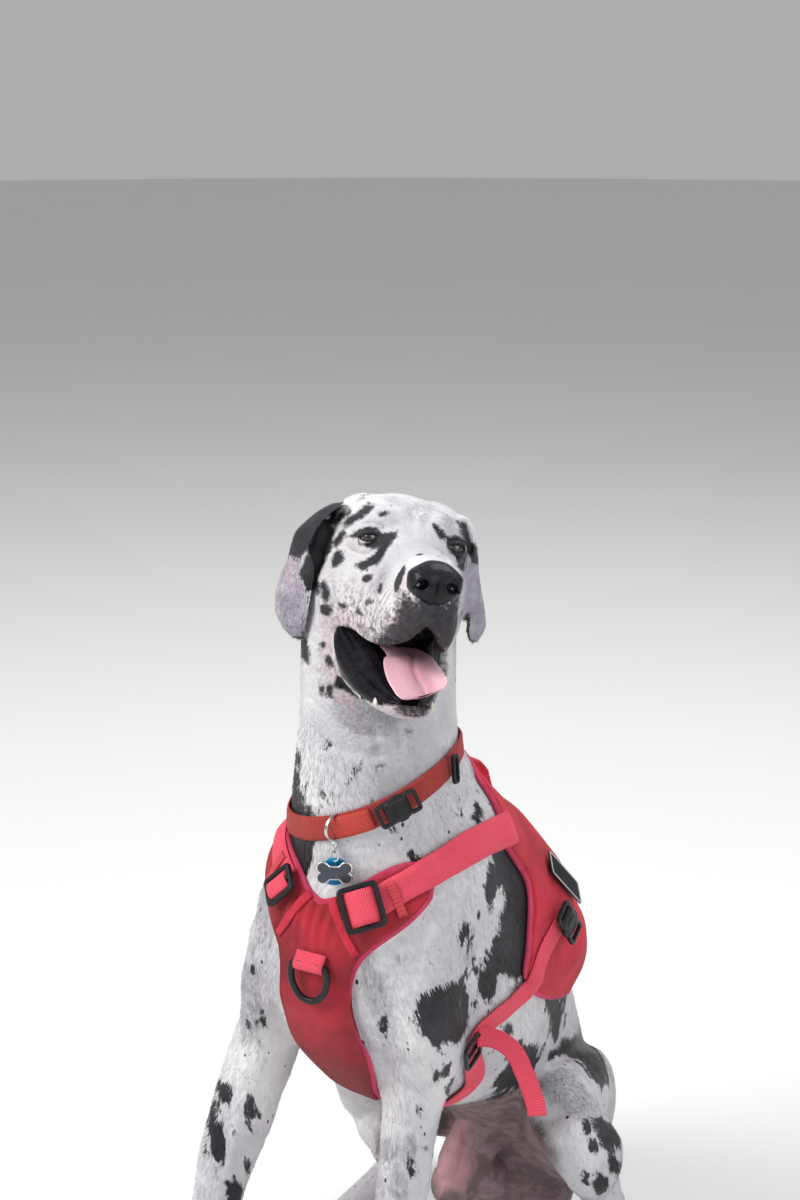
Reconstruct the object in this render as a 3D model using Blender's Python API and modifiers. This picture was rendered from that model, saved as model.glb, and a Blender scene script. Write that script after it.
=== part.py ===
"""Great dane, seated, with a collar and a walking harness: a still life-size model.

Frame while building: the floor is z = 0, the dog faces -Y, its left side is +X, metres.
The last step moves every part so that the bounding box stands on its bottom centre.
"""

import math

import bmesh
import bpy
import numpy as np
from mathutils import Matrix, Vector
from mathutils.bvhtree import BVHTree

# Driving dimensions, metres and degrees
GAP = 0.0003
VOXEL = 0.0042
HEAD_TRIS = 2250
BODY_TRIS = 3600
EYES_AT = (0.052, 0.010, 1.060)
HEAD_YAW = 39.5
HEAD_PITCH = 13.0
HEAD_ROLL = 9.5
EYE_X = 0.0445
EYE_Z = 0.0030
EYE_R = 0.0125
COLLAR_W = 0.026
COLLAR_T = 0.0026
STRAP_W = 0.038
GIRTH_W = 0.026
WEB_T = 0.0022
PANEL_PUFF = 0.0220
LIFT = 0.0030
EAR_T = 0.0046

# Outline of the trunk in the middle plane: back point, belly point, half width, squareness
TRUNK = [
    ((0.085, 0.800), (-0.055, 0.715), 0.080, 0.95),
    ((0.135, 0.785), (-0.094, 0.655), 0.108, 0.92),
    ((0.175, 0.755), (-0.098, 0.580), 0.122, 0.88),
    ((0.205, 0.728), (-0.072, 0.510), 0.128, 0.86),
    ((0.246, 0.694), (-0.020, 0.440), 0.133, 0.86),
    ((0.278, 0.655), (0.035, 0.392), 0.135, 0.88),
    ((0.312, 0.604), (0.100, 0.352), 0.132, 0.90),
    ((0.350, 0.534), (0.165, 0.312), 0.122, 0.92),
    ((0.385, 0.455), (0.215, 0.272), 0.112, 0.94),
    ((0.425, 0.375), (0.262, 0.228), 0.107, 0.94),
    ((0.455, 0.295), (0.302, 0.180), 0.108, 0.94),
    ((0.473, 0.215), (0.332, 0.120), 0.108, 0.94),
    ((0.476, 0.140), (0.350, 0.060), 0.096, 0.94),
    ((0.462, 0.070), (0.362, -0.006), 0.080, 0.94),
    ((0.430, 0.010), (0.385, -0.030), 0.070, 0.94),
]


def colour(red, green, blue):
    """Turn an sRGB triple into linear light for a base colour."""
    out = []
    for value in (red, green, blue):
        if value <= 0.04045:
            out.append(value / 12.92)
        else:
            out.append(((value + 0.055) / 1.055) ** 2.4)
    return (out[0], out[1], out[2], 1.0)


PAINTS = {
    "coat": ((0.86, 0.85, 0.84), 0.85, 0.0),
    "ear_dark": ((0.22, 0.20, 0.21), 0.85, 0.0),
    "ear_grey": ((0.62, 0.59, 0.61), 0.85, 0.0),
    "nose_leather": ((0.13, 0.13, 0.15), 0.40, 0.0),
    "eye": ((0.36, 0.28, 0.20), 0.10, 0.0),
    "tongue": ((0.80, 0.45, 0.45), 0.40, 0.0),
    "collar_web": ((0.77, 0.27, 0.18), 0.75, 0.0),
    "harness_cloth": ((0.72, 0.16, 0.24), 0.80, 0.0),
    "harness_web": ((0.86, 0.30, 0.34), 0.75, 0.0),
    "black_plastic": ((0.06, 0.06, 0.07), 0.45, 0.0),
    "steel": ((0.72, 0.72, 0.74), 0.30, 1.0),
    "tag_dark": ((0.17, 0.18, 0.20), 0.50, 0.0),
    "tag_blue": ((0.12, 0.25, 0.55), 0.45, 0.0),
    "patch": ((0.30, 0.30, 0.32), 0.75, 0.0),
}
MATERIALS = {}


def paint(obj, key):
    """Give an object its one material."""
    if key not in MATERIALS:
        tone, rough, metal = PAINTS[key]
        mat = bpy.data.materials.new(key)
        mat.use_nodes = True
        shader = mat.node_tree.nodes["Principled BSDF"]
        shader.inputs["Base Color"].default_value = colour(*tone)
        shader.inputs["Roughness"].default_value = rough
        shader.inputs["Metallic"].default_value = metal
        MATERIALS[key] = mat
    obj.data.materials.clear()
    obj.data.materials.append(MATERIALS[key])


def head_matrix():
    """Rotation of the head: turned to the left, muzzle raised, left side lowered."""
    yaw = math.radians(HEAD_YAW)
    pitch = math.radians(HEAD_PITCH)
    roll = math.radians(HEAD_ROLL)
    turn = Matrix.Rotation(yaw, 3, "Z")
    nod = Matrix.Rotation(-pitch, 3, "X")
    lean = Matrix.Rotation(roll, 3, "Y")
    return turn @ nod @ lean


HEAD_ROT = head_matrix()
HEAD_POS = Vector(EYES_AT)


def on_head(x, y, z):
    """A point given in the head's own axes (left, back, up, from between the eyes)."""
    return HEAD_POS + HEAD_ROT @ Vector((x, y, z))


def new_object(name, bm):
    """Make a scene object out of a bmesh."""
    bmesh.ops.recalc_face_normals(bm, faces=bm.faces)
    mesh = bpy.data.meshes.new(name)
    bm.to_mesh(mesh)
    bm.free()
    obj = bpy.data.objects.new(name, mesh)
    bpy.context.scene.collection.objects.link(obj)
    return obj


def ball(bm, centre, radii, turn=None, segments=24, rings=14):
    """Add an ellipsoid: centre, three radii and an optional 3x3 rotation."""
    matrix = Matrix.Translation(Vector(centre))
    if turn is not None:
        matrix = matrix @ turn.to_4x4()
    matrix = matrix @ Matrix.Diagonal((radii[0], radii[1], radii[2], 1.0))
    bmesh.ops.create_uvsphere(
        bm, u_segments=segments, v_segments=rings, radius=1.0, matrix=matrix
    )


def head_ball(bm, centre, radii, tilt=(0.0, 0.0, 0.0), segments=24, rings=14):
    """Add an ellipsoid placed and turned in the head's axes; tilt in degrees."""
    turn = HEAD_ROT
    turn = turn @ Matrix.Rotation(math.radians(tilt[2]), 3, "Z")
    turn = turn @ Matrix.Rotation(math.radians(tilt[1]), 3, "Y")
    turn = turn @ Matrix.Rotation(math.radians(tilt[0]), 3, "X")
    ball(bm, on_head(*centre), radii, turn, segments, rings)


def skin_rings(bm, rings):
    """Join equal rings of points into one closed form with a fan on each end."""
    rows = []
    for ring in rings:
        row = []
        for point in ring:
            row.append(bm.verts.new(point))
        rows.append(row)
    count = len(rows[0])
    for lower, upper in zip(rows[:-1], rows[1:]):
        for k in range(count):
            nxt = (k + 1) % count
            bm.faces.new((lower[k], lower[nxt], upper[nxt], upper[k]))
    for row in (rows[0], rows[-1]):
        middle = Vector((0.0, 0.0, 0.0))
        for vert in row:
            middle += vert.co
        tip = bm.verts.new(middle / count)
        for k in range(count):
            bm.faces.new((row[k], row[(k + 1) % count], tip))


def oval(centre, side, up, power=1.0, count=28, egg=0.0):
    """Ring on a superellipse; power under 1 is squarer, egg widens the upper half."""
    points = []
    for k in range(count):
        angle = 2.0 * math.pi * k / count
        cosine = math.cos(angle)
        sine = math.sin(angle)
        across = math.copysign(abs(cosine) ** power, cosine)
        along = math.copysign(abs(sine) ** power, sine)
        points.append(centre + side * across * (1.0 + egg * along) + up * along)
    return points


def tube(bm, stations, side=(1.0, 0.0, 0.0), count=20):
    """Tapered limb: stations of (centre, half width, half depth) along a path."""
    centres = [Vector(row[0]) for row in stations]
    rings = []
    for k, row in enumerate(stations):
        before = centres[max(k - 1, 0)]
        after = centres[min(k + 1, len(centres) - 1)]
        run = (after - before).normalized()
        across = Vector(side)
        across = (across - run * across.dot(run)).normalized()
        front = run.cross(across).normalized()
        rings.append(oval(centres[k], across * row[1], front * row[2], 1.0, count))
    skin_rings(bm, rings)


def head_loft(bm, rows, count=28):
    """Loft along the head: rows of (y, top z, bottom z, half width, squareness, egg)."""
    rings = []
    for y, top, low, half, power, egg in rows:
        centre = on_head(0.0, y, 0.5 * (top + low))
        side = HEAD_ROT @ Vector((half, 0.0, 0.0))
        up = HEAD_ROT @ Vector((0.0, 0.0, 0.5 * (top - low)))
        rings.append(oval(centre, side, up, power, count, egg))
    skin_rings(bm, rings)


def add_trunk(bm):
    """Chest, ribs, loin and rump as one loft between the back and belly lines."""
    rings = []
    for back, belly, half, power in TRUNK:
        top = Vector((0.0, back[0], back[1]))
        low = Vector((0.0, belly[0], belly[1]))
        centre = (top + low) * 0.5
        rings.append(
            oval(centre, Vector((half, 0.0, 0.0)), (top - low) * 0.5, power, 36)
        )
    skin_rings(bm, rings)
    ball(bm, (0.0, -0.060, 0.632), (0.080, 0.036, 0.085))
    ball(bm, (0.0, 0.100, 0.765), (0.070, 0.085, 0.050))


def add_neck(bm):
    """The neck, upright, from the chest to the skull."""
    tube(
        bm,
        [
            ((0.0, 0.050, 0.660), 0.112, 0.120),
            ((0.0, 0.036, 0.740), 0.097, 0.108),
            ((0.0, 0.030, 0.800), 0.089, 0.098),
            ((0.000, 0.032, 0.840), 0.084, 0.094),
            ((-0.001, 0.036, 0.880), 0.081, 0.092),
            ((-0.002, 0.044, 0.930), 0.079, 0.089),
            ((-0.004, 0.056, 0.980), 0.078, 0.084),
            ((0.000, 0.068, 1.025), 0.070, 0.074),
        ],
        count=28,
    )


def add_forequarter(bm, blade, arm, leg, point):
    """Shoulder blade, upper arm and the leg down to the paw on one side."""
    tube(bm, blade)
    tube(bm, arm)
    ball(bm, arm[0][0], (0.038, 0.046, 0.052))
    tube(bm, leg)
    ball(bm, point, (0.022, 0.024, 0.026))


# Toes of a paw: (x, y, radius)
TOES = [
    (-0.0310, -0.030, 0.0145),
    (-0.0112, -0.043, 0.0155),
    (0.0112, -0.043, 0.0155),
    (0.0310, -0.030, 0.0145),
]


def add_paw(bm, centre, heading, size):
    """Paw with four toes: centre on the floor, heading in degrees from -Y."""
    turn = Matrix.Rotation(math.radians(heading), 3, "Z")
    base = Vector(centre)
    pad = (0.041 * size, 0.050 * size, 0.031 * size)
    ball(bm, base + turn @ Vector((0, 0.006, 0.026 * size)), pad, turn)
    for x, y, r in TOES:
        middle = base + turn @ Vector((x * size, y * size, 0.019 * size))
        ball(bm, middle, (r * size, 0.027 * size, 0.0215 * size), turn, 16, 10)


def add_hindquarter(bm, thigh, shank, foot, paw, heading):
    """Folded hind leg: thigh, knee, shank, hock and the foot flat on the floor."""
    tube(bm, thigh)
    tube(bm, shank)
    heel = foot[0][0]
    ball(bm, (heel[0], heel[1] + 0.014, heel[2] + 0.022), (0.018, 0.020, 0.026))
    tube(bm, foot)
    add_paw(bm, paw, heading, 0.93)


BLADE_LEFT = [
    ((0.050, 0.150, 0.728), 0.026, 0.040),
    ((0.070, 0.085, 0.700), 0.036, 0.060),
    ((0.084, 0.022, 0.658), 0.040, 0.062),
    ((0.088, -0.012, 0.620), 0.038, 0.050),
]
ARM_LEFT = [
    ((0.088, -0.020, 0.600), 0.037, 0.046),
    ((0.086, -0.018, 0.555), 0.039, 0.054),
    ((0.080, -0.003, 0.510), 0.039, 0.054),
    ((0.072, 0.004, 0.475), 0.039, 0.046),
]
BLADE_RIGHT = [
    ((-0.050, 0.150, 0.728), 0.026, 0.040),
    ((-0.070, 0.085, 0.700), 0.036, 0.060),
    ((-0.085, 0.022, 0.658), 0.040, 0.062),
    ((-0.091, -0.012, 0.620), 0.038, 0.050),
]
ARM_RIGHT = [
    ((-0.092, -0.020, 0.600), 0.037, 0.046),
    ((-0.100, -0.018, 0.555), 0.039, 0.054),
    ((-0.110, -0.003, 0.510), 0.038, 0.054),
    ((-0.123, 0.006, 0.468), 0.037, 0.046),
]
LEG_LEFT = [
    ((0.071, 0.002, 0.490), 0.041, 0.050),
    ((0.070, -0.004, 0.470), 0.039, 0.047),
    ((0.069, -0.008, 0.450), 0.036, 0.042),
    ((0.068, -0.013, 0.425), 0.033, 0.038),
    ((0.066, -0.018, 0.395), 0.031, 0.035),
    ((0.064, -0.027, 0.345), 0.029, 0.033),
    ((0.060, -0.033, 0.275), 0.027, 0.031),
    ((0.057, -0.036, 0.205), 0.028, 0.032),
    ((0.056, -0.038, 0.160), 0.031, 0.034),
    ((0.054, -0.045, 0.115), 0.027, 0.030),
    ((0.052, -0.056, 0.070), 0.031, 0.034),
    ((0.050, -0.072, 0.035), 0.036, 0.036),
]
LEG_RIGHT = [
    ((-0.121, 0.006, 0.480), 0.036, 0.044),
    ((-0.128, 0.002, 0.458), 0.037, 0.044),
    ((-0.137, -0.010, 0.420), 0.039, 0.045),
    ((-0.146, -0.021, 0.385), 0.038, 0.043),
    ((-0.150, -0.031, 0.352), 0.036, 0.041),
    ((-0.157, -0.044, 0.315), 0.033, 0.038),
    ((-0.162, -0.057, 0.280), 0.030, 0.034),
    ((-0.167, -0.072, 0.235), 0.028, 0.032),
    ((-0.171, -0.084, 0.195), 0.028, 0.032),
    ((-0.175, -0.094, 0.160), 0.031, 0.034),
    ((-0.181, -0.108, 0.115), 0.027, 0.030),
    ((-0.189, -0.122, 0.070), 0.031, 0.034),
    ((-0.197, -0.138, 0.035), 0.036, 0.036),
]
THIGH_LEFT = [
    ((0.082, 0.425, 0.175), 0.049, 0.088),
    ((0.091, 0.385, 0.200), 0.048, 0.092),
    ((0.104, 0.325, 0.244), 0.049, 0.079),
    ((0.120, 0.270, 0.280), 0.046, 0.066),
    ((0.133, 0.230, 0.312), 0.040, 0.050),
    ((0.138, 0.208, 0.318), 0.029, 0.033),
]
SHANK_LEFT = [
    ((0.141, 0.212, 0.318), 0.036, 0.041),
    ((0.158, 0.228, 0.284), 0.041, 0.048),
    ((0.174, 0.252, 0.238), 0.040, 0.048),
    ((0.162, 0.290, 0.190), 0.030, 0.038),
    ((0.156, 0.335, 0.130), 0.024, 0.030),
    ((0.155, 0.366, 0.086), 0.022, 0.029),
    ((0.155, 0.380, 0.052), 0.022, 0.028),
]
FOOT_LEFT = [
    ((0.156, 0.384, 0.036), 0.023, 0.034),
    ((0.160, 0.320, 0.030), 0.025, 0.032),
    ((0.167, 0.230, 0.028), 0.027, 0.031),
    ((0.173, 0.155, 0.027), 0.034, 0.031),
]
THIGH_RIGHT = [
    ((-0.082, 0.425, 0.175), 0.049, 0.088),
    ((-0.092, 0.385, 0.206), 0.050, 0.096),
    ((-0.108, 0.325, 0.262), 0.052, 0.090),
    ((-0.121, 0.270, 0.308), 0.048, 0.074),
    ((-0.132, 0.228, 0.340), 0.042, 0.054),
    ((-0.134, 0.206, 0.344), 0.030, 0.034),
]
SHANK_RIGHT = [
    ((-0.134, 0.212, 0.340), 0.038, 0.044),
    ((-0.142, 0.228, 0.288), 0.040, 0.050),
    ((-0.154, 0.260, 0.230), 0.038, 0.046),
    ((-0.164, 0.300, 0.178), 0.030, 0.037),
    ((-0.168, 0.340, 0.124), 0.024, 0.030),
    ((-0.170, 0.366, 0.086), 0.022, 0.029),
    ((-0.170, 0.380, 0.052), 0.022, 0.028),
]
FOOT_RIGHT = [
    ((-0.170, 0.384, 0.036), 0.023, 0.034),
    ((-0.172, 0.320, 0.030), 0.025, 0.032),
    ((-0.177, 0.230, 0.028), 0.027, 0.031),
    ((-0.182, 0.155, 0.027), 0.034, 0.031),
]


# Hanging upper lip: (y, x, top z, bottom z, half thickness)
LIP_ROWS = [
    (-0.153, 0.009, -0.048, -0.072, 0.008),
    (-0.143, 0.015, -0.044, -0.085, 0.013),
    (-0.125, 0.021, -0.040, -0.095, 0.0155),
    (-0.095, 0.027, -0.036, -0.099, 0.0155),
    (-0.060, 0.033, -0.032, -0.101, 0.0145),
    (-0.030, 0.039, -0.030, -0.098, 0.0140),
    (0.000, 0.046, -0.030, -0.094, 0.0140),
    (0.030, 0.052, -0.035, -0.100, 0.0140),
]


def add_head(bm):
    """Skull, cheeks, brows, muzzle with its hanging lips, and the opened lower jaw."""
    head_loft(
        bm,
        [
            (0.158, 0.036, -0.010, 0.026, 0.95, 0.0),
            (0.140, 0.047, -0.060, 0.050, 0.95, 0.0),
            (0.110, 0.054, -0.085, 0.062, 0.95, 0.0),
            (0.070, 0.056, -0.098, 0.066, 0.92, -0.05),
            (0.035, 0.053, -0.098, 0.063, 0.90, -0.05),
            (0.008, 0.044, -0.090, 0.056, 0.85, 0.0),
            (-0.012, 0.024, -0.085, 0.049, 0.82, -0.05),
            (-0.030, 0.010, -0.088, 0.045, 0.78, -0.12),
            (-0.060, 0.007, -0.092, 0.040, 0.72, -0.12),
            (-0.100, 0.003, -0.092, 0.036, 0.68, -0.08),
            (-0.130, 0.000, -0.084, 0.033, 0.68, -0.03),
            (-0.148, -0.004, -0.072, 0.028, 0.74, 0.0),
            (-0.157, -0.012, -0.060, 0.020, 0.85, 0.0),
        ],
    )
    for side in (-1.0, 1.0):
        head_ball(bm, (side * 0.046, 0.052, -0.054), (0.033, 0.056, 0.058))
        head_ball(bm, (side * 0.048, 0.050, -0.012), (0.027, 0.050, 0.030))
        head_ball(bm, (side * 0.034, 0.012, 0.024), (0.025, 0.027, 0.0165), (0, side * 18, 0))
        head_ball(bm, (side * 0.034, 0.072, 0.014), (0.039, 0.064, 0.038))
        head_ball(bm, (side * 0.0435, 0.0025, 0.003), (0.0195, 0.0195, 0.0178))
        head_ball(bm, (side * 0.042, 0.010, -0.040), (0.021, 0.044, 0.028))
        rings = []
        for y, x, top, low, half in LIP_ROWS:
            centre = on_head(side * x, y, 0.5 * (top + low))
            across = HEAD_ROT @ Vector((half, 0.0, 0.0))
            up = HEAD_ROT @ Vector((0.0, 0.0, 0.5 * (top - low)))
            rings.append(oval(centre, across, up, 0.85, 18))
        skin_rings(bm, rings)
    head_loft(
        bm,
        [
            (0.095, -0.045, -0.128, 0.052, 0.85, 0.0),
            (0.060, -0.060, -0.142, 0.060, 0.80, 0.0),
            (0.020, -0.075, -0.150, 0.062, 0.72, 0.0),
            (-0.020, -0.095, -0.158, 0.057, 0.70, 0.10),
            (-0.060, -0.112, -0.162, 0.044, 0.72, 0.12),
            (-0.095, -0.120, -0.162, 0.034, 0.76, 0.10),
            (-0.118, -0.122, -0.159, 0.027, 0.82, 0.0),
            (-0.131, -0.126, -0.153, 0.017, 0.90, 0.0),
        ],
        24,
    )
    head_ball(bm, (0.0, 0.040, -0.112), (0.052, 0.060, 0.040))


def build_flesh():
    """All the flesh as one skin: overlapping forms, remeshed, smoothed and thinned."""
    bm = bmesh.new()
    add_trunk(bm)
    add_neck(bm)
    add_forequarter(bm, BLADE_LEFT, ARM_LEFT, LEG_LEFT, (0.072, 0.034, 0.484))
    add_forequarter(bm, BLADE_RIGHT, ARM_RIGHT, LEG_RIGHT, (-0.120, 0.034, 0.476))
    add_paw(bm, (0.048, -0.100, 0.0), 3.0, 1.05)
    add_paw(bm, (-0.205, -0.164, 0.0), -22.0, 1.05)
    add_hindquarter(bm, THIGH_LEFT, SHANK_LEFT, FOOT_LEFT, (0.176, 0.118, 0.0), -5.0)
    add_hindquarter(bm, THIGH_RIGHT, SHANK_RIGHT, FOOT_RIGHT, (-0.186, 0.118, 0.0), 8.0)
    add_head(bm)
    body = new_object("flesh", bm)
    remesh = body.modifiers.new("skin", "REMESH")
    remesh.mode = "VOXEL"
    remesh.voxel_size = VOXEL
    smooth = body.modifiers.new("ease", "SMOOTH")
    smooth.factor = 0.5
    smooth.iterations = 9
    bake(body)
    thin(body)
    return body


def bake(obj):
    """Apply every modifier of an object."""
    graph = bpy.context.evaluated_depsgraph_get()
    graph.update()
    mesh = bpy.data.meshes.new_from_object(obj.evaluated_get(graph))
    old = obj.data
    obj.modifiers.clear()
    obj.data = mesh
    bpy.data.meshes.remove(old)


def in_head(point):
    """Tell whether a world point belongs to the head, for a finer mesh there."""
    local = HEAD_ROT.transposed() @ (Vector(point) - HEAD_POS)
    return local.z - local.y > -0.235 and local.length < 0.30 and point[2] > 0.87


def thin(obj):
    """Decimate head and body each to its own share of the triangles."""
    bm = bmesh.new()
    bm.from_mesh(obj.data)
    bmesh.ops.triangulate(bm, faces=bm.faces)
    bm.to_mesh(obj.data)
    bm.free()
    bpy.context.view_layer.objects.active = obj
    obj.select_set(True)
    for head, share in ((True, HEAD_TRIS), (False, BODY_TRIS)):
        mesh = obj.data
        flags = [in_head(face.center) == head for face in mesh.polygons]
        for face, flag in zip(mesh.polygons, flags):
            face.select = flag
        for vert in mesh.vertices:
            vert.select = False
        for edge in mesh.edges:
            edge.select = False
        ratio = share / max(1, sum(flags))
        bpy.ops.object.mode_set(mode="EDIT")
        bpy.ops.mesh.select_mode(type="FACE")
        bpy.ops.mesh.decimate(ratio=min(1.0, ratio))
        bpy.ops.object.mode_set(mode="OBJECT")
    obj.select_set(False)


# Mouth: at each depth the lip line above and the lip line below, at set widths
MOUTH_X = (-0.100, -0.056, -0.042, -0.027, -0.013, 0.0, 0.013, 0.027, 0.042, 0.056, 0.100)
MOUTH = [
    (
        0.020,
        (-0.090, -0.088, -0.084, -0.082, -0.080, -0.080),
        (-0.098, -0.100, -0.106, -0.110, -0.110, -0.110),
    ),
    (
        -0.010,
        (-0.086, -0.086, -0.080, -0.076, -0.074, -0.074),
        (-0.116, -0.119, -0.128, -0.130, -0.130, -0.130),
    ),
    (
        -0.050,
        (-0.096, -0.096, -0.093, -0.076, -0.070, -0.070),
        (-0.136, -0.138, -0.143, -0.145, -0.145, -0.145),
    ),
    (
        -0.090,
        (-0.097, -0.097, -0.097, -0.094, -0.070, -0.069),
        (-0.143, -0.143, -0.143, -0.146, -0.148, -0.148),
    ),
    (
        -0.125,
        (-0.096, -0.096, -0.096, -0.092, -0.078, -0.066),
        (-0.142, -0.142, -0.142, -0.142, -0.143, -0.143),
    ),
    (
        -0.148,
        (-0.096, -0.096, -0.096, -0.094, -0.084, -0.064),
        (-0.141, -0.141, -0.141, -0.141, -0.141, -0.141),
    ),
    (
        -0.200,
        (-0.096, -0.096, -0.096, -0.094, -0.084, -0.064),
        (-0.141, -0.141, -0.141, -0.141, -0.141, -0.141),
    ),
]


def finish(name, bm, key=None):
    """Close a bmesh into a named part, painted if a material is given."""
    bmesh.ops.remove_doubles(bm, verts=bm.verts, dist=0.00005)
    bmesh.ops.recalc_face_normals(bm, faces=bm.faces)
    obj = new_object(name, bm)
    if key is not None:
        paint(obj, key)
    return obj


def combine(obj, other, how):
    """Boolean of two objects; the second one is used up."""
    modifier = obj.modifiers.new("join", "BOOLEAN")
    modifier.operation = how
    modifier.solver = "EXACT"
    modifier.object = other
    bake(obj)
    bpy.data.objects.remove(other, do_unlink=True)


def swell(objects, amount):
    """Joined copy of objects, moved out along the vertex normals by an amount."""
    bm = bmesh.new()
    for obj in objects:
        part = bmesh.new()
        part.from_mesh(obj.data)
        part.normal_update()
        for vert in part.verts:
            vert.co += vert.normal * amount
        mesh = bpy.data.meshes.new("swell")
        part.to_mesh(mesh)
        part.free()
        bm.from_mesh(mesh)
        bpy.data.meshes.remove(mesh)
    mesh = bpy.data.meshes.new("swell")
    bm.to_mesh(mesh)
    bm.free()
    out = bpy.data.objects.new("swell", mesh)
    bpy.context.scene.collection.objects.link(out)
    return out


def trim(obj, objects, amount=GAP):
    """Cut away what lies inside other parts, leaving the fitting gap."""
    for other in objects:
        combine(obj, swell([other], amount), "DIFFERENCE")


def keep_largest(obj):
    """Drop loose crumbs, keep the biggest closed piece."""
    pieces = islands(obj)
    pieces.sort(key=lambda item: -abs(item[1]))
    print("kept", obj.name, [round(volume * 1e6, 3) for piece, volume in pieces])
    for piece, volume in pieces[1:]:
        bpy.data.objects.remove(piece, do_unlink=True)
    first = pieces[0][0]
    first.name = obj.name + "_kept"
    name = obj.name
    mats = [mat for mat in obj.data.materials]
    bpy.data.objects.remove(obj, do_unlink=True)
    first.name = name
    first.data.materials.clear()
    for mat in mats:
        first.data.materials.append(mat)
    return first


def islands(obj):
    """Split a mesh into its loose pieces; returns new objects with their volumes."""
    bm = bmesh.new()
    bm.from_mesh(obj.data)
    seen = set()
    groups = []
    for start in bm.verts:
        if start.index in seen:
            continue
        stack = [start]
        seen.add(start.index)
        group = []
        while stack:
            vert = stack.pop()
            group.append(vert)
            for edge in vert.link_edges:
                other = edge.other_vert(vert)
                if other.index not in seen:
                    seen.add(other.index)
                    stack.append(other)
        groups.append(group)
    out = []
    for group in groups:
        part = bmesh.new()
        lookup = {}
        for vert in group:
            lookup[vert.index] = part.verts.new(vert.co)
        faces = set()
        for vert in group:
            faces.update(vert.link_faces)
        for face in faces:
            part.faces.new([lookup[vert.index] for vert in face.verts])
        part.normal_update()
        volume = part.calc_volume(signed=True)
        mesh = bpy.data.meshes.new("piece")
        part.to_mesh(mesh)
        part.free()
        piece = bpy.data.objects.new("piece", mesh)
        bpy.context.scene.collection.objects.link(piece)
        out.append((piece, volume))
    bm.free()
    return out


def slab(centre, normal, along, half_along, half_across):
    """Thin plate that parts two pieces: its normal, one in-plane direction, half sizes."""
    unit = Vector(normal).normalized()
    run = Vector(along)
    run = (run - unit * run.dot(unit)).normalized()
    other = unit.cross(run)
    bm = bmesh.new()
    frame = Matrix((run * half_along, other * half_across, unit * GAP * 0.5)).transposed()
    bmesh.ops.create_cube(bm, size=2.0, matrix=Matrix.Translation(Vector(centre)) @ frame.to_4x4())
    return new_object("slab", bm)


def bent_slab(points, y_from, y_to):
    """Thin bent plate: a line of (x, z) points drawn along y."""
    bm = bmesh.new()
    line = [Vector((x, 0.0, z)) for x, z in points]
    rows = []
    for k, point in enumerate(line):
        before = line[max(k - 1, 0)]
        after = line[min(k + 1, len(line) - 1)]
        run = (after - before).normalized()
        out = Vector((run.z, 0.0, -run.x)) * GAP * 0.55
        row = []
        for y in (y_from, y_to):
            for sign in (-1.0, 1.0):
                row.append(bm.verts.new(point + out * sign + Vector((0.0, y, 0.0))))
        rows.append(row)
    for low, top in zip(rows[:-1], rows[1:]):
        for a, b in ((0, 1), (1, 3), (3, 2), (2, 0)):
            bm.faces.new((low[a], low[b], top[b], top[a]))
    for row in (rows[0], rows[-1]):
        bm.faces.new((row[0], row[1], row[3], row[2]))
    return new_object("slab", bm)


def mouth_cutter():
    """The opened mouth: a form between the upper and the lower lip line."""
    bm = bmesh.new()
    rings = []
    for y, top, low in MOUTH:
        ring = []
        tops = list(top[:5]) + [top[5]] + list(top[:5])[::-1]
        lows = list(low[:5]) + [low[5]] + list(low[:5])[::-1]
        for x, z in zip(MOUTH_X, tops):
            ring.append(on_head(x, y, z))
        for x, z in list(zip(MOUTH_X, lows))[::-1]:
            ring.append(on_head(x, y, z))
        rings.append(ring)
    skin_rings(bm, rings)
    return new_object("mouth", bm)


def ground():
    """A block that fills everything below the floor."""
    bm = bmesh.new()
    place = Matrix.Translation((0.0, 0.2, -0.5)) @ Matrix.Diagonal((2.0, 2.0, 1.0, 1.0))
    bmesh.ops.create_cube(bm, size=1.0, matrix=place)
    return new_object("floor", bm)


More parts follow.
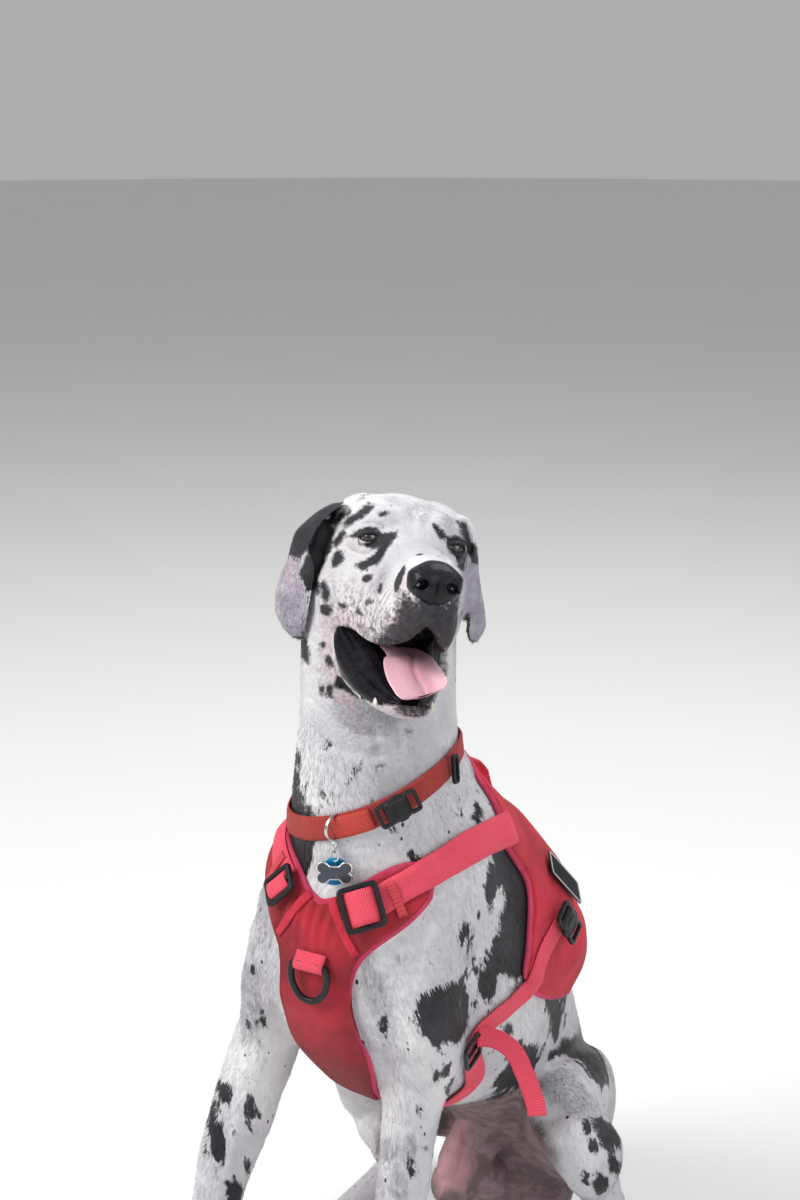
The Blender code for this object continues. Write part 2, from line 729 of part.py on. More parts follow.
def cut_flesh(body):
    """Open the mouth and the eyes, level the floor and part the flesh into nodes."""
    combine(body, mouth_cutter(), "DIFFERENCE")
    for side in (-1.0, 1.0):
        bm = bmesh.new()
        head_ball(bm, (side * EYE_X, -0.002, EYE_Z), (EYE_R + GAP,) * 3, (0, 0, 0), 20, 12)
        combine(body, new_object("socket", bm), "DIFFERENCE")
        bm = bmesh.new()
        opening = (side * (EYE_X + 0.0008), -0.0190, EYE_Z + 0.0006)
        head_ball(bm, opening, (0.0118, 0.0105, 0.0046), (0, side * 6, side * 10), 14, 8)
        combine(body, new_object("lids", bm), "DIFFERENCE")
    combine(body, ground(), "DIFFERENCE")
    level = HEAD_ROT @ Vector((1, 0, 0))
    cuts = [
        (on_head(0.0, 0.105, -0.0925), HEAD_ROT @ Vector((0, -1, 1)), level, 0.15, 0.16),
        (on_head(0.0, -0.006, -0.1345), HEAD_ROT @ Vector((0, 0.909, -0.416)), level, 0.11, 0.041),
        ((0.0, 0.025, 0.7275), (0, -0.494, 0.869), (1, 0, 0), 0.19, 0.17),
        ((0.065, -0.030, 0.375), (0, 0, 1), (1, 0, 0), 0.060, 0.060),
        ((-0.147, -0.030, 0.375), (0, 0, 1), (1, 0, 0), 0.065, 0.065),
        ((0.052, -0.080, 0.060), (0, 0, 1), (1, 0, 0), 0.060, 0.070),
        ((-0.195, -0.140, 0.060), (0, 0, 1), (1, 0, 0), 0.065, 0.080),
        ((0.156, 0.375, 0.078), (0, 0, 1), (1, 0, 0), 0.050, 0.060),
        ((-0.170, 0.375, 0.078), (0, 0, 1), (1, 0, 0), 0.050, 0.060),
    ]
    for centre, normal, along, half_along, half_across in cuts:
        combine(body, slab(centre, normal, along, half_along, half_across), "DIFFERENCE")
    for side in (-1.0, 1.0):
        line = [(side * 0.086, -0.05), (side * 0.086, 0.28), (side * 0.24, 0.450)]
        combine(body, bent_slab(line, 0.120, 0.560), "DIFFERENCE")
        centre = (side * 0.190, 0.320, 0.184)
        combine(body, slab(centre, (0, 0.782, 0.623), (1, 0, 0), 0.1042, 0.250), "DIFFERENCE")
    seeds = {
        "head": on_head(0.0, 0.050, 0.0),
        "lower_jaw": on_head(0.0, -0.080, -0.155),
        "neck": Vector((0.0, 0.035, 0.860)),
        "torso": Vector((0.0, 0.190, 0.520)),
        "foreleg_left": Vector((0.063, -0.030, 0.250)),
        "foreleg_right": Vector((-0.167, -0.070, 0.240)),
        "forepaw_left": Vector((0.050, -0.090, 0.030)),
        "forepaw_right": Vector((-0.202, -0.150, 0.030)),
        "thigh_left": Vector((0.125, 0.330, 0.230)),
        "thigh_right": Vector((-0.115, 0.330, 0.230)),
        "shank_left": Vector((0.168, 0.270, 0.200)),
        "shank_right": Vector((-0.158, 0.280, 0.200)),
        "hindpaw_left": Vector((0.167, 0.230, 0.030)),
        "hindpaw_right": Vector((-0.178, 0.230, 0.030)),
    }
    pieces = islands(body)
    pieces.sort(key=lambda item: -abs(item[1]))
    bpy.data.objects.remove(body, do_unlink=True)
    named = {}
    for piece, volume in pieces:
        total = Vector((0.0, 0.0, 0.0))
        for vert in piece.data.vertices:
            total += vert.co
        middle = total / len(piece.data.vertices)
        name = min(seeds, key=lambda key: (seeds[key] - middle).length)
        if abs(volume) < 2.0e-5 or name in named:
            print("crumb", name, [round(c, 3) for c in middle], round(volume * 1e6, 3), "cm3")
            bpy.data.objects.remove(piece, do_unlink=True)
            continue
        piece.name = name
        paint(piece, "coat")
        named[name] = piece
    print("missing", [key for key in seeds if key not in named])
    return named


def add_tail(flesh):
    """The tail, laid in a curve on the floor."""
    bm = bmesh.new()
    tube(
        bm,
        [
            ((0.0, 0.462, 0.120), 0.030, 0.028),
            ((-0.002, 0.500, 0.092), 0.028, 0.026),
            ((-0.008, 0.548, 0.054), 0.025, 0.024),
            ((-0.030, 0.604, 0.028), 0.022, 0.022),
            ((-0.080, 0.654, 0.019), 0.020, 0.019),
            ((-0.150, 0.686, 0.0165), 0.0175, 0.0165),
            ((-0.230, 0.694, 0.0145), 0.0150, 0.0145),
            ((-0.310, 0.676, 0.0120), 0.0120, 0.0120),
            ((-0.360, 0.648, 0.0090), 0.0085, 0.0090),
            ((-0.376, 0.634, 0.0070), 0.0050, 0.0055),
        ],
        (0.9, 0.0, 0.435),
        14,
    )
    tail = finish("tail", bm, "coat")
    combine(tail, ground(), "DIFFERENCE")
    trim(tail, [flesh["torso"]])
    return keep_largest(tail)


# Ears: rows from the base to the tip, each (front point, middle point, back point)
EAR_ROWS = {
    -1.0: [
        ((0.056, 0.034, 0.036), (0.062, 0.078, 0.032), (0.060, 0.112, 0.016)),
        ((0.070, 0.032, 0.034), (0.078, 0.076, 0.032), (0.074, 0.116, 0.013)),
        ((0.084, 0.034, 0.016), (0.098, 0.072, 0.010), (0.096, 0.116, -0.004)),
        ((0.094, 0.036, -0.012), (0.112, 0.070, -0.018), (0.112, 0.110, -0.031)),
        ((0.096, 0.040, -0.046), (0.119, 0.068, -0.053), (0.121, 0.100, -0.062)),
        ((0.092, 0.044, -0.080), (0.117, 0.064, -0.087), (0.119, 0.088, -0.089)),
        ((0.093, 0.052, -0.100), (0.107, 0.062, -0.106), (0.111, 0.074, -0.103)),
        ((0.098, 0.056, -0.108), (0.103, 0.062, -0.110), (0.107, 0.068, -0.108)),
    ],
    1.0: [
        ((0.056, 0.034, 0.040), (0.062, 0.078, 0.034), (0.060, 0.112, 0.018)),
        ((0.066, 0.034, 0.036), (0.074, 0.078, 0.034), (0.071, 0.116, 0.014)),
        ((0.076, 0.038, 0.012), (0.086, 0.078, 0.006), (0.084, 0.116, -0.010)),
        ((0.078, 0.044, -0.016), (0.093, 0.080, -0.024), (0.093, 0.112, -0.036)),
        ((0.080, 0.050, -0.046), (0.102, 0.080, -0.052), (0.102, 0.106, -0.058)),
        ((0.082, 0.058, -0.070), (0.105, 0.078, -0.075), (0.106, 0.096, -0.076)),
        ((0.083, 0.066, -0.084), (0.099, 0.077, -0.089), (0.102, 0.088, -0.087)),
        ((0.087, 0.070, -0.091), (0.094, 0.076, -0.094), (0.098, 0.082, -0.092)),
    ],
}


def add_ear(side, flesh):
    """One ear: a curved leaf that rises from its base, folds over and hangs."""
    rows = EAR_ROWS[side]
    count = 7
    steps = 11
    grid = []
    thick = []
    for k in range(steps):
        t = k / (steps - 1.0) * (len(rows) - 1)
        low = min(int(t), len(rows) - 2)
        ends = [Vector(a).lerp(Vector(b), t - low) for a, b in zip(rows[low], rows[low + 1])]
        line = []
        for j in range(count):
            u = j / (count - 1.0)
            point = ends[0] * (1 - u) * (1 - 2 * u) + ends[1] * 4 * u * (1 - u) + ends[2] * u * (2 * u - 1)
            line.append(on_head(side * point.x, point.y, point.z))
        grid.append(line)
        thick.append(EAR_T * (1.0 - 0.45 * k / (steps - 1.0)))
    obj = sheet_solid("ear", grid, thick)
    obj.name = "ear_left" if side > 0 else "ear_right"
    paint(obj, "ear_grey" if side > 0 else "ear_dark")
    trim(obj, [flesh["head"], flesh["neck"]])
    return keep_largest(obj)


def sheet_solid(name, grid, thick):
    """Closed solid around a grid of points, half the thickness on each side."""
    rows = len(grid)
    cols = len(grid[0])
    normals = []
    for i in range(rows):
        line = []
        for j in range(cols):
            du = grid[min(i + 1, rows - 1)][j] - grid[max(i - 1, 0)][j]
            dv = grid[i][min(j + 1, cols - 1)] - grid[i][max(j - 1, 0)]
            line.append(du.cross(dv).normalized())
        normals.append(line)
    bm = bmesh.new()
    top = []
    low = []
    for i in range(rows):
        top_row = []
        low_row = []
        for j in range(cols):
            edge = min(j, cols - 1 - j, rows - 1 - i)
            half = 0.5 * thick[i] * (0.45 if edge == 0 else 1.0)
            top_row.append(bm.verts.new(grid[i][j] + normals[i][j] * half))
            low_row.append(bm.verts.new(grid[i][j] - normals[i][j] * half))
        top.append(top_row)
        low.append(low_row)
    for i in range(rows - 1):
        for j in range(cols - 1):
            bm.faces.new((top[i][j], top[i][j + 1], top[i + 1][j + 1], top[i + 1][j]))
            bm.faces.new((low[i][j], low[i + 1][j], low[i + 1][j + 1], low[i][j + 1]))
    for i in range(rows - 1):
        for j in (0, cols - 1):
            bm.faces.new((top[i][j], top[i + 1][j], low[i + 1][j], low[i][j]))
    for j in range(cols - 1):
        for i in (0, rows - 1):
            bm.faces.new((top[i][j], top[i][j + 1], low[i][j + 1], low[i][j]))
    return new_object(name, bm)


def add_eye(side):
    """One eyeball."""
    bm = bmesh.new()
    head_ball(bm, (side * EYE_X, -0.002, EYE_Z), (EYE_R,) * 3, (0, 0, 0), 14, 8)
    return finish("eye_left" if side > 0 else "eye_right", bm, "eye")


def add_nose(flesh):
    """The nose leather with its two nostrils."""
    bm = bmesh.new()
    head_ball(bm, (0.0, -0.150, -0.022), (0.0245, 0.0185, 0.0175))
    head_ball(bm, (0.0, -0.146, -0.036), (0.0180, 0.0165, 0.0150))
    for side in (-1.0, 1.0):
        head_ball(bm, (side * 0.0135, -0.154, -0.027), (0.0120, 0.0150, 0.0135))
    nose = new_object("nose", bm)
    remesh = nose.modifiers.new("skin", "REMESH")
    remesh.mode = "VOXEL"
    remesh.voxel_size = 0.0016
    smooth = nose.modifiers.new("ease", "SMOOTH")
    smooth.iterations = 3
    thin_out = nose.modifiers.new("thin", "DECIMATE")
    thin_out.ratio = 0.018
    bake(nose)
    for side in (-1.0, 1.0):
        bm = bmesh.new()
        turn = (0, side * 20, side * 18)
        head_ball(bm, (side * 0.0125, -0.171, -0.027), (0.0050, 0.0110, 0.0042), turn, 10, 6)
        combine(nose, new_object("nostril", bm), "DIFFERENCE")
        bm = bmesh.new()
        turn = (0, side * 30, side * 30)
        head_ball(bm, (side * 0.0200, -0.168, -0.031), (0.0062, 0.0090, 0.0020), turn, 8, 6)
        combine(nose, new_object("slit", bm), "DIFFERENCE")
    paint(nose, "nose_leather")
    trim(nose, [flesh["head"]])
    return keep_largest(nose)


def add_tongue(flesh):
    """The tongue, lying on the lower jaw and over the front teeth."""
    bm = bmesh.new()
    rings = []
    for y, z, half, thick, dip in (
        (0.006, -0.1040, 0.022, 0.0060, 0.000),
        (-0.020, -0.1060, 0.024, 0.0065, 0.001),
        (-0.055, -0.1100, 0.025, 0.0065, 0.002),
        (-0.090, -0.1210, 0.0245, 0.0060, 0.003),
        (-0.118, -0.1315, 0.0265, 0.0048, 0.003),
        (-0.137, -0.1375, 0.026, 0.0036, 0.002),
        (-0.146, -0.1395, 0.018, 0.0026, 0.001),
    ):
        centre = on_head(0.002, y, z)
        ring = []
        for k in range(20):
            angle = 2.0 * math.pi * k / 20
            across = math.cos(angle)
            along = math.sin(angle)
            lift = thick * along - dip * (1.0 - abs(across) ** 2)
            ring.append(centre + HEAD_ROT @ Vector((half * across, 0.0, lift)))
        rings.append(ring)
    skin_rings(bm, rings)
    tongue = finish("tongue", bm, "tongue")
    trim(tongue, [flesh["head"], flesh["lower_jaw"]])
    return keep_largest(tongue)


# Lower teeth on one side: (x, y, radius, height)
LOWER_TEETH = [
    (0.0275, -0.101, 0.0040, 0.029),
    (0.0300, -0.079, 0.0034, 0.011),
    (0.0335, -0.063, 0.0038, 0.012),
]


def add_teeth(flesh):
    """Lower canines and cheek teeth, fused to the jaw."""
    bm = bmesh.new()
    for side in (-1.0, 1.0):
        for x, y, radius, tall in LOWER_TEETH:
            base = on_head(side * x, y, -0.1505 + tall * 0.5)
            matrix = Matrix.Translation(base) @ HEAD_ROT.to_4x4()
            bmesh.ops.create_cone(
                bm,
                cap_ends=True,
                segments=7,
                radius1=radius,
                radius2=radius * 0.22,
                depth=tall,
                matrix=matrix,
            )
    combine(flesh["lower_jaw"], new_object("teeth", bm), "UNION")


def add_claws(flesh):
    """Four claws on each paw, fused to it."""
    paws = {
        "forepaw_left": ((0.048, -0.100), 3.0, 1.05),
        "forepaw_right": ((-0.205, -0.164), -22.0, 1.05),
        "hindpaw_left": ((0.176, 0.118), -5.0, 0.93),
        "hindpaw_right": ((-0.186, 0.118), 8.0, 0.93),
    }
    for name, (spot, heading, size) in paws.items():
        turn = Matrix.Rotation(math.radians(heading), 3, "Z")
        bm = bmesh.new()
        for x, y in ((-0.0335, -0.054), (-0.0118, -0.068), (0.0118, -0.068), (0.0335, -0.054)):
            place = Vector((spot[0], spot[1], 0.0)) + turn @ Vector((x * size, y * size, 0.012 * size))
            point = turn @ Matrix.Rotation(math.radians(112), 3, "X")
            matrix = Matrix.Translation(place) @ point.to_4x4()
            bmesh.ops.create_cone(
                bm,
                cap_ends=True,
                segments=7,
                radius1=0.0042,
                radius2=0.0012,
                depth=0.020,
                matrix=matrix,
            )
        combine(flesh[name], new_object("claws", bm), "UNION")


# Gear outlines, each point given as a spot in the view the model was measured in
VIEW_FROM = (0.8512, -1.3954, 1.5)
VIEW_TURN = 30.0
VIEW_DOWN = 17.0
VIEW_FOCUS = 1667.0
CHEST_EDGE = [
    (340, 897), (355, 889), (370, 880), (392, 869), (410, 864), (424, 866), (431, 876),
    (431, 892), (422, 908), (405, 924), (382, 939), (363, 953), (351, 972), (346, 995),
    (349, 1020), (357, 1043), (368, 1060),
]
BACK_EDGE = [
    (499, 838), (507, 853), (517, 868), (525, 884), (527, 907), (526, 932), (524, 955),
    (521, 975), (530, 991), (543, 996), (558, 994),
]
SHOULDER_PATH = [(360, 906), (380, 896), (402, 885), (430, 869), (456, 854), (482, 840), (505, 829)]
GIRTH_PATH = [
    (561, 937), (553, 947), (540, 962), (528, 986), (510, 1003), (492, 1018), (476, 1033),
    (469, 1050),
]
GIRTH_UNDER = [
    (0.098, 0.068, 0.440),
    (0.075, 0.072, 0.412),
    (0.045, 0.074, 0.392),
    (0.015, 0.075, 0.384),
    (0.000, 0.075, 0.382),
]
LOOSE_PATH = [
    (480, 1036), (493, 1038), (506, 1045), (516, 1056), (523, 1071), (530, 1088), (536, 1106),
    (537, 1113),
]


AROUND = [
    (0.008, 0.0, 0.0), (-0.008, 0.0, 0.0), (0.0, 0.008, 0.0), (0.0, -0.008, 0.0),
    (0.0, 0.0, 0.008), (0.0, 0.0, -0.008),
]


class Surface:
    """The finished flesh as a target that gear is laid on."""

    def __init__(self, objects):
        verts = []
        faces = []
        for obj in objects:
            start = len(verts)
            for vert in obj.data.vertices:
                verts.append(vert.co.copy())
            for face in obj.data.polygons:
                faces.append([start + index for index in face.vertices])
        self.tree = BVHTree.FromPolygons(verts, faces)
        turn = math.radians(VIEW_TURN)
        down = math.radians(VIEW_DOWN)
        self.eye = Vector(VIEW_FROM)
        self.ahead = Vector((-math.sin(turn), math.cos(turn), 0.0)) * math.cos(down)
        self.ahead.z = -math.sin(down)
        self.right = Vector((math.cos(turn), math.sin(turn), 0.0))
        self.up = self.right.cross(self.ahead)

    def ray(self, spot):
        """Direction from the viewpoint through a spot of the view."""
        across = (spot[0] - 400.0) / VIEW_FOCUS
        down = (spot[1] - 600.0) / VIEW_FOCUS
        return (self.ahead + self.right * across - self.up * down).normalized()

    def from_view(self, spot):
        """Point of the flesh seen at a spot of the view, or at its nearest edge."""
        across = spot[0]
        for step in range(60):
            hit = self.tree.ray_cast(self.eye, self.ray((across, spot[1])))
            if hit[0] is not None:
                return hit[0]
            across += 1.0 if across < 400.0 else -1.0
        return None

    def aimed(self, spot, lift):
        """Seat whose raised point is seen at a spot of the view."""
        target = spot
        for step in range(4):
            co, normal = self.seat(self.from_view(target), lift)
            rel = co - self.eye
            depth = rel.dot(self.ahead)
            seen_x = 400.0 + VIEW_FOCUS * rel.dot(self.right) / depth
            seen_y = 600.0 - VIEW_FOCUS * rel.dot(self.up) / depth
            target = (target[0] + spot[0] - seen_x, target[1] + spot[1] - seen_y)
        return co, normal

    def project(self, origin, direction):
        """First point met from an origin along a direction."""
        hit = self.tree.ray_cast(Vector(origin), Vector(direction).normalized())
        return hit[0]

    def seat(self, point, lift):
        """Nearest flesh point, raised by a lift along the way out."""
        co, normal, index, distance = self.tree.find_nearest(point)
        total = Vector((0.0, 0.0, 0.0))
        for step in AROUND:
            near = self.tree.find_nearest(co + Vector(step))
            total += near[1]
        total = (total + normal * 2.0).normalized()
        return co + total * lift, total


def thick_sheet(name, verts, normals, faces, thick, key):
    """Closed plate from an open mesh: its copy raised along the normals, walls between."""
    bm = bmesh.new()
    if not isinstance(thick, list):
        thick = [thick] * len(verts)
    low = [bm.verts.new(v) for v in verts]
    top = [bm.verts.new(v + n * t) for v, n, t in zip(verts, normals, thick)]
    border = {}
    for face in faces:
        bm.faces.new([low[k] for k in reversed(face)])
        bm.faces.new([top[k] for k in face])
        for a, b in zip(face, list(face[1:]) + [face[0]]):
            pair = (min(a, b), max(a, b))
            border[pair] = border.get(pair, 0) + 1
    for (a, b), uses in border.items():
        if uses == 1:
            bm.faces.new((low[a], low[b], top[b], top[a]))
    return finish(name, bm, key)


def flat_grid(outline, pitch):
    """Cut a flat outline into a grid; returns points and faces."""
    bm = bmesh.new()
    bm.faces.new([bm.verts.new((x, y, 0.0)) for x, y in outline])
    for axis in (0, 1):
        values = [point[axis] for point in outline]
        first = math.ceil(min(values) / pitch[axis])
        last = math.floor(max(values) / pitch[axis])
        for k in range(first, last + 1):
            spot = Vector((0.0, 0.0, 0.0))
            spot[axis] = k * pitch[axis]
            normal = Vector((0.0, 0.0, 0.0))
            normal[axis] = 1.0
            geom = list(bm.verts) + list(bm.edges) + list(bm.faces)
            bmesh.ops.bisect_plane(bm, geom=geom, dist=0.0004, plane_co=spot, plane_no=normal)
    bmesh.ops.remove_doubles(bm, verts=bm.verts, dist=0.0025)
    bmesh.ops.triangulate(bm, faces=[face for face in bm.faces if len(face.verts) > 4])
    bm.verts.index_update()
    points = [(vert.co.x, vert.co.y) for vert in bm.verts]
    faces = [[vert.index for vert in face.verts] for face in bm.faces]
    bm.free()
    return points, faces


def clear_of(layer, point, normal, lift):
    """Raise a point so that it lies at least a lift above an outer layer."""
    best = 0.0
    for step in [(0.0, 0.0, 0.0)] + AROUND:
        start = point + Vector(step) * 0.9
        hit = layer.tree.ray_cast(start + normal * 0.050, -normal, 0.075)
        if hit[0] is not None:
            best = max(best, (hit[0] - start).dot(normal) + lift)
    return point + normal * best


def pull_taut(rows, closed):
    """Ease webbing along its run so that it bridges hollows and never sinks."""
    count = len(rows)
    base = [[co.copy() for co, normal in row] for row in rows]
    for turn in range(8):
        eased = []
        for k in range(count):
            before = rows[(k - 1) % count] if closed else rows[max(k - 1, 0)]
            after = rows[(k + 1) % count] if closed else rows[min(k + 1, count - 1)]
            row = []
            for j, (co, normal) in enumerate(rows[k]):
                up = (before[j][1] + normal * 2.0 + after[j][1] + rows[k][len(rows[k]) // 2][1]).normalized()
                spot = before[j][0] * 0.25 + co * 0.5 + after[j][0] * 0.25
                if k in (0, count - 1) and not closed:
                    spot = co.copy()
                sunk = (base[k][j] - spot).dot(up)
                if sunk > 0.0:
                    spot = spot + up * sunk
                row.append((spot, up))
            eased.append(row)
        rows = eased
    return rows


def ribbon(name, surface, path, width, thick, lift, key, closed=False, drape=True, columns=3, layer=None):
    """Webbing laid along a path on the flesh."""
    rows = []
    count = len(path)
    seats = [surface.seat(point, 0.0) for point in path]
    for k, point in enumerate(path):
        before = path[(k - 1) % count] if closed else path[max(k - 1, 0)]
        after = path[(k + 1) % count] if closed else path[min(k + 1, count - 1)]
        run = (after - before).normalized()
        normal = seats[k][1]
        across = run.cross(normal).normalized()
        row = []
        for j in range(columns):
            offset = (j / (columns - 1.0) - 0.5) * width
            spot = point + across * offset
            if drape:
                row.append(surface.seat(spot, lift))
            else:
                row.append((spot + normal * lift, normal))
        rows.append(row)
    if layer is not None:
        rows = [[(clear_of(layer, co, normal, 0.0016), normal) for co, normal in row] for row in rows]
    rows = pull_taut(rows, closed)
    verts = [co for row in rows for co, normal in row]
    normals = [normal for row in rows for co, normal in row]
    faces = []
    last = count if closed else count - 1
    for k in range(last):
        nxt = (k + 1) % count
        for j in range(columns - 1):
            faces.append([k * columns + j, k * columns + j + 1, nxt * columns + j + 1, nxt * columns + j])
    return thick_sheet(name, verts, normals, faces, thick, key)


def resample(points, step):
    """Evenly spaced points along a bent line, rounded by a Catmull curve."""
    pts = [Vector(p) for p in points]
    dense = []
    for k in range(len(pts) - 1):
        p0 = pts[max(k - 1, 0)]
        p1 = pts[k]
        p2 = pts[k + 1]
        p3 = pts[min(k + 2, len(pts) - 1)]
        for j in range(8):
            t = j / 8.0
            dense.append(
                0.5 * ((2 * p1) + (p2 - p0) * t + (2 * p0 - 5 * p1 + 4 * p2 - p3) * t * t
                       + (3 * p1 - p0 - 3 * p2 + p3) * t * t * t)
            )
    dense.append(pts[-1])
    lengths = [0.0]
    for a, b in zip(dense[:-1], dense[1:]):
        lengths.append(lengths[-1] + (b - a).length)
    count = max(2, int(round(lengths[-1] / step)) + 1)
    out = []
    k = 0
    for j in range(count):
        goal = lengths[-1] * j / (count - 1)
        while k < len(dense) - 2 and lengths[k + 1] < goal:
            k += 1
        span = lengths[k + 1] - lengths[k]
        t = 0.0 if span == 0 else (goal - lengths[k]) / span
        out.append(dense[k].lerp(dense[k + 1], t))
    return out


def mirror(points):
    """The same points on the other side of the dog."""
    return [Vector((-p.x, p.y, p.z)) for p in points]


def place_frame(centre, normal, along):
    """Matrix with x along a direction, z along a normal."""
    up = Vector(normal).normalized()
    run = Vector(along)
    run = (run - up * run.dot(up)).normalized()
    side = up.cross(run)
    frame = Matrix((run, side, up)).transposed()
    return Matrix.Translation(Vector(centre)) @ frame.to_4x4()


def plate(name, matrix, size, key, round_off=0.002):
    """A small block with rounded edges, its base on the matrix origin."""
    bm = bmesh.new()
    lift = Matrix.Translation((0.0, 0.0, size[2] * 0.5))
    bmesh.ops.create_cube(bm, size=1.0, matrix=lift @ Matrix.Diagonal((size[0], size[1], size[2], 1.0)))
    edges = [edge for edge in bm.edges if abs(edge.verts[0].co.z - edge.verts[1].co.z) > 1e-6]
    bmesh.ops.bevel(bm, geom=edges, offset=round_off, segments=2, profile=0.5, affect="EDGES")
    bmesh.ops.transform(bm, matrix=matrix, verts=bm.verts)
    return finish(name, bm, key)


def loop_frame(name, matrix, length, width, wall, height, key, bar=True):
    """Rectangular strap slider: an open frame with a bar across its middle."""
    bm = bmesh.new()
    half_l = length * 0.5
    half_w = width * 0.5
    xs = [-half_l, -half_l + wall, half_l - wall, half_l]
    if bar:
        xs = [-half_l, -half_l + wall, -wall * 0.5, wall * 0.5, half_l - wall, half_l]
    ys = [-half_w, -half_w + wall, half_w - wall, half_w]
    solid = []
    for i in range(len(xs) - 1):
        for j in range(3):
            hole = j == 1 and i not in (0, len(xs) - 2)
            if bar and i == 2:
                hole = False
            if not hole:
                solid.append((i, j))
    verts = {}
    for level, z in ((0, 0.0), (1, height)):
        for i, x in enumerate(xs):
            for j, y in enumerate(ys):
                verts[(i, j, level)] = bm.verts.new((x, y, z))
    for i, j in solid:
        bm.faces.new([verts[key2] for key2 in ((i, j, 1), (i + 1, j, 1), (i + 1, j + 1, 1), (i, j + 1, 1))])
        bm.faces.new([verts[key2] for key2 in ((i, j, 0), (i, j + 1, 0), (i + 1, j + 1, 0), (i + 1, j, 0))])
        sides = (
            (-1, 0, (i, j), (i, j + 1)),
            (1, 0, (i + 1, j), (i + 1, j + 1)),
            (0, -1, (i, j), (i + 1, j)),
            (0, 1, (i, j + 1), (i + 1, j + 1)),
        )
        for di, dj, a, b in sides:
            if (i + di, j + dj) not in solid:
                wall = [(a, 0), (b, 0), (b, 1), (a, 1)]
                bm.faces.new([verts[(spot[0], spot[1], level)] for spot, level in wall])
    loose = [vert for vert in bm.verts if not vert.link_faces]
    bmesh.ops.delete(bm, geom=loose, context="VERTS")
    bmesh.ops.transform(bm, matrix=matrix, verts=bm.verts)
    return finish(name, bm, key)


def wire(name, matrix, points, radius, key, closed=True, sides=6):
    """A bent wire through points given in the plane of a matrix."""
    bm = bmesh.new()
    pts = [Vector((x, y, 0.0)) for x, y in points]
    rows = []
    count = len(pts)
    for k, point in enumerate(pts):
        before = pts[(k - 1) % count] if closed else pts[max(k - 1, 0)]
        after = pts[(k + 1) % count] if closed else pts[min(k + 1, count - 1)]
        run = (after - before).normalized()
        side = run.cross(Vector((0, 0, 1)))
        row = []
        for j in range(sides):
            angle = 2.0 * math.pi * j / sides
            out = side * math.cos(angle) + Vector((0, 0, 1)) * math.sin(angle)
            row.append(bm.verts.new(point + out * radius))
        rows.append(row)
    last = count if closed else count - 1
    for k in range(last):
        a = rows[k]
        b = rows[(k + 1) % count]
        for j in range(sides):
            bm.faces.new((a[j], a[(j + 1) % sides], b[(j + 1) % sides], b[j]))
    if not closed:
        bm.faces.new(rows[0])
        bm.faces.new(rows[-1])
    bmesh.ops.transform(bm, matrix=matrix, verts=bm.verts)
    return finish(name, bm, key)


def circle(radius, count, stretch=1.0):
    """Points of a circle or an oval."""
    angles = [2.0 * math.pi * k / count for k in range(count)]
    return [(radius * math.cos(a), radius * stretch * math.sin(a)) for a in angles]


def add_collar(surface):
    """Collar with its buckle, slider, hanging ring and two tags."""
    def rest(angle, shift=0.0):
        x = 0.089 * math.cos(angle)
        y = 0.030 + 0.098 * math.sin(angle)
        z = 0.7905 + 0.381 * x + 0.175 * (y - 0.030) + shift
        out = Vector((math.cos(angle), math.sin(angle), 0.0))
        axis = Vector((0.0, 0.030, z))
        return surface.project(axis + out * 0.4, -out)

    count = 34
    path = [rest(2.0 * math.pi * k / count) for k in range(count)]
    ribbon("collar_band", surface, path, COLLAR_W, COLLAR_T, LIFT, "collar_web", closed=True)
    top = LIFT + COLLAR_T + GAP
    for name, spot, size in (
        ("collar_buckle", (395, 805), (0.044, 0.027, 0.009)),
        ("collar_slider", (448, 768), (0.011, 0.032, 0.0045)),
    ):
        seat, normal = surface.seat(surface.from_view(spot), top + 0.0012)
        ahead = surface.from_view((spot[0] + 8, spot[1] - 4.4))
        behind = surface.from_view((spot[0] - 8, spot[1] + 4.4))
        plate(name, place_frame(seat, normal, ahead - behind), size, "black_plastic")
    front = surface.from_view((333, 822))
    seat, normal = surface.seat(front, top + 0.0026)
    down = Vector((0, 0, -1))
    hang = (down - normal * down.dot(normal)).normalized()
    middle = seat + down * 0.008
    wire("collar_ring", place_frame(middle, normal, down), circle(0.0115, 18), 0.0012, "steel", sides=5)
    edge_on = normal.cross(hang).normalized()
    link = place_frame(middle + hang * 0.0160, edge_on, hang)
    wire("tag_link", link, circle(0.0075, 12, 0.62), 0.0009, "steel", sides=5)
    for name, spot, raise_by, key in (
        ("id_tag", (334, 871), 0.0100, "tag_dark"),
        ("tag_back", (335, 869), 0.0072, "tag_blue"),
    ):
        seat, normal = surface.seat(surface.from_view(spot), raise_by)
        matrix = place_frame(seat, normal, surface.right)
        bm = bmesh.new()
        if name == "id_tag":
            outline = bone_outline(0.038, 0.025)
        else:
            outline = [(x, y) for x, y in circle(0.0145, 20)]
        low = [bm.verts.new((x, y, 0.0)) for x, y in outline]
        high = [bm.verts.new((x, y, 0.0016)) for x, y in outline]
        bm.faces.new(low[::-1])
        bm.faces.new(high)
        total = len(outline)
        for k in range(total):
            nxt = (k + 1) % total
            bm.faces.new((low[k], low[nxt], high[nxt], high[k]))
        bmesh.ops.transform(bm, matrix=matrix, verts=bm.verts)
        finish(name, bm, key)


def bone_outline(length, width):
    """Outline of a bone: four round lobes joined by a waist."""
    points = []
    radius = width * 0.27
    cx = length * 0.5 - radius
    cy = width * 0.5 - radius
    for sx, sy, start in ((1, 1, -35), (-1, 1, 35), (-1, -1, 145), (1, -1, 215)):
        for k in range(7):
            angle = math.radians(start + k * 30)
            points.append((sx * cx + radius * math.cos(angle), sy * cy + radius * math.sin(angle)))
    return points


